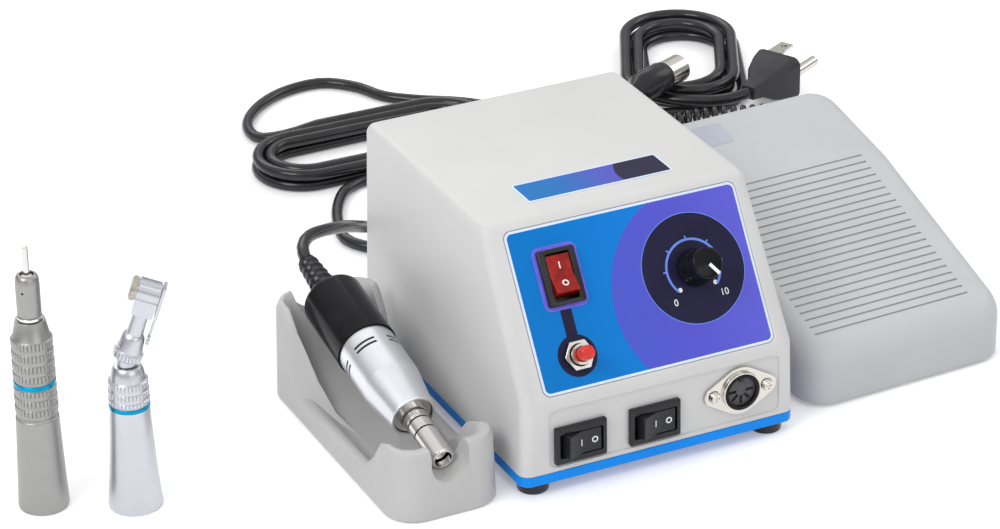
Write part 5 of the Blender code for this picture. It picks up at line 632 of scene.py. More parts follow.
# Camera, floor, sky and lamps
CAMERA_PLACE = (-566.8 * MM, -1039.6 * MM, 692.3 * MM)
CAMERA_YAW, CAMERA_PITCH, CAMERA_ROLL = math.radians(25.76), math.radians(27.19), math.radians(-0.70)
CAMERA_FOCUS = 3.6936  # focal length over the picture's width
CAMERA_SIGHT = 100.0
SENSOR = 36.0
FLOOR_SIZE = 9.0
FLOOR_DROP = 0.05 * MM
FLOOR_COLOUR = (0.86, 0.86, 0.87, 1)
FLOOR_ROUGHNESS, FLOOR_SHEEN, FLOOR_GLOW = 0.9, 0.1, 0.24
WORLD_LIGHT = 1.12
SKY = (  # colours from below to above
    (0.0, (0.30, 0.30, 0.31)), (0.25, (0.36, 0.36, 0.37)),
    (0.6, (0.80, 0.80, 0.80)), (1.0, (0.90, 0.90, 0.90)),
)
LAMPS = (  # place, target, size and power
    ("key_lamp", (-1.5, -0.6, 1.5), (0.0, 0.0, 0.04), (1.1, 0.9), 17.0),
    ("front_lamp", (0.3, -1.9, 0.8), (0.0, 0.0, 0.05), (1.4, 0.7), 5.0),
    ("right_lamp", (1.7, 0.1, 1.2), (0.0, 0.0, 0.05), (0.8, 1.2), 5.5),
    ("back_lamp", (0.2, 1.9, 1.4), (0.0, 0.0, 0.05), (1.4, 0.8), 6.5),
)

LOOKS = {}  # draft, finish, body and edge of each piece
MADE = {}  # materials


# Objects and shapes


def turned_frame(origin, x_axis=(1, 0, 0), z_axis=(0, 0, 1)):
    """Matrix of a right-handed frame at origin, with the given X and Z directions."""
    z = Vector(z_axis).normalized()
    x = Vector(x_axis)
    x = (x - z * x.dot(z)).normalized()
    y = z.cross(x)
    return Matrix.Translation(origin) @ Matrix((x, y, z)).transposed().to_4x4()


def new_object(name, data, parent=None):
    thing = bpy.data.objects.new(name, data)
    bpy.context.collection.objects.link(thing)
    thing.parent = parent
    return thing


def assembly(name, parent=None, origin=(0, 0, 0), x_axis=(1, 0, 0), z_axis=(0, 0, 1)):
    """An empty that carries the pieces of one assembly."""
    empty = new_object(name, None, parent)
    empty.matrix_basis = turned_frame(origin, x_axis, z_axis)
    return empty


def mesh_object(name, shape, parent, at, turn):
    data = bpy.data.meshes.new(name)
    shape.to_mesh(data)
    shape.free()
    thing = new_object(name, data, parent)
    thing.location = at
    thing.rotation_euler = turn
    return thing


def combine(target, shape, parent, at=(0, 0, 0), turn=(0, 0, 0), operation="DIFFERENCE"):
    """Cuts a shape from a piece, or joins it on, with a hidden helper."""
    helper = mesh_object(f"{target.name}_helper", shape, parent, at, turn)
    helper.hide_render = True
    helper.display_type = "WIRE"
    modifier = target.modifiers.new(operation.title(), "BOOLEAN")
    modifier.operation = operation
    modifier.object = helper


def join_on(target, shape, parent, at=(0, 0, 0), turn=(0, 0, 0)):
    combine(target, shape, parent, at, turn, operation="UNION")


def ladder_faces(shape, loop):
    """Closes a ring whose halves mirror each other with one face for each step from front to back."""
    last = len(loop) - 1
    for step in range(len(loop) // 2 - 1):
        shape.faces.new((loop[step], loop[step + 1], loop[last - step - 1], loop[last - step]))


def skin(rings, closed=False, ladder=False):
    """A closed body through rings of equally many points."""
    shape = bmesh.new()
    loops = [[shape.verts.new(point) for point in ring] for ring in rings]
    pairs = list(zip(loops, loops[1:]))
    if closed:
        pairs.append((loops[-1], loops[0]))
    for low, high in pairs:
        for index in range(len(low)):
            following = (index + 1) % len(low)
            shape.faces.new((low[index], low[following], high[following], high[index]))
    if not closed:
        for loop in (loops[0], loops[-1]):
            if ladder:
                ladder_faces(shape, loop)
            else:
                shape.faces.new(loop)
    bmesh.ops.recalc_face_normals(shape, faces=shape.faces)
    return shape


def polar(radius, angle, centre=(0, 0)):
    return centre[0] + radius * math.cos(angle), centre[1] + radius * math.sin(angle)


def circle(centre, radius, sides=2 * ROUND_SIDES):
    return [polar(radius, math.tau * side / sides, centre) for side in range(sides)]


def level(points, height):
    return [(x, y, height) for x, y in points]


def turned(profile, sides=ROUND_SIDES, closed=False):
    """A turned body from (radius, height) pairs, capped at both ends or run round into a tube."""
    return skin([level(circle((0, 0), radius, sides), height) for radius, height in profile], closed=closed)


def rod(radius, low, high, sides=SMALL_SIDES):
    return turned([(radius, low), (radius, high)], sides)


def tube(inner, outer, low, high, sides=ROUND_SIDES):
    return turned([(inner, low), (outer, low), (outer, high), (inner, high)], sides, closed=True)


def outline(half_width, front, back, radius, stations=(), steps=CORNER_STEPS):
    """Rounded rectangle: its right half from front to back, then its left half from back to front."""
    right = [polar(radius, math.pi / 2 * (step / steps - 1), (half_width - radius, front + radius))
             for step in range(steps + 1)]
    right += [(half_width, station) for station in stations]
    right += [polar(radius, math.pi / 2 * step / steps, (half_width - radius, back - radius))
              for step in range(steps + 1)]
    return right + [(-x, y) for x, y in reversed(right)]


def rounded(left, right, bottom, top, radius):
    centre = (left + right) / 2
    return [(x + centre, y) for x, y in outline((right - left) / 2, bottom, top, radius)]


def arc_band(centre, radius, width, start, end, steps=ROUND_SIDES):
    """Outline of a band along an arc."""
    angles = [start + (end - start) * step / steps for step in range(steps + 1)]
    outer = [polar(radius + width / 2, angle, centre) for angle in angles]
    return outer + [polar(radius - width / 2, angle, centre) for angle in reversed(angles)]


def prism(points, low, high):
    return skin([level(points, low), level(points, high)])


def plate(half_width, half_length, radius, low, high):
    return prism(outline(half_width, -half_length, half_length, radius, steps=SMALL_CORNER_STEPS), low, high)


def block(size, centre=(0, 0, 0)):
    shape = bmesh.new()
    bmesh.ops.create_cube(shape, size=1)
    bmesh.ops.scale(shape, vec=size, verts=shape.verts)
    bmesh.ops.translate(shape, vec=centre, verts=shape.verts)
    return shape


def blocks(size, places):
    """Several equal blocks in one helper, each at (centre, turning matrix)."""
    shape = bmesh.new()
    for centre, turning in places:
        place = Matrix.Translation(centre) @ turning.to_4x4() @ Matrix.Diagonal((*size, 1))
        bmesh.ops.create_cube(shape, size=1, matrix=place)
    return shape


def rise_share(value, low, high):
    """Smooth step from 0 at low to 1 at high."""
    share = min(max((value - low) / (high - low), 0.0), 1.0)
    return share * share * (3 - 2 * share)


# Materials


def fill(tree, target, values):
    """Sets a node's inputs to values, or links them to the sockets given."""
    for name, value in values.items():
        if isinstance(value, bpy.types.NodeSocket):
            tree.links.new(value, target.inputs[name])
        else:
            target.inputs[name].default_value = value


def add_node(tree, kind, values):
    node = tree.nodes.new(f"ShaderNode{kind}")
    fill(tree, node, values)
    return node


def blank_material(name):
    """A material, its node tree, its shader and the place on the object that is shaded."""
    surface = bpy.data.materials.new(name)
    surface.use_nodes = True
    tree = surface.node_tree
    place = add_node(tree, "TexCoord", {}).outputs["Object"]
    return surface, tree, tree.nodes["Principled BSDF"], place


def noise(tree, place, size, detail=CLOUD_DETAIL):
    """Noise whose features are about as large as the given size."""
    return add_node(tree, "TexNoise", {"Scale": 1 / size, "Detail": detail, "Vector": place}).outputs["Fac"]


def ramp(tree, value, stops):
    """Colours that follow a value, from (place, colour) pairs."""
    node = add_node(tree, "ValToRGB", {"Fac": value})
    elements = node.color_ramp.elements
    while len(elements) < len(stops):
        elements.new(0.5)
    for element, (at, colour) in zip(elements, stops):
        element.position = at
        element.color = (*colour, 1.0)
    return node.outputs["Color"]


def mottled(tree, value, colour, strength, lift=0.0):
    """A colour that goes a little either way with a value."""
    darker = tuple(part * (1 - strength) for part in colour)
    lighter = tuple(min(part * (1 + strength) + lift, 1.0) for part in colour)
    return ramp(tree, value, ((MOTTLE_STOPS[0], darker), (MOTTLE_STOPS[1], lighter)))


def spread(tree, value, low, high):
    """Values from low to high that follow a noise."""
    values = {"From Min": NOISE_LOW, "From Max": NOISE_HIGH, "To Min": low, "To Max": high, "Value": value}
    return add_node(tree, "MapRange", values).outputs["Result"]


def bumps(tree, value, height):
    """Normals of a surface that a value raises."""
    values = {"Distance": height, "Strength": BUMP_STRENGTH, "Height": value}
    return add_node(tree, "Bump", values).outputs["Normal"]


def plain_material(name):
    """Moulded or printed plastic: a faint mottling of the colour and a fine grain."""
    colour, roughness, mottle, strength, grain, height = PLAIN[name]
    surface, tree, shader, place = blank_material(name)
    fine = noise(tree, place, grain, GRAIN_DETAIL)
    smoother, rougher = PLAIN_SPREAD
    fill(tree, shader, {
        "Base Color": mottled(tree, noise(tree, place, mottle), colour, strength, strength * MOTTLE_LIFT),
        "Roughness": spread(tree, fine, roughness + smoother, roughness + rougher),
        "Metallic": METALLIC.get(name, 0.0),
        "Specular IOR Level": SHEEN.get(name, USUAL_SHEEN),
        "Normal": bumps(tree, fine, height),
    })
    return surface


def metal_material(name, axis):
    """Metal with the fine rings that turning or grinding leaves round its axis."""
    colour, roughness, pitch, height = METAL[name]
    surface, tree, shader, place = blank_material(name)
    along = tree.nodes.new("ShaderNodeVectorMath")
    along.operation = "DOT_PRODUCT"
    fill(tree, along, {0: place, 1: axis})
    rings = tree.nodes.new("ShaderNodeTexNoise")
    rings.noise_dimensions = "1D"
    fill(tree, rings, {"Scale": 1 / pitch, "Detail": GRAIN_DETAIL, "W": along.outputs["Value"]})
    marks = rings.outputs["Fac"]
    smoother, rougher = METAL_SPREAD
    fill(tree, shader, {
        "Base Color": mottled(tree, noise(tree, place, METAL_CLOUD), colour, METAL_MOTTLE),
        "Roughness": spread(tree, marks, roughness + smoother, roughness + rougher),
        "Metallic": 1.0,
        "Normal": bumps(tree, marks, height),
    })
    return surface


def graded_material(name):
    """Print whose colour runs along X of the set, from stops at shares of its length."""
    length, stops = GRADED[name]
    surface, tree, shader, place = blank_material(name)
    split = add_node(tree, "SeparateXYZ", {"Vector": place})
    share = add_node(tree, "MapRange", {
        "From Min": OFFSET.x - length / 2, "From Max": OFFSET.x + length / 2, "Value": split.outputs["X"],
    })
    fine = noise(tree, place, GRADED_GRAIN, GRAIN_DETAIL)
    fill(tree, shader, {
        "Base Color": ramp(tree, share.outputs["Result"], stops),
        "Roughness": spread(tree, fine, *GRADED_ROUGHNESS),
        "Specular IOR Level": SHEEN[name],
        "Normal": bumps(tree, fine, GRADED_GRAIN_HEIGHT),
    })
    return surface


def material(finish, axis=(0.0, 0.0, 1.0)):
    key = (finish, tuple(round(value, 3) for value in axis)) if finish in METAL else finish
    if key not in MADE:
        if finish in METAL:
            MADE[key] = metal_material(finish, axis)
        else:
            MADE[key] = graded_material(finish) if finish in GRADED else plain_material(finish)
    return MADE[key]


# Making and settling the pieces


def piece(name, shape, finish, parent, at=(0, 0, 0), turn=(0, 0, 0), body=None, edge=None):
    """One dressed piece. It stands for the CAD node of its name, if there is one."""
    thing = mesh_object(f"{name}_draft", shape, parent, at, turn)
    LOOKS[name] = (thing, finish, body or (name if name in MOVING else "root"), edge)
    return thing


def settle(finished):
    """Turns each draft, with its cuts and joins done, into a piece of its own, and deletes the drafts."""
    bpy.context.view_layer.update()
    graph = bpy.context.evaluated_depsgraph_get()
    settled = {}
    for name, (thing, finish, body, edge) in LOOKS.items():
        mesh = bpy.data.meshes.new_from_object(thing.evaluated_get(graph))
        mesh.transform(thing.matrix_world)
        axis = tuple(thing.matrix_world.to_3x3() @ Vector((0, 0, 1)))
        settled[name] = (mesh, finish, body, edge, axis)
    for thing in set(bpy.data.objects) - finished:
        bpy.data.objects.remove(thing, do_unlink=True)
    made = {}
    for name, (mesh, finish, body, edge, axis) in settled.items():
        thing = new_object(f"{name}_dressed" if name in frame["nodes"] else name, mesh)
        mesh.name = thing.name
        mesh.materials.clear()
        mesh.materials.append(material(finish, axis))
        mesh.shade_smooth()
        mesh.set_sharp_from_angle(angle=SMOOTH_ANGLE)
        width = EDGES.get(name, 0.0) if edge is None else edge
        if width:
            soften = thing.modifiers.new("Bevel", "BEVEL")
            soften.width = width
            soften.segments = 2
            soften.limit_method = "ANGLE"
            soften.angle_limit = SMOOTH_ANGLE
        if name in EVEN_SHADING:
            thing.modifiers.new("Shading", "WEIGHTED_NORMAL").keep_sharp = True
        if name in frame["nodes"]:
            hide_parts(name)
        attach(thing, body)
        made[name] = thing
    return made


def round_hole(target, panel, place, radius, reach=OVERRUN):
    """Cuts a hole for what stands in a panel, with its clearance."""
    combine(target, rod(radius + GAP, -reach, reach), panel, (*place, 0))


def switch_hole(target, panel, place, across=0.0, reach=OVERRUN):
    """Cuts the hole that the frame of a rocker switch is clipped into."""
    half_width, half_length = BEZEL_WIDTH / 2 - SWITCH_LIP + GAP, BEZEL_LENGTH / 2 - SWITCH_LIP + GAP
    hole = plate(half_width, half_length, SMALL_RADIUS, -reach, reach)
    combine(target, hole, panel, (*place, 0), (0, 0, across))


# Control unit


def rounding_inset(height, top, radius):
    """How far a rounded top edge has drawn in at a height."""
    above = max(height - (top - radius), 0.0)
    return radius - math.sqrt(max(radius * radius - above * above, 0.0))


def front_setback(height, inset):
    """Distance of the housing's front from its lower front edge, at a height."""
    top = UNIT_HEIGHT - inset
    radius = TOP_FRONT_ROUNDING - inset
    lower = KINK_SETBACK * (height - BASE_TOP) / (KINK_HEIGHT - BASE_TOP) + inset

    def slanted(at):
        return KINK_SETBACK + (at - KINK_HEIGHT) * math.tan(SLANT_ANGLE) + inset / math.cos(SLANT_ANGLE)

    tangent = top - radius + radius * math.sin(SLANT_ANGLE)
    if height <= tangent:
        return max(lower, slanted(height))
    centre = slanted(tangent) + radius * math.cos(SLANT_ANGLE)
    above = height - (top - radius)
    return centre - math.sqrt(max(radius * radius - above * above, 0.0))


def unit_section(height, inset=0.0):
    """Outline of the housing at a height, or of its hollow when inset is the wall."""
    top = UNIT_HEIGHT - inset
    taper = (height - BASE_TOP) / (UNIT_HEIGHT - BASE_TOP)
    half_width = (UNIT_BASE_WIDTH + (UNIT_TOP_WIDTH - UNIT_BASE_WIDTH) * taper) / 2 - inset
    drawn_in = rounding_inset(height, top, TOP_SIDE_ROUNDING - inset)
    radius = CORNER_RADIUS - inset - drawn_in
    flat = outline(half_width - drawn_in, front_setback(height, inset), UNIT_DEPTH - inset - drawn_in, radius)
    return level(flat, height)


def unit_levels(inset):
    """Heights at which the housing's outline is drawn."""
    top = UNIT_HEIGHT - inset
    side, front = TOP_SIDE_ROUNDING - inset, TOP_FRONT_ROUNDING - inset
    kink = KINK_HEIGHT + inset * (1 - 1 / math.cos(SLANT_ANGLE)) / math.tan(SLANT_ANGLE)
    edge = [top - side + side * math.sin(angle) for angle in QUARTER]
    return sorted({HOUSING_BOTTOM, kink, top - front + front * math.sin(SLANT_ANGLE), *edge})


def make_housing(unit, slanted, lower, rear):
    rings = [unit_section(height, SHELL_WALL) for height in reversed(unit_levels(SHELL_WALL))]
    rings += [unit_section(height) for height in unit_levels(0.0)]
    shell = piece("housing_shell", skin(rings), "housing_grey", unit)
    for panel, field, depth in (
        (slanted, (OVERLAY_LEFT, OVERLAY_RIGHT, OVERLAY_BOTTOM, OVERLAY_TOP), OVERLAY_RECESS),
        (lower, (LOWER_RECESS_LEFT, LOWER_RECESS_RIGHT, LOWER_RECESS_BOTTOM, LOWER_RECESS_TOP), LOWER_RECESS),
    ):
        combine(shell, prism(rounded(*field, OVERLAY_RADIUS), -depth, OVERRUN), panel)
    through = SHELL_WALL + OVERRUN
    switch_hole(shell, slanted, POWER_SWITCH_PLACE, 0.0, through)
    for place in (MODE_SWITCH_PLACE, DIRECTION_SWITCH_PLACE):
        switch_hole(shell, lower, place, math.pi / 2, through)
    for panel, place, radius in (
        (slanted, BREAKER_PLACE, BREAKER_NECK_RADIUS),
        (slanted, DIAL_PLACE, BUSHING_RADIUS),
        (lower, SOCKET_PLACE, SOCKET_RING_RADIUS),
        (lower, (SOCKET_PLACE[0] - SOCKET_SCREW_SPACING / 2, SOCKET_PLACE[1]), SCREW_SHANK_RADIUS),
        (lower, (SOCKET_PLACE[0] + SOCKET_SCREW_SPACING / 2, SOCKET_PLACE[1]), SCREW_SHANK_RADIUS),
        (rear, (-MAINS_RELIEF_X, REAR_ROW_HEIGHT), RELIEF_NECK_RADIUS),
        (rear, (-PEDAL_SOCKET_X, REAR_ROW_HEIGHT), JACK_NECK_RADIUS),
    ):
        round_hole(shell, panel, place, radius, through)


def make_base(unit):
    """Tray under the housing, on four feet."""
    half_width, floor = UNIT_BASE_WIDTH / 2, FOOT_HEIGHT + BASE_FLOOR
    outer = outline(half_width, 0, UNIT_DEPTH, CORNER_RADIUS)
    inner = outline(half_width - BASE_RIM, BASE_RIM, UNIT_DEPTH - BASE_RIM, CORNER_RADIUS - BASE_RIM)
    rings = [level(outer, FOOT_HEIGHT), level(outer, BASE_TOP), level(inner, BASE_TOP), level(inner, floor)]
    piece("base_tray", skin(rings), "azure", unit)
    for side, side_name in ((-1, "left"), (1, "right")):
        for y, end_name in ((FOOT_INSET, "front"), (UNIT_DEPTH - FOOT_INSET, "rear")):
            foot = turned([
                (FOOT_RADIUS - SMALL_RADIUS, 0), (FOOT_RADIUS - SMALL_RADIUS / 3, SMALL_RADIUS / 3),
                (FOOT_RADIUS, SMALL_RADIUS), (FOOT_RADIUS, FOOT_HEIGHT - GAP),
            ])
            place = (side * (half_width - FOOT_INSET), y, 0)
            piece(f"{end_name}_{side_name}_foot", foot, "black_rubber", unit, place)


def clear_controls(target, slanted):
    """Cuts the holes of the slanted panel's switch, breaker and dial."""
    switch_hole(target, slanted, POWER_SWITCH_PLACE)
    round_hole(target, slanted, BREAKER_PLACE, BREAKER_NECK_RADIUS)
    round_hole(target, slanted, DIAL_PLACE, BUSHING_RADIUS)


def make_overlay(slanted):
    """Film that lies in the slanted panel's recess."""
    left, right = OVERLAY_LEFT + GAP, OVERLAY_RIGHT - GAP
    field = rounded(left, right, OVERLAY_BOTTOM + GAP, OVERLAY_TOP - GAP, OVERLAY_RADIUS)
    film = prism(field, OVERLAY_SURFACE - OVERLAY_THICKNESS, OVERLAY_SURFACE)
    clear_controls(piece("front_overlay", film, "film_white", slanted), slanted)


def printed(points, number):
    """Solid of one printed layer, whose number counts from the film upwards."""
    return prism(points, OVERLAY_SURFACE - PRINT_ROOT, OVERLAY_SURFACE + number * PRINT)


def make_label(slanted):
    """Printed fields of the control panel, each a thin layer over the one below it."""
    field = rounded(*FIELD, FIELD_RADIUS)
    clear_controls(piece("label_field", printed(field, 1), "label_print", slanted), slanted)
    violet = piece("label_violet_field", printed(field, 2), "violet_print", slanted)
    disc = prism(circle(VIOLET_CENTRE, VIOLET_RADIUS), -OVERRUN, OVERRUN)
    combine(violet, disc, slanted, operation="INTERSECT")
    round_hole(violet, slanted, DIAL_PLACE, BUSHING_RADIUS)
    for name, radius, number, finish in (
        ("dial_rim_print", DISC_RADIUS + DISC_RIM, 3, "scale_print"),
        ("dial_disc_print", DISC_RADIUS, 4, "navy_print"),
    ):
        disc = piece(name, printed(circle(DIAL_PLACE, radius), number), finish, slanted)
        round_hole(disc, slanted, DIAL_PLACE, BUSHING_RADIUS)
    make_scale(slanted, OVERLAY_SURFACE, OVERLAY_SURFACE + SCALE_LAYERS * PRINT)
    keyhole = printed(circle(BREAKER_PLACE, KEYHOLE_RADIUS), 3)
    keyhole = piece("breaker_print", keyhole, "navy_print", slanted)
    join_on(keyhole, printed(rounded(*KEYHOLE_BAR, SMALL_RADIUS), 3), slanted)
    round_hole(keyhole, slanted, BREAKER_PLACE, BREAKER_NECK_RADIUS)
    x, y = POWER_SWITCH_PLACE
    half_width, half_length = BEZEL_WIDTH / 2 + GLOW, BEZEL_LENGTH / 2 + GLOW
    around = rounded(x - half_width, x + half_width, y - half_length, y + half_length, 2 * GLOW)
    glow = piece("switch_surround_print", printed(around, 4), "glow_print", slanted)
    switch_hole(glow, slanted, POWER_SWITCH_PLACE)


def make_scale(slanted, low, high):
    """The dial's scale with its ticks, its two dots and their numbers."""
    arc = arc_band(DIAL_PLACE, SCALE_RADIUS, SCALE_WIDTH, SCALE_START, SCALE_END)
    scale = piece("dial_scale_print", prism(arc, low, high), "scale_print", slanted)
    for degrees in SCALE_TICKS:
        angle = math.radians(degrees)
        centre = (*polar(SCALE_RADIUS + TICK_SIZE[0] / 2, angle, DIAL_PLACE), (low + high) / 2)
        join_on(scale, blocks((*TICK_SIZE, high - low), [(centre, Matrix.Rotation(angle, 3, "Z"))]), slanted)
    first, second = (prism(circle(place, DOT_RADIUS, SMALL_SIDES), low, high) for place in DOT_PLACES)
    join_on(piece("dial_dot_prints", first, "white_print", slanted), second, slanted)
    for index, (text, place) in enumerate(NUMERAL_PLACES):
        make_numeral(f"dial_numeral_{index + 1}", text, place, slanted, low, high)


def make_numeral(name, text, place, parent, low, high):
    """A plain number as a thin printed solid."""
    letters = bpy.data.curves.new(name, "FONT")
    letters.body = text
    letters.size = NUMERAL_SIZE
    letters.extrude = (high - low) / 2
    letters.align_x = "CENTER"
    letters.align_y = "CENTER"
    carrier = new_object(f"{name}_helper", letters)
    bpy.context.view_layer.update()
    shape = bmesh.new()
    flat = bpy.data.meshes.new_from_object(carrier.evaluated_get(bpy.context.evaluated_depsgraph_get()))
    shape.from_mesh(flat)
    bmesh.ops.remove_doubles(shape, verts=shape.verts, dist=PRINT / 100)
    piece(name, shape, "white_print", parent, (*place, (low + high) / 2))
    bpy.data.objects.remove(carrier, do_unlink=True)
    bpy.data.meshes.remove(flat)


def make_name_plate(unit):
    """Bare plate on the top: a graded field with a dark right end inside a pale border."""
    left, right, front, back = NAME_PLATE
    low, top = UNIT_HEIGHT - PRINT_ROOT, UNIT_HEIGHT + NAME_PLATE_THICKNESS
    edge = rounded(left, right, front, back, SMALL_RADIUS)
    piece("name_plate", prism(edge, low, top), "film_white", unit, edge=THIN_EDGE)
    border = NAME_PLATE_BORDER
    inner = rounded(left + border, right - border, front + border, back - border, SMALL_RADIUS)
    piece("name_plate_print", prism(inner, top - PRINT_ROOT, top + PRINT), "plate_print", unit)
    dark = piece("name_plate_end_print", prism(inner, top - PRINT_ROOT, top + 2 * PRINT), "navy_print", unit)
    rest = []
    for step in range(END_STEPS + 1):
        x = NAME_PLATE_END - END_BULGE * math.sin(math.pi * step / END_STEPS) + END_LEAN * step / END_STEPS
        rest.append((x, front - OVERRUN + (back - front + 2 * OVERRUN) * step / END_STEPS))
    outside = left - (right - left) / 2
    rest += [(outside, back + OVERRUN), (outside, front - OVERRUN)]
    combine(dark, prism(rest, low, top + OVERRUN), unit)


# Controls and sockets


def make_rocker_switch(prefix, panel, place, seat, x_axis, lowered_end, finish):
    """Frame clipped into the panel and a rocker on trunnions. The rocker's length runs along Y."""
    stand = assembly(f"{prefix}_switch", panel, (*place, seat), x_axis)
    half_width, half_length = ROCKER_WIDTH / 2, ROCKER_LENGTH / 2
    end_height = ROCKER_CENTRE_HEIGHT + half_length * math.tan(ROCKER_TILT)
    neck = (BEZEL_WIDTH / 2 - SWITCH_LIP, BEZEL_LENGTH / 2 - SWITCH_LIP)
    bezel = (BEZEL_WIDTH / 2, BEZEL_LENGTH / 2)
    chamfered = (bezel[0] - BEZEL_CHAMFER, bezel[1] - BEZEL_CHAMFER)
    well = (half_width + GAP, math.hypot(half_length, end_height) + GAP)
    well_floor = -ROCKER_PIVOT_DEPTH - ROCKER_KEEL - half_length * math.sin(ROCKER_TILT) - GAP
    surround = skin([
        level(outline(wide, -long, long, SMALL_RADIUS, steps=SMALL_CORNER_STEPS), height)
        for (wide, long), height in (
            (neck, -SWITCH_DEPTH), (neck, 0), (bezel, 0), (bezel, BEZEL_THICKNESS - BEZEL_CHAMFER),
            (chamfered, BEZEL_THICKNESS), (well, BEZEL_THICKNESS), (well, well_floor),
        )
    ])
    surround = piece(f"{prefix}_switch_frame", surround, "black_plastic", stand)
    pivot, sideways = (0, 0, -ROCKER_PIVOT_DEPTH), (0, math.pi / 2, 0)
    half_pin = well[0] + TRUNNION_REACH
    pocket = half_pin + GAP
    combine(surround, rod(TRUNNION_RADIUS + GAP, -pocket, pocket), stand, pivot, sideways)

    side = [
        (-half_length, end_height), (-half_length, -ROCKER_KEEL), (half_length, -ROCKER_KEEL),
        (half_length, end_height), (0, ROCKER_CENTRE_HEIGHT),
    ]
    rocker = skin([[(x, y, z) for y, z in side] for x in (-half_width, half_width)])
    tilt = (-lowered_end * ROCKER_TILT, 0, 0)
    rocker = piece(f"{prefix}_rocker", rocker, finish, stand, pivot, tilt)
    join_on(rocker, rod(TRUNNION_RADIUS, -half_pin, half_pin), stand, pivot, sideways)


def make_switch_marks(prefix):
    """A bar and a ring on the two halves of a rocker, as thin raised marks."""
    rocker = LOOKS[f"{prefix}_rocker"][0]
    bar_size = (MARK_STROKE, MARK_LENGTH) if prefix == "power" else (MARK_LENGTH, MARK_STROKE)
    for kind, end, distance in zip(("bar", "ring"), (1, -1), MARK_DISTANCES[prefix]):
        height = ROCKER_CENTRE_HEIGHT + distance * math.tan(ROCKER_TILT)
        outward = (0, -end * math.sin(ROCKER_TILT), math.cos(ROCKER_TILT))
        place = assembly(f"{prefix}_{kind}_place", rocker, (0, end * distance, height), (1, 0, 0), outward)
        if kind == "ring":
            mark = tube(MARK_RADIUS - MARK_STROKE, MARK_RADIUS, -MARK_DEPTH, MARK_DEPTH, SMALL_SIDES)
        else:
            mark = block((*bar_size, 2 * MARK_DEPTH))
        piece(f"{prefix}_{kind}_mark", mark, "white_print", place, body=f"{prefix}_rocker", edge=0)


def make_breaker(slanted):
    """Push-to-reset breaker: its body with the neck, its nut and its button."""
    stand = assembly("overload_breaker", slanted, (*BREAKER_PLACE, 0))
    back = -SHELL_WALL - GAP
    top = PANEL_SEAT + BREAKER_NECK_PROUD
    bore_floor = top - BREAKER_BORE_DEPTH
    body = turned([
        (BREAKER_CAN_RADIUS, back - BREAKER_CAN_LENGTH), (BREAKER_CAN_RADIUS, back),
        (BREAKER_NECK_RADIUS, back), (BREAKER_NECK_RADIUS, top),
        (BREAKER_BORE_RADIUS, top), (BREAKER_BORE_RADIUS, bore_floor),
    ], SMALL_SIDES)
    piece("breaker_body", body, "nickel", stand)
    corner = NUT_ACROSS_FLATS / 2 / math.cos(math.pi / 6)
    hexagon = turned([(corner, PANEL_SEAT), (corner, PANEL_SEAT + NUT_THICKNESS)], 6)
    nut = piece("breaker_nut", hexagon, "nickel", stand)
    combine(nut, rod(BREAKER_NECK_RADIUS + GAP, -OVERRUN, top), stand)
    button = turned([
        (BUTTON_RADIUS, bore_floor + BUTTON_TRAVEL + GAP), (BUTTON_RADIUS, top + BUTTON_PROUD - SMALL_RADIUS),
        (BUTTON_RADIUS - SMALL_RADIUS, top + BUTTON_PROUD),
    ], SMALL_SIDES)
    piece("breaker_button", button, "red_button", stand)


def knurled_ring(radius, low, high, teeth=KNURL_TEETH, depth=KNURL_DEPTH):
    """Ring of flat-topped teeth with rounded ends, sunk into what it stands on."""
    def ring(reach, height, cut):
        return [
            (*polar(reach - (depth if lowered and cut else 0), math.tau * (tooth + share) / teeth), height)
            for tooth in range(teeth) for share, lowered in TOOTH_MARKS
        ]

    root = radius - KNURL_ROOT_SHARE * depth
    return skin([
        ring(root, low, False), ring(radius - depth, low, False), ring(radius, low + KNURL_EDGE, True),
        ring(radius, high - KNURL_EDGE, True), ring(radius - depth, high, False), ring(root, high, False),
    ], closed=True)


def make_button_flutes(slanted):
    """Knurled side of the breaker's reset button."""
    stand = assembly("button_flutes_place", slanted, (*BREAKER_PLACE, 0))
    low = PANEL_SEAT + BREAKER_NECK_PROUD
    high = low + BUTTON_PROUD - SMALL_RADIUS
    ring = knurled_ring(BUTTON_RADIUS + PRINT, low + KNURL_EDGE, high, BUTTON_TEETH, SHALLOW_DEPTH)
    piece("breaker_button_flutes", ring, "red_button", stand, body="breaker_button", edge=0)


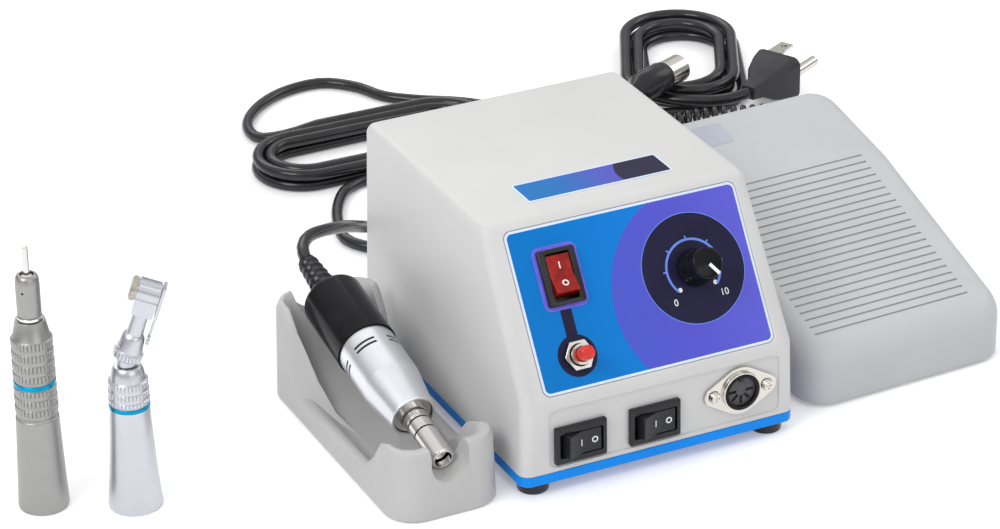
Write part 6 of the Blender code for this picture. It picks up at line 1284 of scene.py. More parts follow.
def make_knob(slanted):
    """Fluted knob with a white pointer."""
    stand = assembly("speed_dial", slanted, (*DIAL_PLACE, 0))
    low = PANEL_SEAT + KNOB_LIFT
    top = low + KNOB_HEIGHT
    skirt = low + KNOB_SKIRT_HEIGHT
    bushing, bushing_top = BUSHING_RADIUS + GAP, PANEL_SEAT + BUSHING_PROUD + GAP
    bore, bore_top = SHAFT_RADIUS + GAP, PANEL_SEAT + SHAFT_PROUD + GAP
    knob = turned([
        (bore, bore_top), (bore, bushing_top), (bushing, bushing_top), (bushing, low),
        (KNOB_SKIRT_RADIUS - KNOB_EDGE / 2, low), (KNOB_SKIRT_RADIUS, low + KNOB_EDGE / 2),
        (KNOB_SKIRT_RADIUS, skirt - KNOB_EDGE), (KNOB_RADIUS, skirt), (KNOB_TOP_RADIUS, top - KNOB_EDGE),
        (KNOB_TOP_RADIUS - KNOB_EDGE / 3, top - KNOB_EDGE / 3), (KNOB_TOP_RADIUS - KNOB_EDGE, top),
    ])
    knob = piece("speed_knob", knob, "gloss_black", stand)
    places = []
    for flute in range(FLUTES):
        angle = POINTER_ANGLE + math.tau * (flute + 0.5) / FLUTES
        centre = (*polar(KNOB_RADIUS + FLUTE_DEPTH / 2, angle), (skirt + top) / 2 + KNOB_EDGE)
        places.append((centre, Matrix.Rotation(angle, 3, "Z")))
    combine(knob, blocks((2 * FLUTE_DEPTH, 2 * FLUTE_DEPTH, KNOB_HEIGHT - KNOB_SKIRT_HEIGHT), places), stand)
    end = KNOB_TOP_RADIUS - KNOB_EDGE / 2
    turn = (0, 0, POINTER_ANGLE)
    line = block((end - POINTER_START, POINTER_WIDTH, 2 * MARK_DEPTH), ((end + POINTER_START) / 2, 0, top))
    line = piece("knob_pointer", line, "white_print", stand, (0, 0, 0), turn, body="speed_knob", edge=0)
    half = POINTER_WIDTH / 2
    rings = []
    for height, radius in ((skirt + KNOB_EDGE, KNOB_RADIUS), (top, KNOB_TOP_RADIUS - KNOB_EDGE / 3)):
        inner, outer = radius - POINTER_ROOT, radius + MARK_DEPTH
        rings.append(level([(inner, -half), (outer, -half), (outer, half), (inner, half)], height))
    join_on(line, skin(rings), stand, (0, 0, 0), turn)


def flange_outline():
    """Hull of the round socket and its two screw lobes."""
    half = SOCKET_SCREW_SPACING / 2
    tangent = math.acos((SOCKET_FLANGE_RADIUS - SOCKET_LOBE_RADIUS) / half)
    points = []
    for centre, radius, start, end in (
        (half, SOCKET_LOBE_RADIUS, -tangent, tangent),
        (0, SOCKET_FLANGE_RADIUS, tangent, math.pi - tangent),
        (-half, SOCKET_LOBE_RADIUS, math.pi - tangent, math.pi + tangent),
        (0, SOCKET_FLANGE_RADIUS, math.pi + tangent, math.tau - tangent),
    ):
        for step in range(2 * CORNER_STEPS + 1):
            point = polar(radius, start + (end - start) * step / (2 * CORNER_STEPS), (centre, 0))
            if not points or math.dist(point, points[-1]) > GAP / 2:
                points.append(point)
    return points


def make_motor_socket(lower):
    """Round socket on its flange, with a slotted insert and two screws."""
    stand = assembly("motor_socket", lower, (*SOCKET_PLACE, LOWER_SEAT))
    flange_top = SOCKET_FLANGE_THICKNESS
    shell = piece("motor_socket_shell", prism(flange_outline(), 0, flange_top), "nickel", stand)
    can = rod(SOCKET_RING_RADIUS, -SOCKET_CAN_DEPTH, flange_top + SOCKET_RING_PROUD, ROUND_SIDES)
    join_on(shell, can, stand)
    bore_floor = -SOCKET_CAN_DEPTH + SOCKET_FLANGE_THICKNESS
    combine(shell, rod(SOCKET_BORE_RADIUS, bore_floor, flange_top + OVERRUN, ROUND_SIDES), stand)
    insert = rod(SOCKET_BORE_RADIUS - GAP, bore_floor + GAP, flange_top, ROUND_SIDES)
    insert = piece("motor_socket_insert", insert, "socket_grey", stand)
    places = []
    for contact in range(SOCKET_CONTACTS):
        angle = -math.pi / 2 + SOCKET_SLOT_SPREAD * (contact / (SOCKET_CONTACTS - 1) - 1 / 2)
        places.append(((*polar(SOCKET_SLOT_RING, angle), flange_top), Matrix.Rotation(angle, 3, "Z")))
    slot_long, slot_wide, slot_deep = SOCKET_SLOT_SIZE
    combine(insert, blocks((slot_long, slot_wide, 2 * slot_deep), places), stand)
    for side, side_name in ((-1, "left"), (1, "right")):
        x = side * SOCKET_SCREW_SPACING / 2
        combine(shell, rod(SCREW_SHANK_RADIUS + GAP, -OVERRUN, OVERRUN), stand, (x, 0, 0))
        head = flange_top + GAP
        top = head + SCREW_HEAD_HEIGHT
        screw = turned([
            (SCREW_SHANK_RADIUS, -SCREW_LENGTH), (SCREW_SHANK_RADIUS, head),
            (SCREW_HEAD_RADIUS, head), (SCREW_HEAD_RADIUS - SMALL_RADIUS, top),
        ], SMALL_SIDES)
        screw = piece(f"socket_screw_{side_name}", screw, "nickel", stand, (x, 0, 0))
        for turn in (0, math.pi / 2):
            combine(screw, block(SCREW_CROSS_SIZE), stand, (x, 0, top), (0, 0, turn))


def make_socket_lining(lower):
    """Black lining of the motor socket, with the key that its plug is turned by."""
    stand = assembly("socket_lining_place", lower, (*SOCKET_PLACE, LOWER_SEAT))
    floor = SOCKET_FLANGE_THICKNESS
    low, top = floor - SOCKET_SLOT_SIZE[2], floor + SOCKET_RING_PROUD
    inner, wall, outer = LINING_INNER, SOCKET_BORE_RADIUS - PRINT, SOCKET_RING_RADIUS - LINING_EDGE
    ring = turned([
        (inner, low), (inner, top), (inner + LINING_PROUD, top + LINING_PROUD),
        (outer - LINING_PROUD, top + LINING_PROUD), (outer, top + PRINT), (outer, top - PRINT),
        (wall, top - PRINT), (wall, low),
    ], closed=True)
    piece("motor_socket_lining", ring, "gloss_black", stand, edge=0)
    long, deep, wide = KEY_SIZE
    key = block((wide, long, deep), (0, inner - long / 2 + LINING_PROUD, floor + deep / 2))
    piece("motor_socket_key", key, "black_plastic", stand, edge=FINE_EDGE)


def make_rear_fittings(rear):
    """Strain relief of the mains lead, and the pedal's socket with its plug."""
    inside = -SHELL_WALL - GAP
    stand = assembly("mains_entry", rear, (-MAINS_RELIEF_X, REAR_ROW_HEIGHT, 0))
    flange_top = GAP + RELIEF_FLANGE_THICKNESS
    relief = turned([
        (RELIEF_NECK_RADIUS, inside - RELIEF_LOCK_LENGTH), (RELIEF_NECK_RADIUS, GAP),
        (RELIEF_FLANGE_RADIUS, GAP), (RELIEF_FLANGE_RADIUS, flange_top),
        (RELIEF_ROOT_RADIUS, flange_top), (RELIEF_TIP_RADIUS, flange_top + RELIEF_LENGTH),
    ], SMALL_SIDES)
    piece("mains_strain_relief", relief, "black_rubber", stand)

    stand = assembly("pedal_jack", rear, (-PEDAL_SOCKET_X, REAR_ROW_HEIGHT, 0))
    nut_top = GAP + JACK_NUT_THICKNESS
    jack = turned([
        (JACK_BODY_RADIUS, inside - JACK_BODY_LENGTH), (JACK_BODY_RADIUS, inside),
        (JACK_NECK_RADIUS, inside), (JACK_NECK_RADIUS, GAP),
        (JACK_NUT_RADIUS, GAP), (JACK_NUT_RADIUS, nut_top),
        (JACK_BORE_RADIUS, nut_top), (JACK_BORE_RADIUS, nut_top - JACK_BORE_DEPTH),
    ], SMALL_SIDES)
    piece("pedal_socket", jack, "nickel", stand)
    grip = nut_top + GAP
    grip_end = grip + JACK_GRIP_LENGTH
    plug = turned([
        (JACK_PIN_RADIUS, grip - JACK_PIN_LENGTH), (JACK_PIN_RADIUS, grip), (JACK_GRIP_RADIUS, grip),
        (JACK_GRIP_RADIUS, grip_end), (JACK_TAIL_RADIUS, grip_end + JACK_TAIL_LENGTH),
    ], SMALL_SIDES)
    piece("pedal_plug", plug, "black_rubber", stand)


# Handpiece and cradle


def make_nose(handpiece):
    """Grooved nose of the handpiece, with a seal ring in each groove."""
    groove, flange = NOSE_RADIUS - GROOVE_DEPTH, NOSE_LENGTH + NOSE_FLANGE_RECESS
    seat_start = BODY_END - BEARING_SEAT_LENGTH
    ring_start = NOSE_RING_SHARE * NOSE_LENGTH
    grooves = [(share * NOSE_LENGTH, share * NOSE_LENGTH + GROOVE_WIDTH) for share in GROOVE_PLACES_SHARES]
    profile = [(NOSE_BORE_RADIUS, 0), (NOSE_RADIUS - NOSE_TIP_EDGE, 0), (NOSE_RADIUS, NOSE_TIP_EDGE)]
    for start, end in grooves:
        profile += [(NOSE_RADIUS, start), (groove, start), (groove, end), (NOSE_RADIUS, end)]
    profile += [
        (NOSE_RADIUS, ring_start), (NOSE_RING_RADIUS, ring_start), (NOSE_RING_RADIUS, flange),
        (NOSE_BODY_RADIUS, flange), (NOSE_BODY_RADIUS, BODY_END), (BEARING_RADIUS + GAP, BODY_END),
        (BEARING_RADIUS + GAP, seat_start), (NOSE_BORE_RADIUS, seat_start),
    ]
    piece("motor_nose", turned(profile, closed=True), "steel", handpiece)
    for index, (start, end) in enumerate(grooves):
        ring = tube(groove - GROOVE_DEPTH / 4, groove + GROOVE_DEPTH / 2, start + PRINT, end - PRINT)
        piece(f"nose_seal_{index + 1}", ring, "black_rubber", handpiece, edge=FINE_EDGE)


def make_sleeve(handpiece):
    """Sleeve of the handpiece, with groups of vents near its back, each lined with a dark sheet that is
    painted shade.
    """
    mouth, cone_end = NOSE_LENGTH, NOSE_LENGTH + SLEEVE_CONE_SHARE * SLEEVE_LENGTH
    bore, front_bore = SLEEVE_RADIUS - SLEEVE_WALL, NOSE_BODY_RADIUS + GAP
    spigot, spigot_end = CAP_RADIUS - CAP_WALL - GAP, SLEEVE_END + SLEEVE_SPIGOT_LENGTH
    sleeve = turned([
        (front_bore, mouth), (SLEEVE_FRONT_RADIUS - SMALL_RADIUS, mouth),
        (SLEEVE_FRONT_RADIUS - SMALL_RADIUS / 3, mouth + SMALL_RADIUS / 3),
        (SLEEVE_FRONT_RADIUS, mouth + SMALL_RADIUS),
        (SLEEVE_RADIUS - GAP / 4, cone_end - GAP), (SLEEVE_RADIUS, cone_end), (SLEEVE_RADIUS, cone_end + GAP),
        (SLEEVE_RADIUS, SLEEVE_END - VENT_INSET - VENT_SPACING - VENT_SIGHT), (SLEEVE_RADIUS, SLEEVE_END),
        (spigot, SLEEVE_END), (spigot, spigot_end), (bore, spigot_end),
        (bore, cone_end - SLEEVE_WALL), (front_bore, BODY_END + GAP),
    ], closed=True)
    sleeve = piece("motor_sleeve", sleeve, "aluminium", handpiece, edge=0)
    vent_shades = []
    half_turn = VENT_LENGTH / 2 / SLEEVE_RADIUS
    for group in range(VENT_GROUPS):
        middle = VENT_PHASE + math.tau * group / VENT_GROUPS
        ends = (middle - half_turn, middle + half_turn, VENT_STEPS)
        for row in (0, 1):
            height = SLEEVE_END - VENT_INSET - row * VENT_SPACING
            low, high = height - VENT_SIGHT / 2, height + VENT_SIGHT / 2
            combine(sleeve, prism(arc_band((0, 0), SLEEVE_RADIUS, VENT_DEPTH, *ends), low, high), handpiece)
            # Dark sheet in each vent, a little below the sleeve's face: painted shade in the vent
            back = arc_band((0, 0), SLEEVE_RADIUS - VENT_DEPTH / 2, VENT_DEPTH / 2, *ends)
            vent_shades.append(prism(back, low, high))
    vents = piece("sleeve_vent_backs", vent_shades[0], "black_plastic", handpiece, edge=0)
    for back in vent_shades[1:]:
        join_on(vents, back, handpiece)


def make_cap(handpiece):
    """Black cap at the back of the handpiece, with the seat of the rear bearing."""
    wall, floor = CAP_RADIUS - CAP_WALL, CAP_END - CAP_BACK
    seat = CAP_START + CAP_BEARING_SHARE * CAP_LENGTH
    seat_end = seat + BEARING_LENGTH + 2 * GAP
    plug, shaft, bearing = CORD_RELIEF_PLUG_RADIUS + GAP, ROTOR_SHAFT_RADIUS + GAP, BEARING_RADIUS + GAP
    rounding = [
        (CAP_RADIUS - CAP_ROUNDING * (1 - math.cos(angle)), CAP_END - CAP_ROUNDING * (1 - math.sin(angle)))
        for angle in QUARTER
    ]
    cap = turned([
        (wall, CAP_START), (CAP_RADIUS, CAP_START), *rounding, (plug, CAP_END), (plug, floor),
        (shaft, floor), (shaft, seat_end), (bearing, seat_end), (bearing, seat), (wall, seat),
    ], closed=True)
    piece("motor_cap", cap, "gloss_black", handpiece)


def make_cord_relief(handpiece):
    """Ribbed rubber sleeve that the cord leaves the cap through."""
    root = CAP_END + GAP
    pitch = CORD_RELIEF_LENGTH / CORD_RELIEF_RIBS
    profile = [(CORD_RELIEF_PLUG_RADIUS, CAP_END - CAP_BACK + GAP), (CORD_RELIEF_PLUG_RADIUS, root)]
    for step in range(CORD_RELIEF_RIBS * RIB_STEPS):
        rib = step / RIB_STEPS
        taper = (CORD_RELIEF_TIP_RADIUS - CORD_RELIEF_ROOT_RADIUS) * rib / CORD_RELIEF_RIBS
        wave = (1 - math.cos(math.tau * rib + RIB_PHASE)) / 2
        radius = CORD_RELIEF_ROOT_RADIUS + taper - CORD_RELIEF_RIB_HEIGHT * (1 - wave)
        profile.append((radius, root + rib * pitch + PRINT))
    profile.append((CORD_RELIEF_TIP_RADIUS - CORD_RELIEF_RIB_HEIGHT / 2, root + CORD_RELIEF_LENGTH))
    piece("motor_cord_relief", turned(profile, SMALL_SIDES), "black_rubber", handpiece)


def cradle_share(y):
    return (y - CRADLE_FRONT) / (CRADLE_BACK - CRADLE_FRONT)


def cradle_rim(y):
    """Height of the cradle's rim: two horns and a low side between them."""
    share = cradle_share(y)
    front = 1 - rise_share(share, *CRADLE_FRONT_REACH_SHARES)
    back = rise_share(share, *CRADLE_BACK_REACH_SHARES)
    return (
        CRADLE_SIDE_HEIGHT
        + (CRADLE_FRONT_HEIGHT - CRADLE_SIDE_HEIGHT) * front
        + (CRADLE_BACK_HEIGHT - CRADLE_SIDE_HEIGHT) * back
    )


def cradle_outline(side, front, back, radius):
    """The cradle's plan, drawn in from its sides, front and back."""
    low, high = CRADLE_FRONT + front, CRADLE_BACK - back
    stations = [low + share * (high - low) for share in CRADLE_STATIONS_SHARES]
    return outline(CRADLE_WIDTH / 2 - side, low, high, radius, stations)


def cradle_ring(side_share, front_share, back_share, rise):
    """Ring of the bowl, at a share of the way from its floor to the rim outside it."""
    rim = [cradle_rim(y) for _, y in cradle_outline(0, 0, 0, CRADLE_CORNER_RADIUS)]
    side = side_share * CRADLE_WALL
    radius = max(CRADLE_CORNER_RADIUS - side, CRADLE_INNER_RADIUS)
    plan = cradle_outline(side, front_share * CRADLE_FRONT_WALL, back_share * CRADLE_BACK_WALL, radius)
    return [(x, y, CRADLE_FLOOR + (height - CRADLE_FLOOR) * rise) for (x, y), height in zip(plan, rim)]


def make_cradle(cradle_stand, handpiece):
    """Bowl with a notch for the nose and one for the cap."""
    edge = CRADLE_EDGE
    rings = [
        level(cradle_outline(edge, edge, edge, CRADLE_CORNER_RADIUS - edge), 0),
        level(cradle_outline(0, 0, 0, CRADLE_CORNER_RADIUS), edge),
    ]
    rings += [cradle_ring(*shares) for shares in CRADLE_BOWL_SHARES]
    cradle = piece("cradle", skin(rings), "cradle_grey", cradle_stand)

    def notch(radius, low, high):
        """U-shaped cutter along the handpiece's axis, open upwards."""
        half_steps = ROUND_SIDES // 2
        arc = [polar(radius, math.pi + math.pi * step / half_steps) for step in range(half_steps + 1)]
        return prism([(-radius, CRADLE_BACK_HEIGHT), *arc, (radius, CRADLE_BACK_HEIGHT)], low, high)

    # The nose rests on the bottom of a wider notch, the cap in one of its own radius.
    lift = CRADLE_NOTCH_RADIUS - NOSE_RADIUS - GAP
    combine(cradle, notch(CRADLE_NOTCH_RADIUS, -CRADLE_WIDTH, NOSE_LENGTH), handpiece, (0, lift, 0))
    combine(cradle, notch(CAP_RADIUS + GAP, SLEEVE_END, SLEEVE_END + CAP_LENGTH + CRADLE_WIDTH), handpiece)


# Foot pedal


def pedal_surface(y):
    """Height of the pedal's top at a distance from its front."""
    distance = y - PEDAL_FRONT
    if distance < PEDAL_KINK_DISTANCE:
        share = distance / PEDAL_KINK_DISTANCE
        return PEDAL_FRONT_HEIGHT + (PEDAL_KINK_HEIGHT - PEDAL_FRONT_HEIGHT) * share
    share = (distance - PEDAL_KINK_DISTANCE) / (PEDAL_DEPTH - PEDAL_KINK_DISTANCE)
    return PEDAL_KINK_HEIGHT + (PEDAL_BACK_HEIGHT - PEDAL_KINK_HEIGHT) * share


def pedal_line(front, back):
    """Height that rises evenly from the pedal's front to its back."""
    return lambda y: front + (back - front) * (y - PEDAL_FRONT) / PEDAL_DEPTH


def pedal_ring(inset, height_at, drop=0.0):
    stations = (PEDAL_FRONT + PEDAL_KINK_DISTANCE / 2, PEDAL_FRONT + PEDAL_KINK_DISTANCE)
    radius = max(PEDAL_CORNER_RADIUS - inset, SMALL_RADIUS)
    flat = outline(PEDAL_WIDTH / 2 - inset, PEDAL_FRONT + inset, PEDAL_BACK - inset, radius, stations)
    return [(x, y, height_at(y) - drop) for x, y in flat]


def make_pedal(pedal):
    """Cover of the pedal. What stands inside stays as the CAD has it."""
    skirt = pedal_line(PEDAL_SKIRT_FRONT, PEDAL_SKIRT_BACK)
    inner, rounding = PEDAL_EDGE_ROUNDING - PEDAL_WALL, PEDAL_EDGE_ROUNDING
    rings = []
    for angle in reversed(QUARTER):
        inset, drop = (PEDAL_WALL + inner * (1 - part) for part in (math.cos(angle), math.sin(angle)))
        rings.append(pedal_ring(inset, pedal_surface, drop))
    rings += [pedal_ring(PEDAL_WALL, skirt), pedal_ring(0, skirt)]
    for angle in QUARTER:
        inset, drop = (rounding * (1 - part) for part in (math.cos(angle), math.sin(angle)))
        rings.append(pedal_ring(inset, pedal_surface, drop))
    cover = piece("pedal_cover", skin(rings, ladder=True), "pedal_grey", pedal)
    places = []
    slope = math.atan2(PEDAL_KINK_HEIGHT - PEDAL_FRONT_HEIGHT, PEDAL_KINK_DISTANCE)
    for groove in range(GROOVE_COUNT):
        y = PEDAL_FRONT + GROOVE_FIRST + groove * GROOVE_PITCH
        places.append(((RIDGE_OFFSET, y, pedal_surface(y)), Matrix.Rotation(slope, 3, "X")))
    combine(cover, blocks((RIDGE_WIDTH, RIDGE_GROOVE_WIDTH, 2 * RIDGE_GROOVE_DEPTH), places), pedal)
    pin_y = PEDAL_FRONT + PIN_DISTANCE
    lug_x = LUG_SPREAD + LUG_THICKNESS + LUG_CLEARANCE
    low, ceiling = PIN_HEIGHT - LUG_HALF_DEPTH, pedal_surface(pin_y - LUG_HALF_DEPTH) - GAP
    for side in (-1, 1):
        size = (LUG_THICKNESS, 2 * LUG_HALF_DEPTH, ceiling - low)
        join_on(cover, block(size, (side * lug_x, pin_y, (ceiling + low) / 2)), pedal)
    pin_half = lug_x + LUG_THICKNESS / 2 + LUG_CLEARANCE + OVERRUN
    hole = rod(PIN_RADIUS + GAP, -pin_half, pin_half)
    combine(cover, hole, pedal, (0, pin_y, PIN_HEIGHT), (0, math.pi / 2, 0))
    slot_height = PEDAL_CORD_HEIGHT + PEDAL_CORD_BOSS_RADIUS + PEDAL_PRESS_DROP
    slot_width = 2 * (PEDAL_CORD_BOSS_RADIUS + 2 * GAP)
    combine(cover, block((slot_width, 4 * PEDAL_WALL, slot_height), (0, PEDAL_BACK, slot_height / 2)), pedal)


def make_sticker(pedal):
    """Bare label on the upper part of the pedal."""
    slope = math.atan2(PEDAL_BACK_HEIGHT - PEDAL_KINK_HEIGHT, PEDAL_DEPTH - PEDAL_KINK_DISTANCE)
    kink = (0, PEDAL_FRONT + PEDAL_KINK_DISTANCE, PEDAL_KINK_HEIGHT)
    plane = assembly("pedal_upper_plane", pedal, kink, (1, 0, 0), (0, -math.sin(slope), math.cos(slope)))
    label = prism(rounded(*STICKER, 2 * SMALL_RADIUS), -PRINT_ROOT, STICKER_THICKNESS)
    piece("pedal_sticker", label, "lavender_print", plane, body="pedal_cover", edge=THIN_EDGE)


# Attachments


def open_ended(shares, height, radius):
    """Turned sleeve that stands on its open end."""
    profile = [(radius * radius_share, height * height_share) for height_share, radius_share in shares]
    return turned([
        *profile, (SPINDLE_BORE_RADIUS, height), (SPINDLE_BORE_RADIUS, ATTACHMENT_BORE_DEPTH + GAP),
        (ATTACHMENT_BORE_RADIUS, ATTACHMENT_BORE_DEPTH), (ATTACHMENT_BORE_RADIUS, 0),
    ], closed=True)


def make_straight_attachment(stand):
    sleeve = open_ended(STRAIGHT_PROFILE_SHARES, STRAIGHT_SLEEVE_HEIGHT, STRAIGHT_WAIST_RADIUS)
    piece("straight_sleeve", sleeve, "matt_steel", stand)
    low = STRAIGHT_SLEEVE_HEIGHT + GAP
    top = low + STRAIGHT_NOSE_HEIGHT
    outside = [(STRAIGHT_NOSE_RADIUS * r, low + STRAIGHT_NOSE_HEIGHT * h) for h, r in STRAIGHT_CHUCK_SHARES]
    ring = turned([*outside, (SPINDLE_BORE_RADIUS, top), (SPINDLE_BORE_RADIUS, low)], closed=True)
    piece("straight_chuck_ring", ring, "matt_steel", stand)
    shank_top = top + STRAIGHT_SHANK_PROUD
    spindle = turned([
        (SPINDLE_RADIUS, ATTACHMENT_BORE_DEPTH), (SPINDLE_RADIUS, top - SMALL_RADIUS),
        (STRAIGHT_SHANK_RADIUS, top), (STRAIGHT_SHANK_RADIUS, shank_top - SMALL_RADIUS / 2),
        (STRAIGHT_SHANK_RADIUS / 2, shank_top),
    ], SMALL_SIDES)
    piece("straight_spindle", spindle, "steel", stand)


def make_contra_attachment(stand):
    """Angled attachment: its sheath, its tilted neck and head, and the latch on the head's back."""
    sheath = open_ended(CONTRA_PROFILE_SHARES, CONTRA_SHEATH_HEIGHT, CONTRA_WAIST_RADIUS)
    piece("contra_sheath", sheath, "satin_silver", stand)
    lean = (math.sin(CONTRA_TILT), 0, math.cos(CONTRA_TILT))
    neck_low = CONTRA_SHEATH_HEIGHT + GAP + CONTRA_NECK_RADIUS * math.sin(CONTRA_TILT) + CONTRA_NECK_LIFT
    tilted = assembly("contra_neck", stand, (0, 0, neck_low), (math.cos(CONTRA_TILT), 0, 0), lean)
    neck = [(CONTRA_NECK_RADIUS * r, CONTRA_NECK_LENGTH * h) for h, r in CONTRA_NECK_SHARES]
    head = piece("contra_head", turned(neck), "satin_silver", tilted)
    root_low = -CONTRA_NECK_RADIUS * math.sin(CONTRA_TILT) - CONTRA_NECK_LIFT
    root = rod(CONTRA_NECK_RADIUS * CONTRA_ROOT_SHARE, root_low, CONTRA_NECK_LIFT + CONTRA_NECK_RADIUS)
    join_on(head, root, stand, (0, 0, neck_low))
    groove, rim, cap_top = (CONTRA_HEAD_RADIUS * share for share in CONTRA_CAP_SHARES)
    cap_end = CONTRA_HEAD_FRONT + CONTRA_CAP_LENGTH
    barrel = turned([
        (CONTRA_HEAD_RADIUS, -CONTRA_HEAD_BACK), (CONTRA_HEAD_RADIUS, CONTRA_HEAD_FRONT),
        (groove, CONTRA_HEAD_FRONT), (groove, CONTRA_HEAD_FRONT + GAP),
        (rim, CONTRA_HEAD_FRONT + GAP), (rim, cap_end - SMALL_RADIUS), (cap_top, cap_end),
    ])
    join_on(head, barrel, tilted, HEAD_PLACE, HEAD_TURN)
    cheek_rise = CONTRA_HEAD_RADIUS * CONTRA_CHEEK_SHARE
    cheek_size = (
        CONTRA_HEAD_FRONT + CONTRA_HEAD_BACK - 2 * GAP, CONTRA_HEAD_WIDTH, CONTRA_HEAD_DROP + cheek_rise
    )
    cheek_height = CONTRA_HEAD_HEIGHT + (cheek_rise - CONTRA_HEAD_DROP) / 2
    cheek = block(cheek_size, ((CONTRA_HEAD_BACK - CONTRA_HEAD_FRONT) / 2, 0, cheek_height))
    join_on(head, cheek, tilted)

    latch_x = CONTRA_HEAD_BACK + GAP + LATCH_THICKNESS / 2
    plate_height = CONTRA_HEAD_DROP + CONTRA_HEAD_RADIUS
    pivot = assembly("contra_latch_pivot", tilted, (latch_x, 0, CONTRA_HEAD_HEIGHT + CONTRA_HEAD_RADIUS))
    latch = block((LATCH_THICKNESS, CONTRA_HEAD_WIDTH + GAP, plate_height), (0, 0, -plate_height / 2))
    latch = piece("contra_latch", latch, "satin_silver", pivot)
    wire_top = LATCH_THICKNESS - plate_height
    join_on(latch, rod(LATCH_WIRE_RADIUS, wire_top - LATCH_TAIL_LENGTH, wire_top, 8), pivot)
    tab = rod(LATCH_TAB_RADIUS, -LATCH_THICKNESS / 2, LATCH_THICKNESS / 2)
    join_on(latch, tab, pivot, (0, 0, wire_top - LATCH_TAIL_LENGTH), HEAD_TURN)
    return tilted


def radius_at(shares, height, radius, at):
    """Outer radius of a turned sleeve at a height."""
    heights = [share * height for share, _ in shares]
    return float(np.interp(at, heights, [share * radius for _, share in shares]))


def band(radius, low, high):
    return tube(radius - KNURL_DEPTH, radius, low, high)


def make_knurls(straight, contra):
    """Knurled rows and the coloured band of both attachments."""
    for stem, stand, shares, height, waist, rows, (low, high), finish in (
        ("straight", straight, STRAIGHT_PROFILE_SHARES, STRAIGHT_SLEEVE_HEIGHT, STRAIGHT_WAIST_RADIUS,
         STRAIGHT_ROWS, STRAIGHT_BAND, "matt_steel"),
        ("contra", contra, CONTRA_PROFILE_SHARES, CONTRA_SHEATH_HEIGHT, CONTRA_WAIST_RADIUS,
         CONTRA_ROWS, CONTRA_BAND, "satin_silver"),
    ):
        for index, (row_low, row_high) in enumerate(rows):
            radius = radius_at(shares, height, waist, (row_low + row_high) / 2) + KNURL_DEPTH
            piece(f"{stem}_knurl_{index + 1}", knurled_ring(radius, row_low, row_high), finish, stand, edge=0)
        radius = radius_at(shares, height, waist, (low + high) / 2) + SHALLOW_DEPTH
        piece(f"{stem}_band", band(radius, low, high), "blue_metal", stand, edge=BAND_EDGE)


def make_straight_trim(straight):
    """Dark band at the seam of the straight attachment's sleeve as painted shade in its groove, and the
    bright ring of its chuck ring with a dark disc as painted shade in its small hole.
    """
    radius = radius_at(STRAIGHT_PROFILE_SHARES, STRAIGHT_SLEEVE_HEIGHT, STRAIGHT_WAIST_RADIUS, SEAM_HEIGHT)
    # The seam's groove is drawn as a dark band: painted shade in the groove
    seam = band(radius + PRINT, SEAM_HEIGHT, SEAM_HEIGHT + SEAM_WIDTH)
    piece("straight_seam", seam, "black_plastic", straight, edge=0)
    low = STRAIGHT_SLEEVE_HEIGHT + GAP
    reach = radius_at(STRAIGHT_CHUCK_SHARES, STRAIGHT_NOSE_HEIGHT, STRAIGHT_NOSE_RADIUS, OIL_HOLE_HEIGHT)
    towards = Vector(OIL_HOLE_DIRECTION).normalized()
    place = towards * reach + Vector((0, 0, low + OIL_HOLE_HEIGHT))
    hole = assembly("straight_hole_place", straight, place, (0, 0, 1), towards)
    # A dark disc stands for the oil hole instead of a cut: painted shade in the hole
    piece("straight_oil_hole", rod(OIL_HOLE_RADIUS, -OIL_HOLE_RADIUS, PRINT), "gloss_black", hole,
          body="straight_chuck_ring", edge=0)
    chrome = tube(STRAIGHT_NOSE_RADIUS, CHROME_RING_RADIUS, low + CHROME_RING[0], low + CHROME_RING[1])
    piece("straight_chrome_ring", chrome, "chrome", straight, body="straight_chuck_ring", edge=FINE_EDGE)


def make_contra_trim(tilted):
    """Knurled collar of the angled attachment's neck, and the knurl and rim of its head's cap."""
    collar = knurled_ring(CONTRA_NECK_RADIUS + KNURL_DEPTH, *COLLAR_ROW, COLLAR_TEETH)
    piece("contra_collar_knurl", collar, "satin_silver", tilted, edge=0)
    _, rim, cap_top = (CONTRA_HEAD_RADIUS * share for share in CONTRA_CAP_SHARES)
    cap_end = CONTRA_HEAD_FRONT + CONTRA_CAP_LENGTH
    low, high = CONTRA_HEAD_FRONT + GAP, cap_end - SMALL_RADIUS / 2
    cap = knurled_ring(rim + CAP_KNURL_RISE, low, high, CAP_TEETH, SHALLOW_DEPTH)
    piece("contra_cap_knurl", cap, "cap_steel", tilted, HEAD_PLACE, HEAD_TURN, edge=0)
    disc = band(cap_top, high - KNURL_EDGE, cap_end + PRINT)
    piece("contra_cap_rim", disc, "cap_steel", tilted, HEAD_PLACE, HEAD_TURN, edge=0)


# Cords and their plugs


def millimetres(route):
    return [tuple(value * MM for value in point) for point in route]


def blend(start, end, time_start, time_end, time):
    share = (time - time_start) / (time_end - time_start)
    return start * (1 - share) + end * share


def lengths_along(points):
    """Distance of each point of a path from its start."""
    return np.concatenate([[0], np.cumsum(np.linalg.norm(np.diff(points, axis=0), axis=1))])


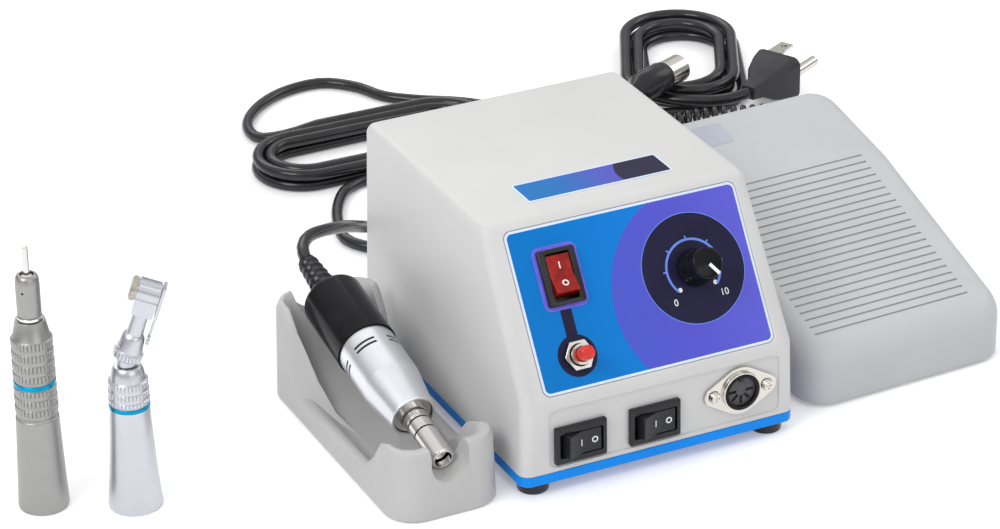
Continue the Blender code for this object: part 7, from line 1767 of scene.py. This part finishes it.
def smooth_route(points, spacing):
    """Evenly spaced points on a smooth curve through the route's points."""
    route = [np.array(point, float) for point in points]
    ends = [2 * route[0] - route[1], *route, 2 * route[-1] - route[-2]]
    fine = []
    for before, start, end, after in zip(ends, ends[1:], ends[2:], ends[3:]):
        pairs = ((before, start), (start, end), (end, after))
        knots = np.cumsum([0, *(math.sqrt(np.linalg.norm(b - a)) for a, b in pairs)])
        for time in np.linspace(knots[1], knots[2], LOOP_STEPS, endpoint=False):
            a1 = blend(before, start, knots[0], knots[1], time)
            a2 = blend(start, end, knots[1], knots[2], time)
            a3 = blend(end, after, knots[2], knots[3], time)
            b1 = blend(a1, a2, knots[0], knots[2], time)
            b2 = blend(a2, a3, knots[1], knots[3], time)
            fine.append(blend(b1, b2, knots[1], knots[2], time))
    fine = np.array([*fine, route[-1]])
    lengths = lengths_along(fine)
    wanted = np.linspace(0, lengths[-1], max(round(lengths[-1] / spacing), 2) + 1)
    return [tuple(float(np.interp(at, lengths, fine[:, axis])) for axis in range(3)) for at in wanted]


def oval_point(turn, half_run, radius):
    """Point of an oval, from the middle of its front. Each straight run takes a sixth of the turn."""
    marks = (1 / 12, 5 / 12, 7 / 12, 11 / 12, 1)
    if turn <= marks[0]:
        return half_run * turn / marks[0], -radius
    if turn <= marks[1]:
        share = (turn - marks[0]) / (marks[1] - marks[0])
        return polar(radius, -math.pi / 2 + math.pi * share, (half_run, 0))
    if turn <= marks[2]:
        return half_run * (1 - 2 * (turn - marks[1]) / (marks[2] - marks[1])), radius
    if turn <= marks[3]:
        share = (turn - marks[2]) / (marks[3] - marks[2])
        return polar(radius, math.pi / 2 + math.pi * share, (-half_run, 0))
    return half_run * ((turn - marks[3]) / (marks[4] - marks[3]) - 1), -radius


def wound_loops(centre, angle, half_run, radius, loops, diameter, start_share=0.0, stretch_share=0.0):
    """Two layers of loops that spiral in, climb and spiral out again. Their long side lies at an angle."""
    pitch = diameter + LOOP_GAP
    turning = Matrix.Rotation(angle, 2)
    points = []
    for step in range(int(loops * LOOP_STEPS) + 1):
        turn = step / LOOP_STEPS
        spread_out = abs(turn - loops / 2) * pitch
        height = diameter / 2 + pitch * rise_share(turn, loops / 2 - 1 / 4, loops / 2 + 1 / 4)
        reach = half_run + stretch_share * spread_out
        x, y = turning @ Vector(oval_point((turn + start_share) % 1, reach, radius + spread_out))
        points.append((centre[0] + x, centre[1] + y, height))
    return points


def straight_ends(points, diameter):
    """Adds a straight stretch of one diameter to each end of a wound tube."""
    first, second, before_last, last = (Vector(points[i]) for i in (0, 1, -2, -1))
    lead_in = first - (second - first).normalized() * diameter
    lead_out = last + (last - before_last).normalized() * diameter
    lead_in.z, lead_out.z = first.z, last.z
    return [tuple(lead_in), *points, tuple(lead_out)]


def meet(points, diameter):
    """Where a free stretch meets the start of a wound tube: points on its line, nearest last."""
    end, following = Vector(points[0]), Vector(points[1])
    outward = (end - following).normalized()
    return [tuple(end + outward * reach) for reach in (2 * diameter, diameter, GAP)]


def free_stretch(points, diameter):
    """A smooth stretch whose first and last pieces stay straight, square to what they meet."""
    between = smooth_route(points[1:-1], diameter * ROUTE_STEP_SHARE)
    return [tuple(points[0]), *between, tuple(points[-1])]


def eased(points):
    """The path with the bends next to its two ends rounded, and its end points kept."""
    last = len(points) - 1
    for _ in range(EASING_PASSES):
        points = [
            tuple((a + 2 * b + c) / 4 for a, b, c in zip(points[index - 1], point, points[index + 1]))
            if 0 < index < EASED_POINTS or last - EASED_POINTS < index < last else point
            for index, point in enumerate(points)
        ]
    return points


def wound_path(start, lead_route, wound, tail_route, base, direction, diameter):
    """A lead from its straight start, a wound tube, and a tail to a plug's base, as one path."""
    base, direction = Vector(base), Vector(direction).normalized()
    lead = [*(tuple(point) for point in start), *millimetres(lead_route), *meet(wound, diameter)]
    tail = [
        *reversed(meet(list(reversed(wound)), diameter)), *millimetres(tail_route),
        tuple(base - direction * diameter), tuple(base - direction * GAP),
    ]
    return eased(free_stretch(lead, diameter)[:-1] + wound + free_stretch(tail, diameter)[1:])


def motor_path(relief_end, outward):
    diameter = MOTOR_CORD_DIAMETER
    loops = wound_loops(
        MOTOR_HANK_CENTRE, 0.0, MOTOR_HANK_HALF_RUN, MOTOR_HANK_RADIUS, MOTOR_HANK_LOOPS, diameter
    )
    start = (relief_end + outward * GAP, relief_end + outward * diameter)
    return wound_path(start, MOTOR_LEAD_ROUTE, straight_ends(loops, diameter), MOTOR_TAIL_ROUTE,
                      MOTOR_PLUG_BASE, MOTOR_PLUG_DIRECTION, diameter)


def mains_path(relief_end):
    diameter = MAINS_CORD_DIAMETER
    loops = wound_loops(
        MAINS_COIL_CENTRE, MAINS_COIL_ANGLE, MAINS_COIL_HALF_RUN, MAINS_COIL_RADIUS, MAINS_COIL_LOOPS,
        diameter, MAINS_COIL_START_SHARE, MAINS_COIL_STRETCH_SHARE,
    )
    start = [Vector(relief_end) + Vector((0, 1, 0)) * reach for reach in (GAP, diameter, 2 * diameter)]
    return wound_path(start, MAINS_LEAD_ROUTE, straight_ends(loops, diameter), MAINS_TAIL_ROUTE,
                      MAINS_PLUG_BASE, MAINS_PLUG_DIRECTION, diameter)


def pedal_path(boss_end, boss_direction, plug_end):
    """Straight ends and one stretch of curls."""
    diameter = PEDAL_CORD_DIAMETER
    finish, outward = Vector(plug_end), Vector((0, 1, 0))
    route = [tuple(boss_end + boss_direction * GAP), tuple(boss_end + boss_direction * 2 * diameter)]
    route += millimetres(PEDAL_LEAD_ROUTE + CURL_ROUTE + PEDAL_TAIL_ROUTE)
    route += [tuple(finish + outward * 2 * diameter), tuple(finish + outward * GAP)]
    guide = np.array(smooth_route(route, diameter / 2))
    along = lengths_along(guide)
    curls_start = np.array(millimetres(CURL_ROUTE)[0])
    first = along[np.argmin(np.linalg.norm(guide - curls_start, axis=1))]
    last = first + CURL_COUNT * CURL_PITCH

    def guide_at(distance):
        return np.array([np.interp(distance, along, guide[:, axis]) for axis in range(3)])

    spacing = diameter * ROUTE_STEP_SHARE
    route = [guide_at(distance) for distance in np.arange(0, first - spacing / 2, spacing)]
    up = np.array((0, 0, 1))
    for step in range(CURL_COUNT * CURL_STEPS + 1):
        distance = first + step * CURL_PITCH / CURL_STEPS
        share = step / CURL_STEPS
        reach = CURL_RADIUS * min(rise_share(share, 0, 1), rise_share(CURL_COUNT - share, 0, 1))
        heading = guide_at(distance + diameter) - guide_at(distance - diameter)
        sideways = np.cross(heading, up)
        sideways /= np.linalg.norm(sideways)
        angle = math.tau * share
        route.append(guide_at(distance) + reach * (sideways * math.sin(angle) - up * math.cos(angle)))
    route += [guide_at(distance) for distance in np.arange(last + spacing, along[-1] - spacing / 2, spacing)]
    route.append(guide_at(along[-1]))
    return [(float(x), float(y), max(float(z), diameter / 2)) for x, y, z in route]


def cord_curve(name, points, diameter, nodes):
    """A cord as one smooth curve, standing for its CAD solids."""
    data = bpy.data.curves.new(name, "CURVE")
    data.dimensions = "3D"
    data.bevel_depth = diameter / 2
    data.bevel_resolution = 5
    data.use_fill_caps = True
    spline = data.splines.new("POLY")
    spline.points.add(len(points) - 1)
    for target, point in zip(spline.points, points):
        target.co = (*(Vector(point) + OFFSET), 1)
    spline.use_smooth = True
    thing = new_object(name, data)
    data.materials.append(material("black_rubber"))
    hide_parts(*nodes)
    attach(thing, "root")
    return thing


def make_motor_plug(cords):
    direction = Vector(MOTOR_PLUG_DIRECTION).normalized()
    stand = assembly("motor_plug", cords, MOTOR_PLUG_BASE, (0, 0, 1), direction)
    body = [(PLUG_RADIUS * radius, PLUG_LENGTH * height) for height, radius in PLUG_PROFILE_SHARES]
    piece("motor_plug_body", turned(body), "black_plastic", stand)
    low = PLUG_LENGTH + GAP
    high = low + PLUG_SHELL_LENGTH
    inside = PLUG_SHELL_RADIUS - PLUG_SHELL_WALL
    shell = turned([
        (PLUG_SHELL_RADIUS, low), (PLUG_SHELL_RADIUS, high),
        (inside, high), (inside, high - PLUG_SHELL_RECESS),
    ])
    piece("motor_plug_shell", shell, "nickel", stand)


def make_mains_plug(stand):
    """Plug whose flat blades lie one above the other along X, with the round pin towards +Y."""
    rings = []
    for along, across in MAINS_PLUG_SHARES:
        half_width, half_depth = MAINS_PLUG_WIDTH / 2 * across, MAINS_PLUG_DEPTH / 2 * across
        flat = outline(half_width, -half_depth, half_depth, MAINS_PLUG_CORNER * across)
        rings.append(level(flat, MAINS_PLUG_LENGTH * along))
    body = piece("mains_plug_body", skin(rings), "plug_rubber", stand)
    half_x = BLADE_SPACING / 2 + BLADE_SIZE[0] + GAP
    half_y = GROUND_PIN_OFFSET / 2 + BLADE_SIZE[1] / 2 + GAP
    low = MAINS_PLUG_LENGTH - CONTACT_BAR_THICKNESS
    pocket = plate(half_x + GAP, half_y + GAP, SMALL_RADIUS, low - GAP, MAINS_PLUG_LENGTH + OVERRUN)
    combine(body, pocket, stand)
    bar = plate(half_x, half_y, SMALL_RADIUS, low, MAINS_PLUG_LENGTH)
    pins = piece("mains_plug_pins", bar, "nickel", stand)
    root = low + CONTACT_BAR_THICKNESS / 2
    blade_y = -GROUND_PIN_OFFSET / 2
    for side in (-1, 1):
        centre = (side * BLADE_SPACING / 2, blade_y, root + BLADE_SIZE[2] / 2)
        join_on(pins, block(BLADE_SIZE, centre), stand)
    join_on(pins, rod(GROUND_PIN_RADIUS, root, root + GROUND_PIN_LENGTH), stand, (0, -blade_y, 0))
    hole = rod(BLADE_HOLE_RADIUS, -BLADE_SPACING, BLADE_SPACING)
    place = (0, blade_y, root + BLADE_SIZE[2] * BLADE_HOLE_SHARE)
    combine(pins, hole, stand, place, (0, math.pi / 2, 0))


# Camera, floor, sky and lamps


def make_camera():
    data = bpy.data.cameras.new("camera")
    camera = new_object("camera", data)
    data.sensor_width = SENSOR
    data.lens = CAMERA_FOCUS * SENSOR
    data.clip_end = CAMERA_SIGHT
    flat = math.cos(CAMERA_PITCH)
    forward = Vector((math.sin(CAMERA_YAW) * flat, math.cos(CAMERA_YAW) * flat, -math.sin(CAMERA_PITCH)))
    level_right = Vector((math.cos(CAMERA_YAW), -math.sin(CAMERA_YAW), 0))
    level_up = level_right.cross(forward)
    right = level_right * math.cos(CAMERA_ROLL) + level_up * math.sin(CAMERA_ROLL)
    up = level_up * math.cos(CAMERA_ROLL) - level_right * math.sin(CAMERA_ROLL)
    turning = Matrix((right, up, -forward)).transposed().to_4x4()
    camera.matrix_world = Matrix.Translation(Vector(CAMERA_PLACE) + OFFSET) @ turning
    bpy.context.scene.camera = camera


def seen_rays(tree):
    """1 for the rays that show the background itself: camera, glossy and transmission rays."""
    path = add_node(tree, "LightPath", {})
    seen = path.outputs["Is Camera Ray"]
    for kind in ("Is Glossy Ray", "Is Transmission Ray"):
        larger = tree.nodes.new("ShaderNodeMath")
        larger.operation = "MAXIMUM"
        fill(tree, larger, {0: seen, 1: path.outputs[kind]})
        seen = larger.outputs[0]
    return seen


def make_floor():
    """Floor that shines a little for the rays that show it, so that it meets the white of the sky."""
    shape = bmesh.new()
    bmesh.ops.create_grid(shape, x_segments=1, y_segments=1, size=FLOOR_SIZE / 2)
    floor = mesh_object("floor", shape, None, (0, 0, -FLOOR_DROP), (0, 0, 0))
    surface, tree, shader, _ = blank_material("floor")
    fill(tree, shader, {
        "Base Color": FLOOR_COLOUR, "Roughness": FLOOR_ROUGHNESS, "Specular IOR Level": FLOOR_SHEEN,
    })
    glow = add_node(tree, "Emission", {"Strength": FLOOR_GLOW})
    lit = add_node(tree, "AddShader", {0: shader.outputs[0], 1: glow.outputs[0]})
    choice = add_node(tree, "MixShader", {0: seen_rays(tree), 1: shader.outputs[0], 2: lit.outputs[0]})
    fill(tree, tree.nodes["Material Output"], {"Surface": choice.outputs[0]})
    floor.data.materials.append(surface)


def make_world():
    """Sky that lights the set, and a plain white behind it for the camera."""
    world = bpy.data.worlds.new("world")
    bpy.context.scene.world = world
    world.use_nodes = True
    tree = world.node_tree
    place = add_node(tree, "TexCoord", {})
    split = add_node(tree, "SeparateXYZ", {"Vector": place.outputs["Generated"]})
    soft = tree.nodes["Background"]
    fill(tree, soft, {"Strength": WORLD_LIGHT, "Color": ramp(tree, split.outputs["Z"], SKY)})
    white = add_node(tree, "Background", {"Color": (1, 1, 1, 1), "Strength": 1.0})
    path = add_node(tree, "LightPath", {})
    choice = add_node(tree, "MixShader", {
        0: path.outputs["Is Camera Ray"], 1: soft.outputs[0], 2: white.outputs[0],
    })
    fill(tree, tree.nodes["World Output"], {"Surface": choice.outputs[0]})


def make_lamp(name, place, target, size, power):
    data = bpy.data.lights.new(name, "AREA")
    data.shape = "RECTANGLE"
    data.size, data.size_y = size
    data.energy = power
    lamp = new_object(name, data)
    lamp.location = place
    lamp.rotation_euler = (Vector(target) - Vector(place)).to_track_quat("-Z", "Y").to_euler()


# The set

make_camera()

tip, tail = Vector((MOTOR_X, *NOSE_TIP)), Vector((MOTOR_X, *TAIL_BACK))
relief_direction = (tail - tip).normalized()
relief_end = tip + relief_direction * (CAP_END + GAP + CORD_RELIEF_LENGTH)
facing = (math.cos(PEDAL_TURN), math.sin(PEDAL_TURN), 0)
pedal_place = turned_frame((PEDAL_X, 0, 0), facing)
boss_reach = PEDAL_BACK - PEDAL_WALL - PEDAL_BASE_CLEARANCE + PEDAL_CORD_BOSS_LENGTH
boss_end = pedal_place @ Vector((0, boss_reach, PEDAL_CORD_HEIGHT))
boss_direction = pedal_place.to_3x3() @ Vector((0, 1, 0))
entry = (MAINS_RELIEF_X, UNIT_DEPTH + GAP + RELIEF_FLANGE_THICKNESS + RELIEF_LENGTH, REAR_ROW_HEIGHT)
jack_end = UNIT_DEPTH + 2 * GAP + JACK_NUT_THICKNESS + JACK_GRIP_LENGTH + JACK_TAIL_LENGTH

motor_points = motor_path(relief_end, relief_direction)
motor_cord = cord_curve("motor_cord", motor_points, MOTOR_CORD_DIAMETER,
                        ("motor_cord_lead", "motor_cord_hank", "motor_cord_tail"))
mains_points = mains_path(entry)
mains_cord = cord_curve("mains_cord", mains_points, MAINS_CORD_DIAMETER,
                        ("mains_cord_lead", "mains_cord_coil", "mains_cord_tail"))
pedal_points = pedal_path(boss_end, boss_direction, (PEDAL_SOCKET_X, jack_end, REAR_ROW_HEIGHT))
pedal_cord = cord_curve("pedal_coiled_cord", pedal_points, PEDAL_CORD_DIAMETER, ("pedal_cord",))

finished = set(bpy.data.objects)
whole = assembly("set_place", None, OFFSET)
unit = assembly("control_unit", whole)
slant_out = (0, -math.cos(SLANT_ANGLE), math.sin(SLANT_ANGLE))
slanted = assembly("slanted_panel", unit, (0, KINK_SETBACK, KINK_HEIGHT), (1, 0, 0), slant_out)
lean_out = (0, -math.cos(LEAN_ANGLE), math.sin(LEAN_ANGLE))
lower = assembly("lower_panel", unit, (0, 0, BASE_TOP), (1, 0, 0), lean_out)
rear = assembly("rear_panel", unit, (0, UNIT_DEPTH, 0), (-1, 0, 0), (0, 1, 0))
make_housing(unit, slanted, lower, rear)
make_base(unit)
make_overlay(slanted)
make_label(slanted)
make_name_plate(unit)
make_rocker_switch("power", slanted, POWER_SWITCH_PLACE, PANEL_SEAT, (1, 0, 0), 1, "red_lens")
make_rocker_switch("mode", lower, MODE_SWITCH_PLACE, LOWER_SEAT, (0, 1, 0), -1, "black_plastic")
make_rocker_switch("direction", lower, DIRECTION_SWITCH_PLACE, LOWER_SEAT, (0, 1, 0), -1, "black_plastic")
for prefix in MARK_DISTANCES:
    make_switch_marks(prefix)
make_breaker(slanted)
make_button_flutes(slanted)
make_knob(slanted)
make_motor_socket(lower)
make_socket_lining(lower)
make_rear_fittings(rear)

handpiece = assembly("motor_handpiece", whole, tip, (-1, 0, 0), tail - tip)
make_nose(handpiece)
make_sleeve(handpiece)
make_cap(handpiece)
make_cord_relief(handpiece)
make_cradle(assembly("cradle_stand", whole, (MOTOR_X, 0, 0)), handpiece)
pedal = assembly("foot_pedal", whole, (PEDAL_X, 0, 0), facing)
make_pedal(pedal)
make_sticker(pedal)
turned_to = (math.cos(ATTACHMENT_TURN), math.sin(ATTACHMENT_TURN), 0)
straight = assembly("straight_attachment", whole, (*STRAIGHT_PLACE, 0), turned_to)
contra = assembly("contra_attachment", whole, (*CONTRA_PLACE, 0), turned_to)
make_straight_attachment(straight)
tilted_neck = make_contra_attachment(contra)
make_knurls(straight, contra)
make_straight_trim(straight)
make_contra_trim(tilted_neck)
cords = assembly("cords", whole)
make_motor_plug(cords)
make_mains_plug(assembly("mains_plug", cords, MAINS_PLUG_BASE, (0, 0, 1), MAINS_PLUG_DIRECTION))
dressed = settle(finished)

for inner_node, finish in INSIDE.items():
    mesh = frame["nodes"][inner_node].data
    mesh.materials.clear()
    mesh.materials.append(material(finish))

make_floor()
make_world()
for lamp in LAMPS:
    make_lamp(*lamp)
bpy.context.scene.view_settings.view_transform = "Standard"
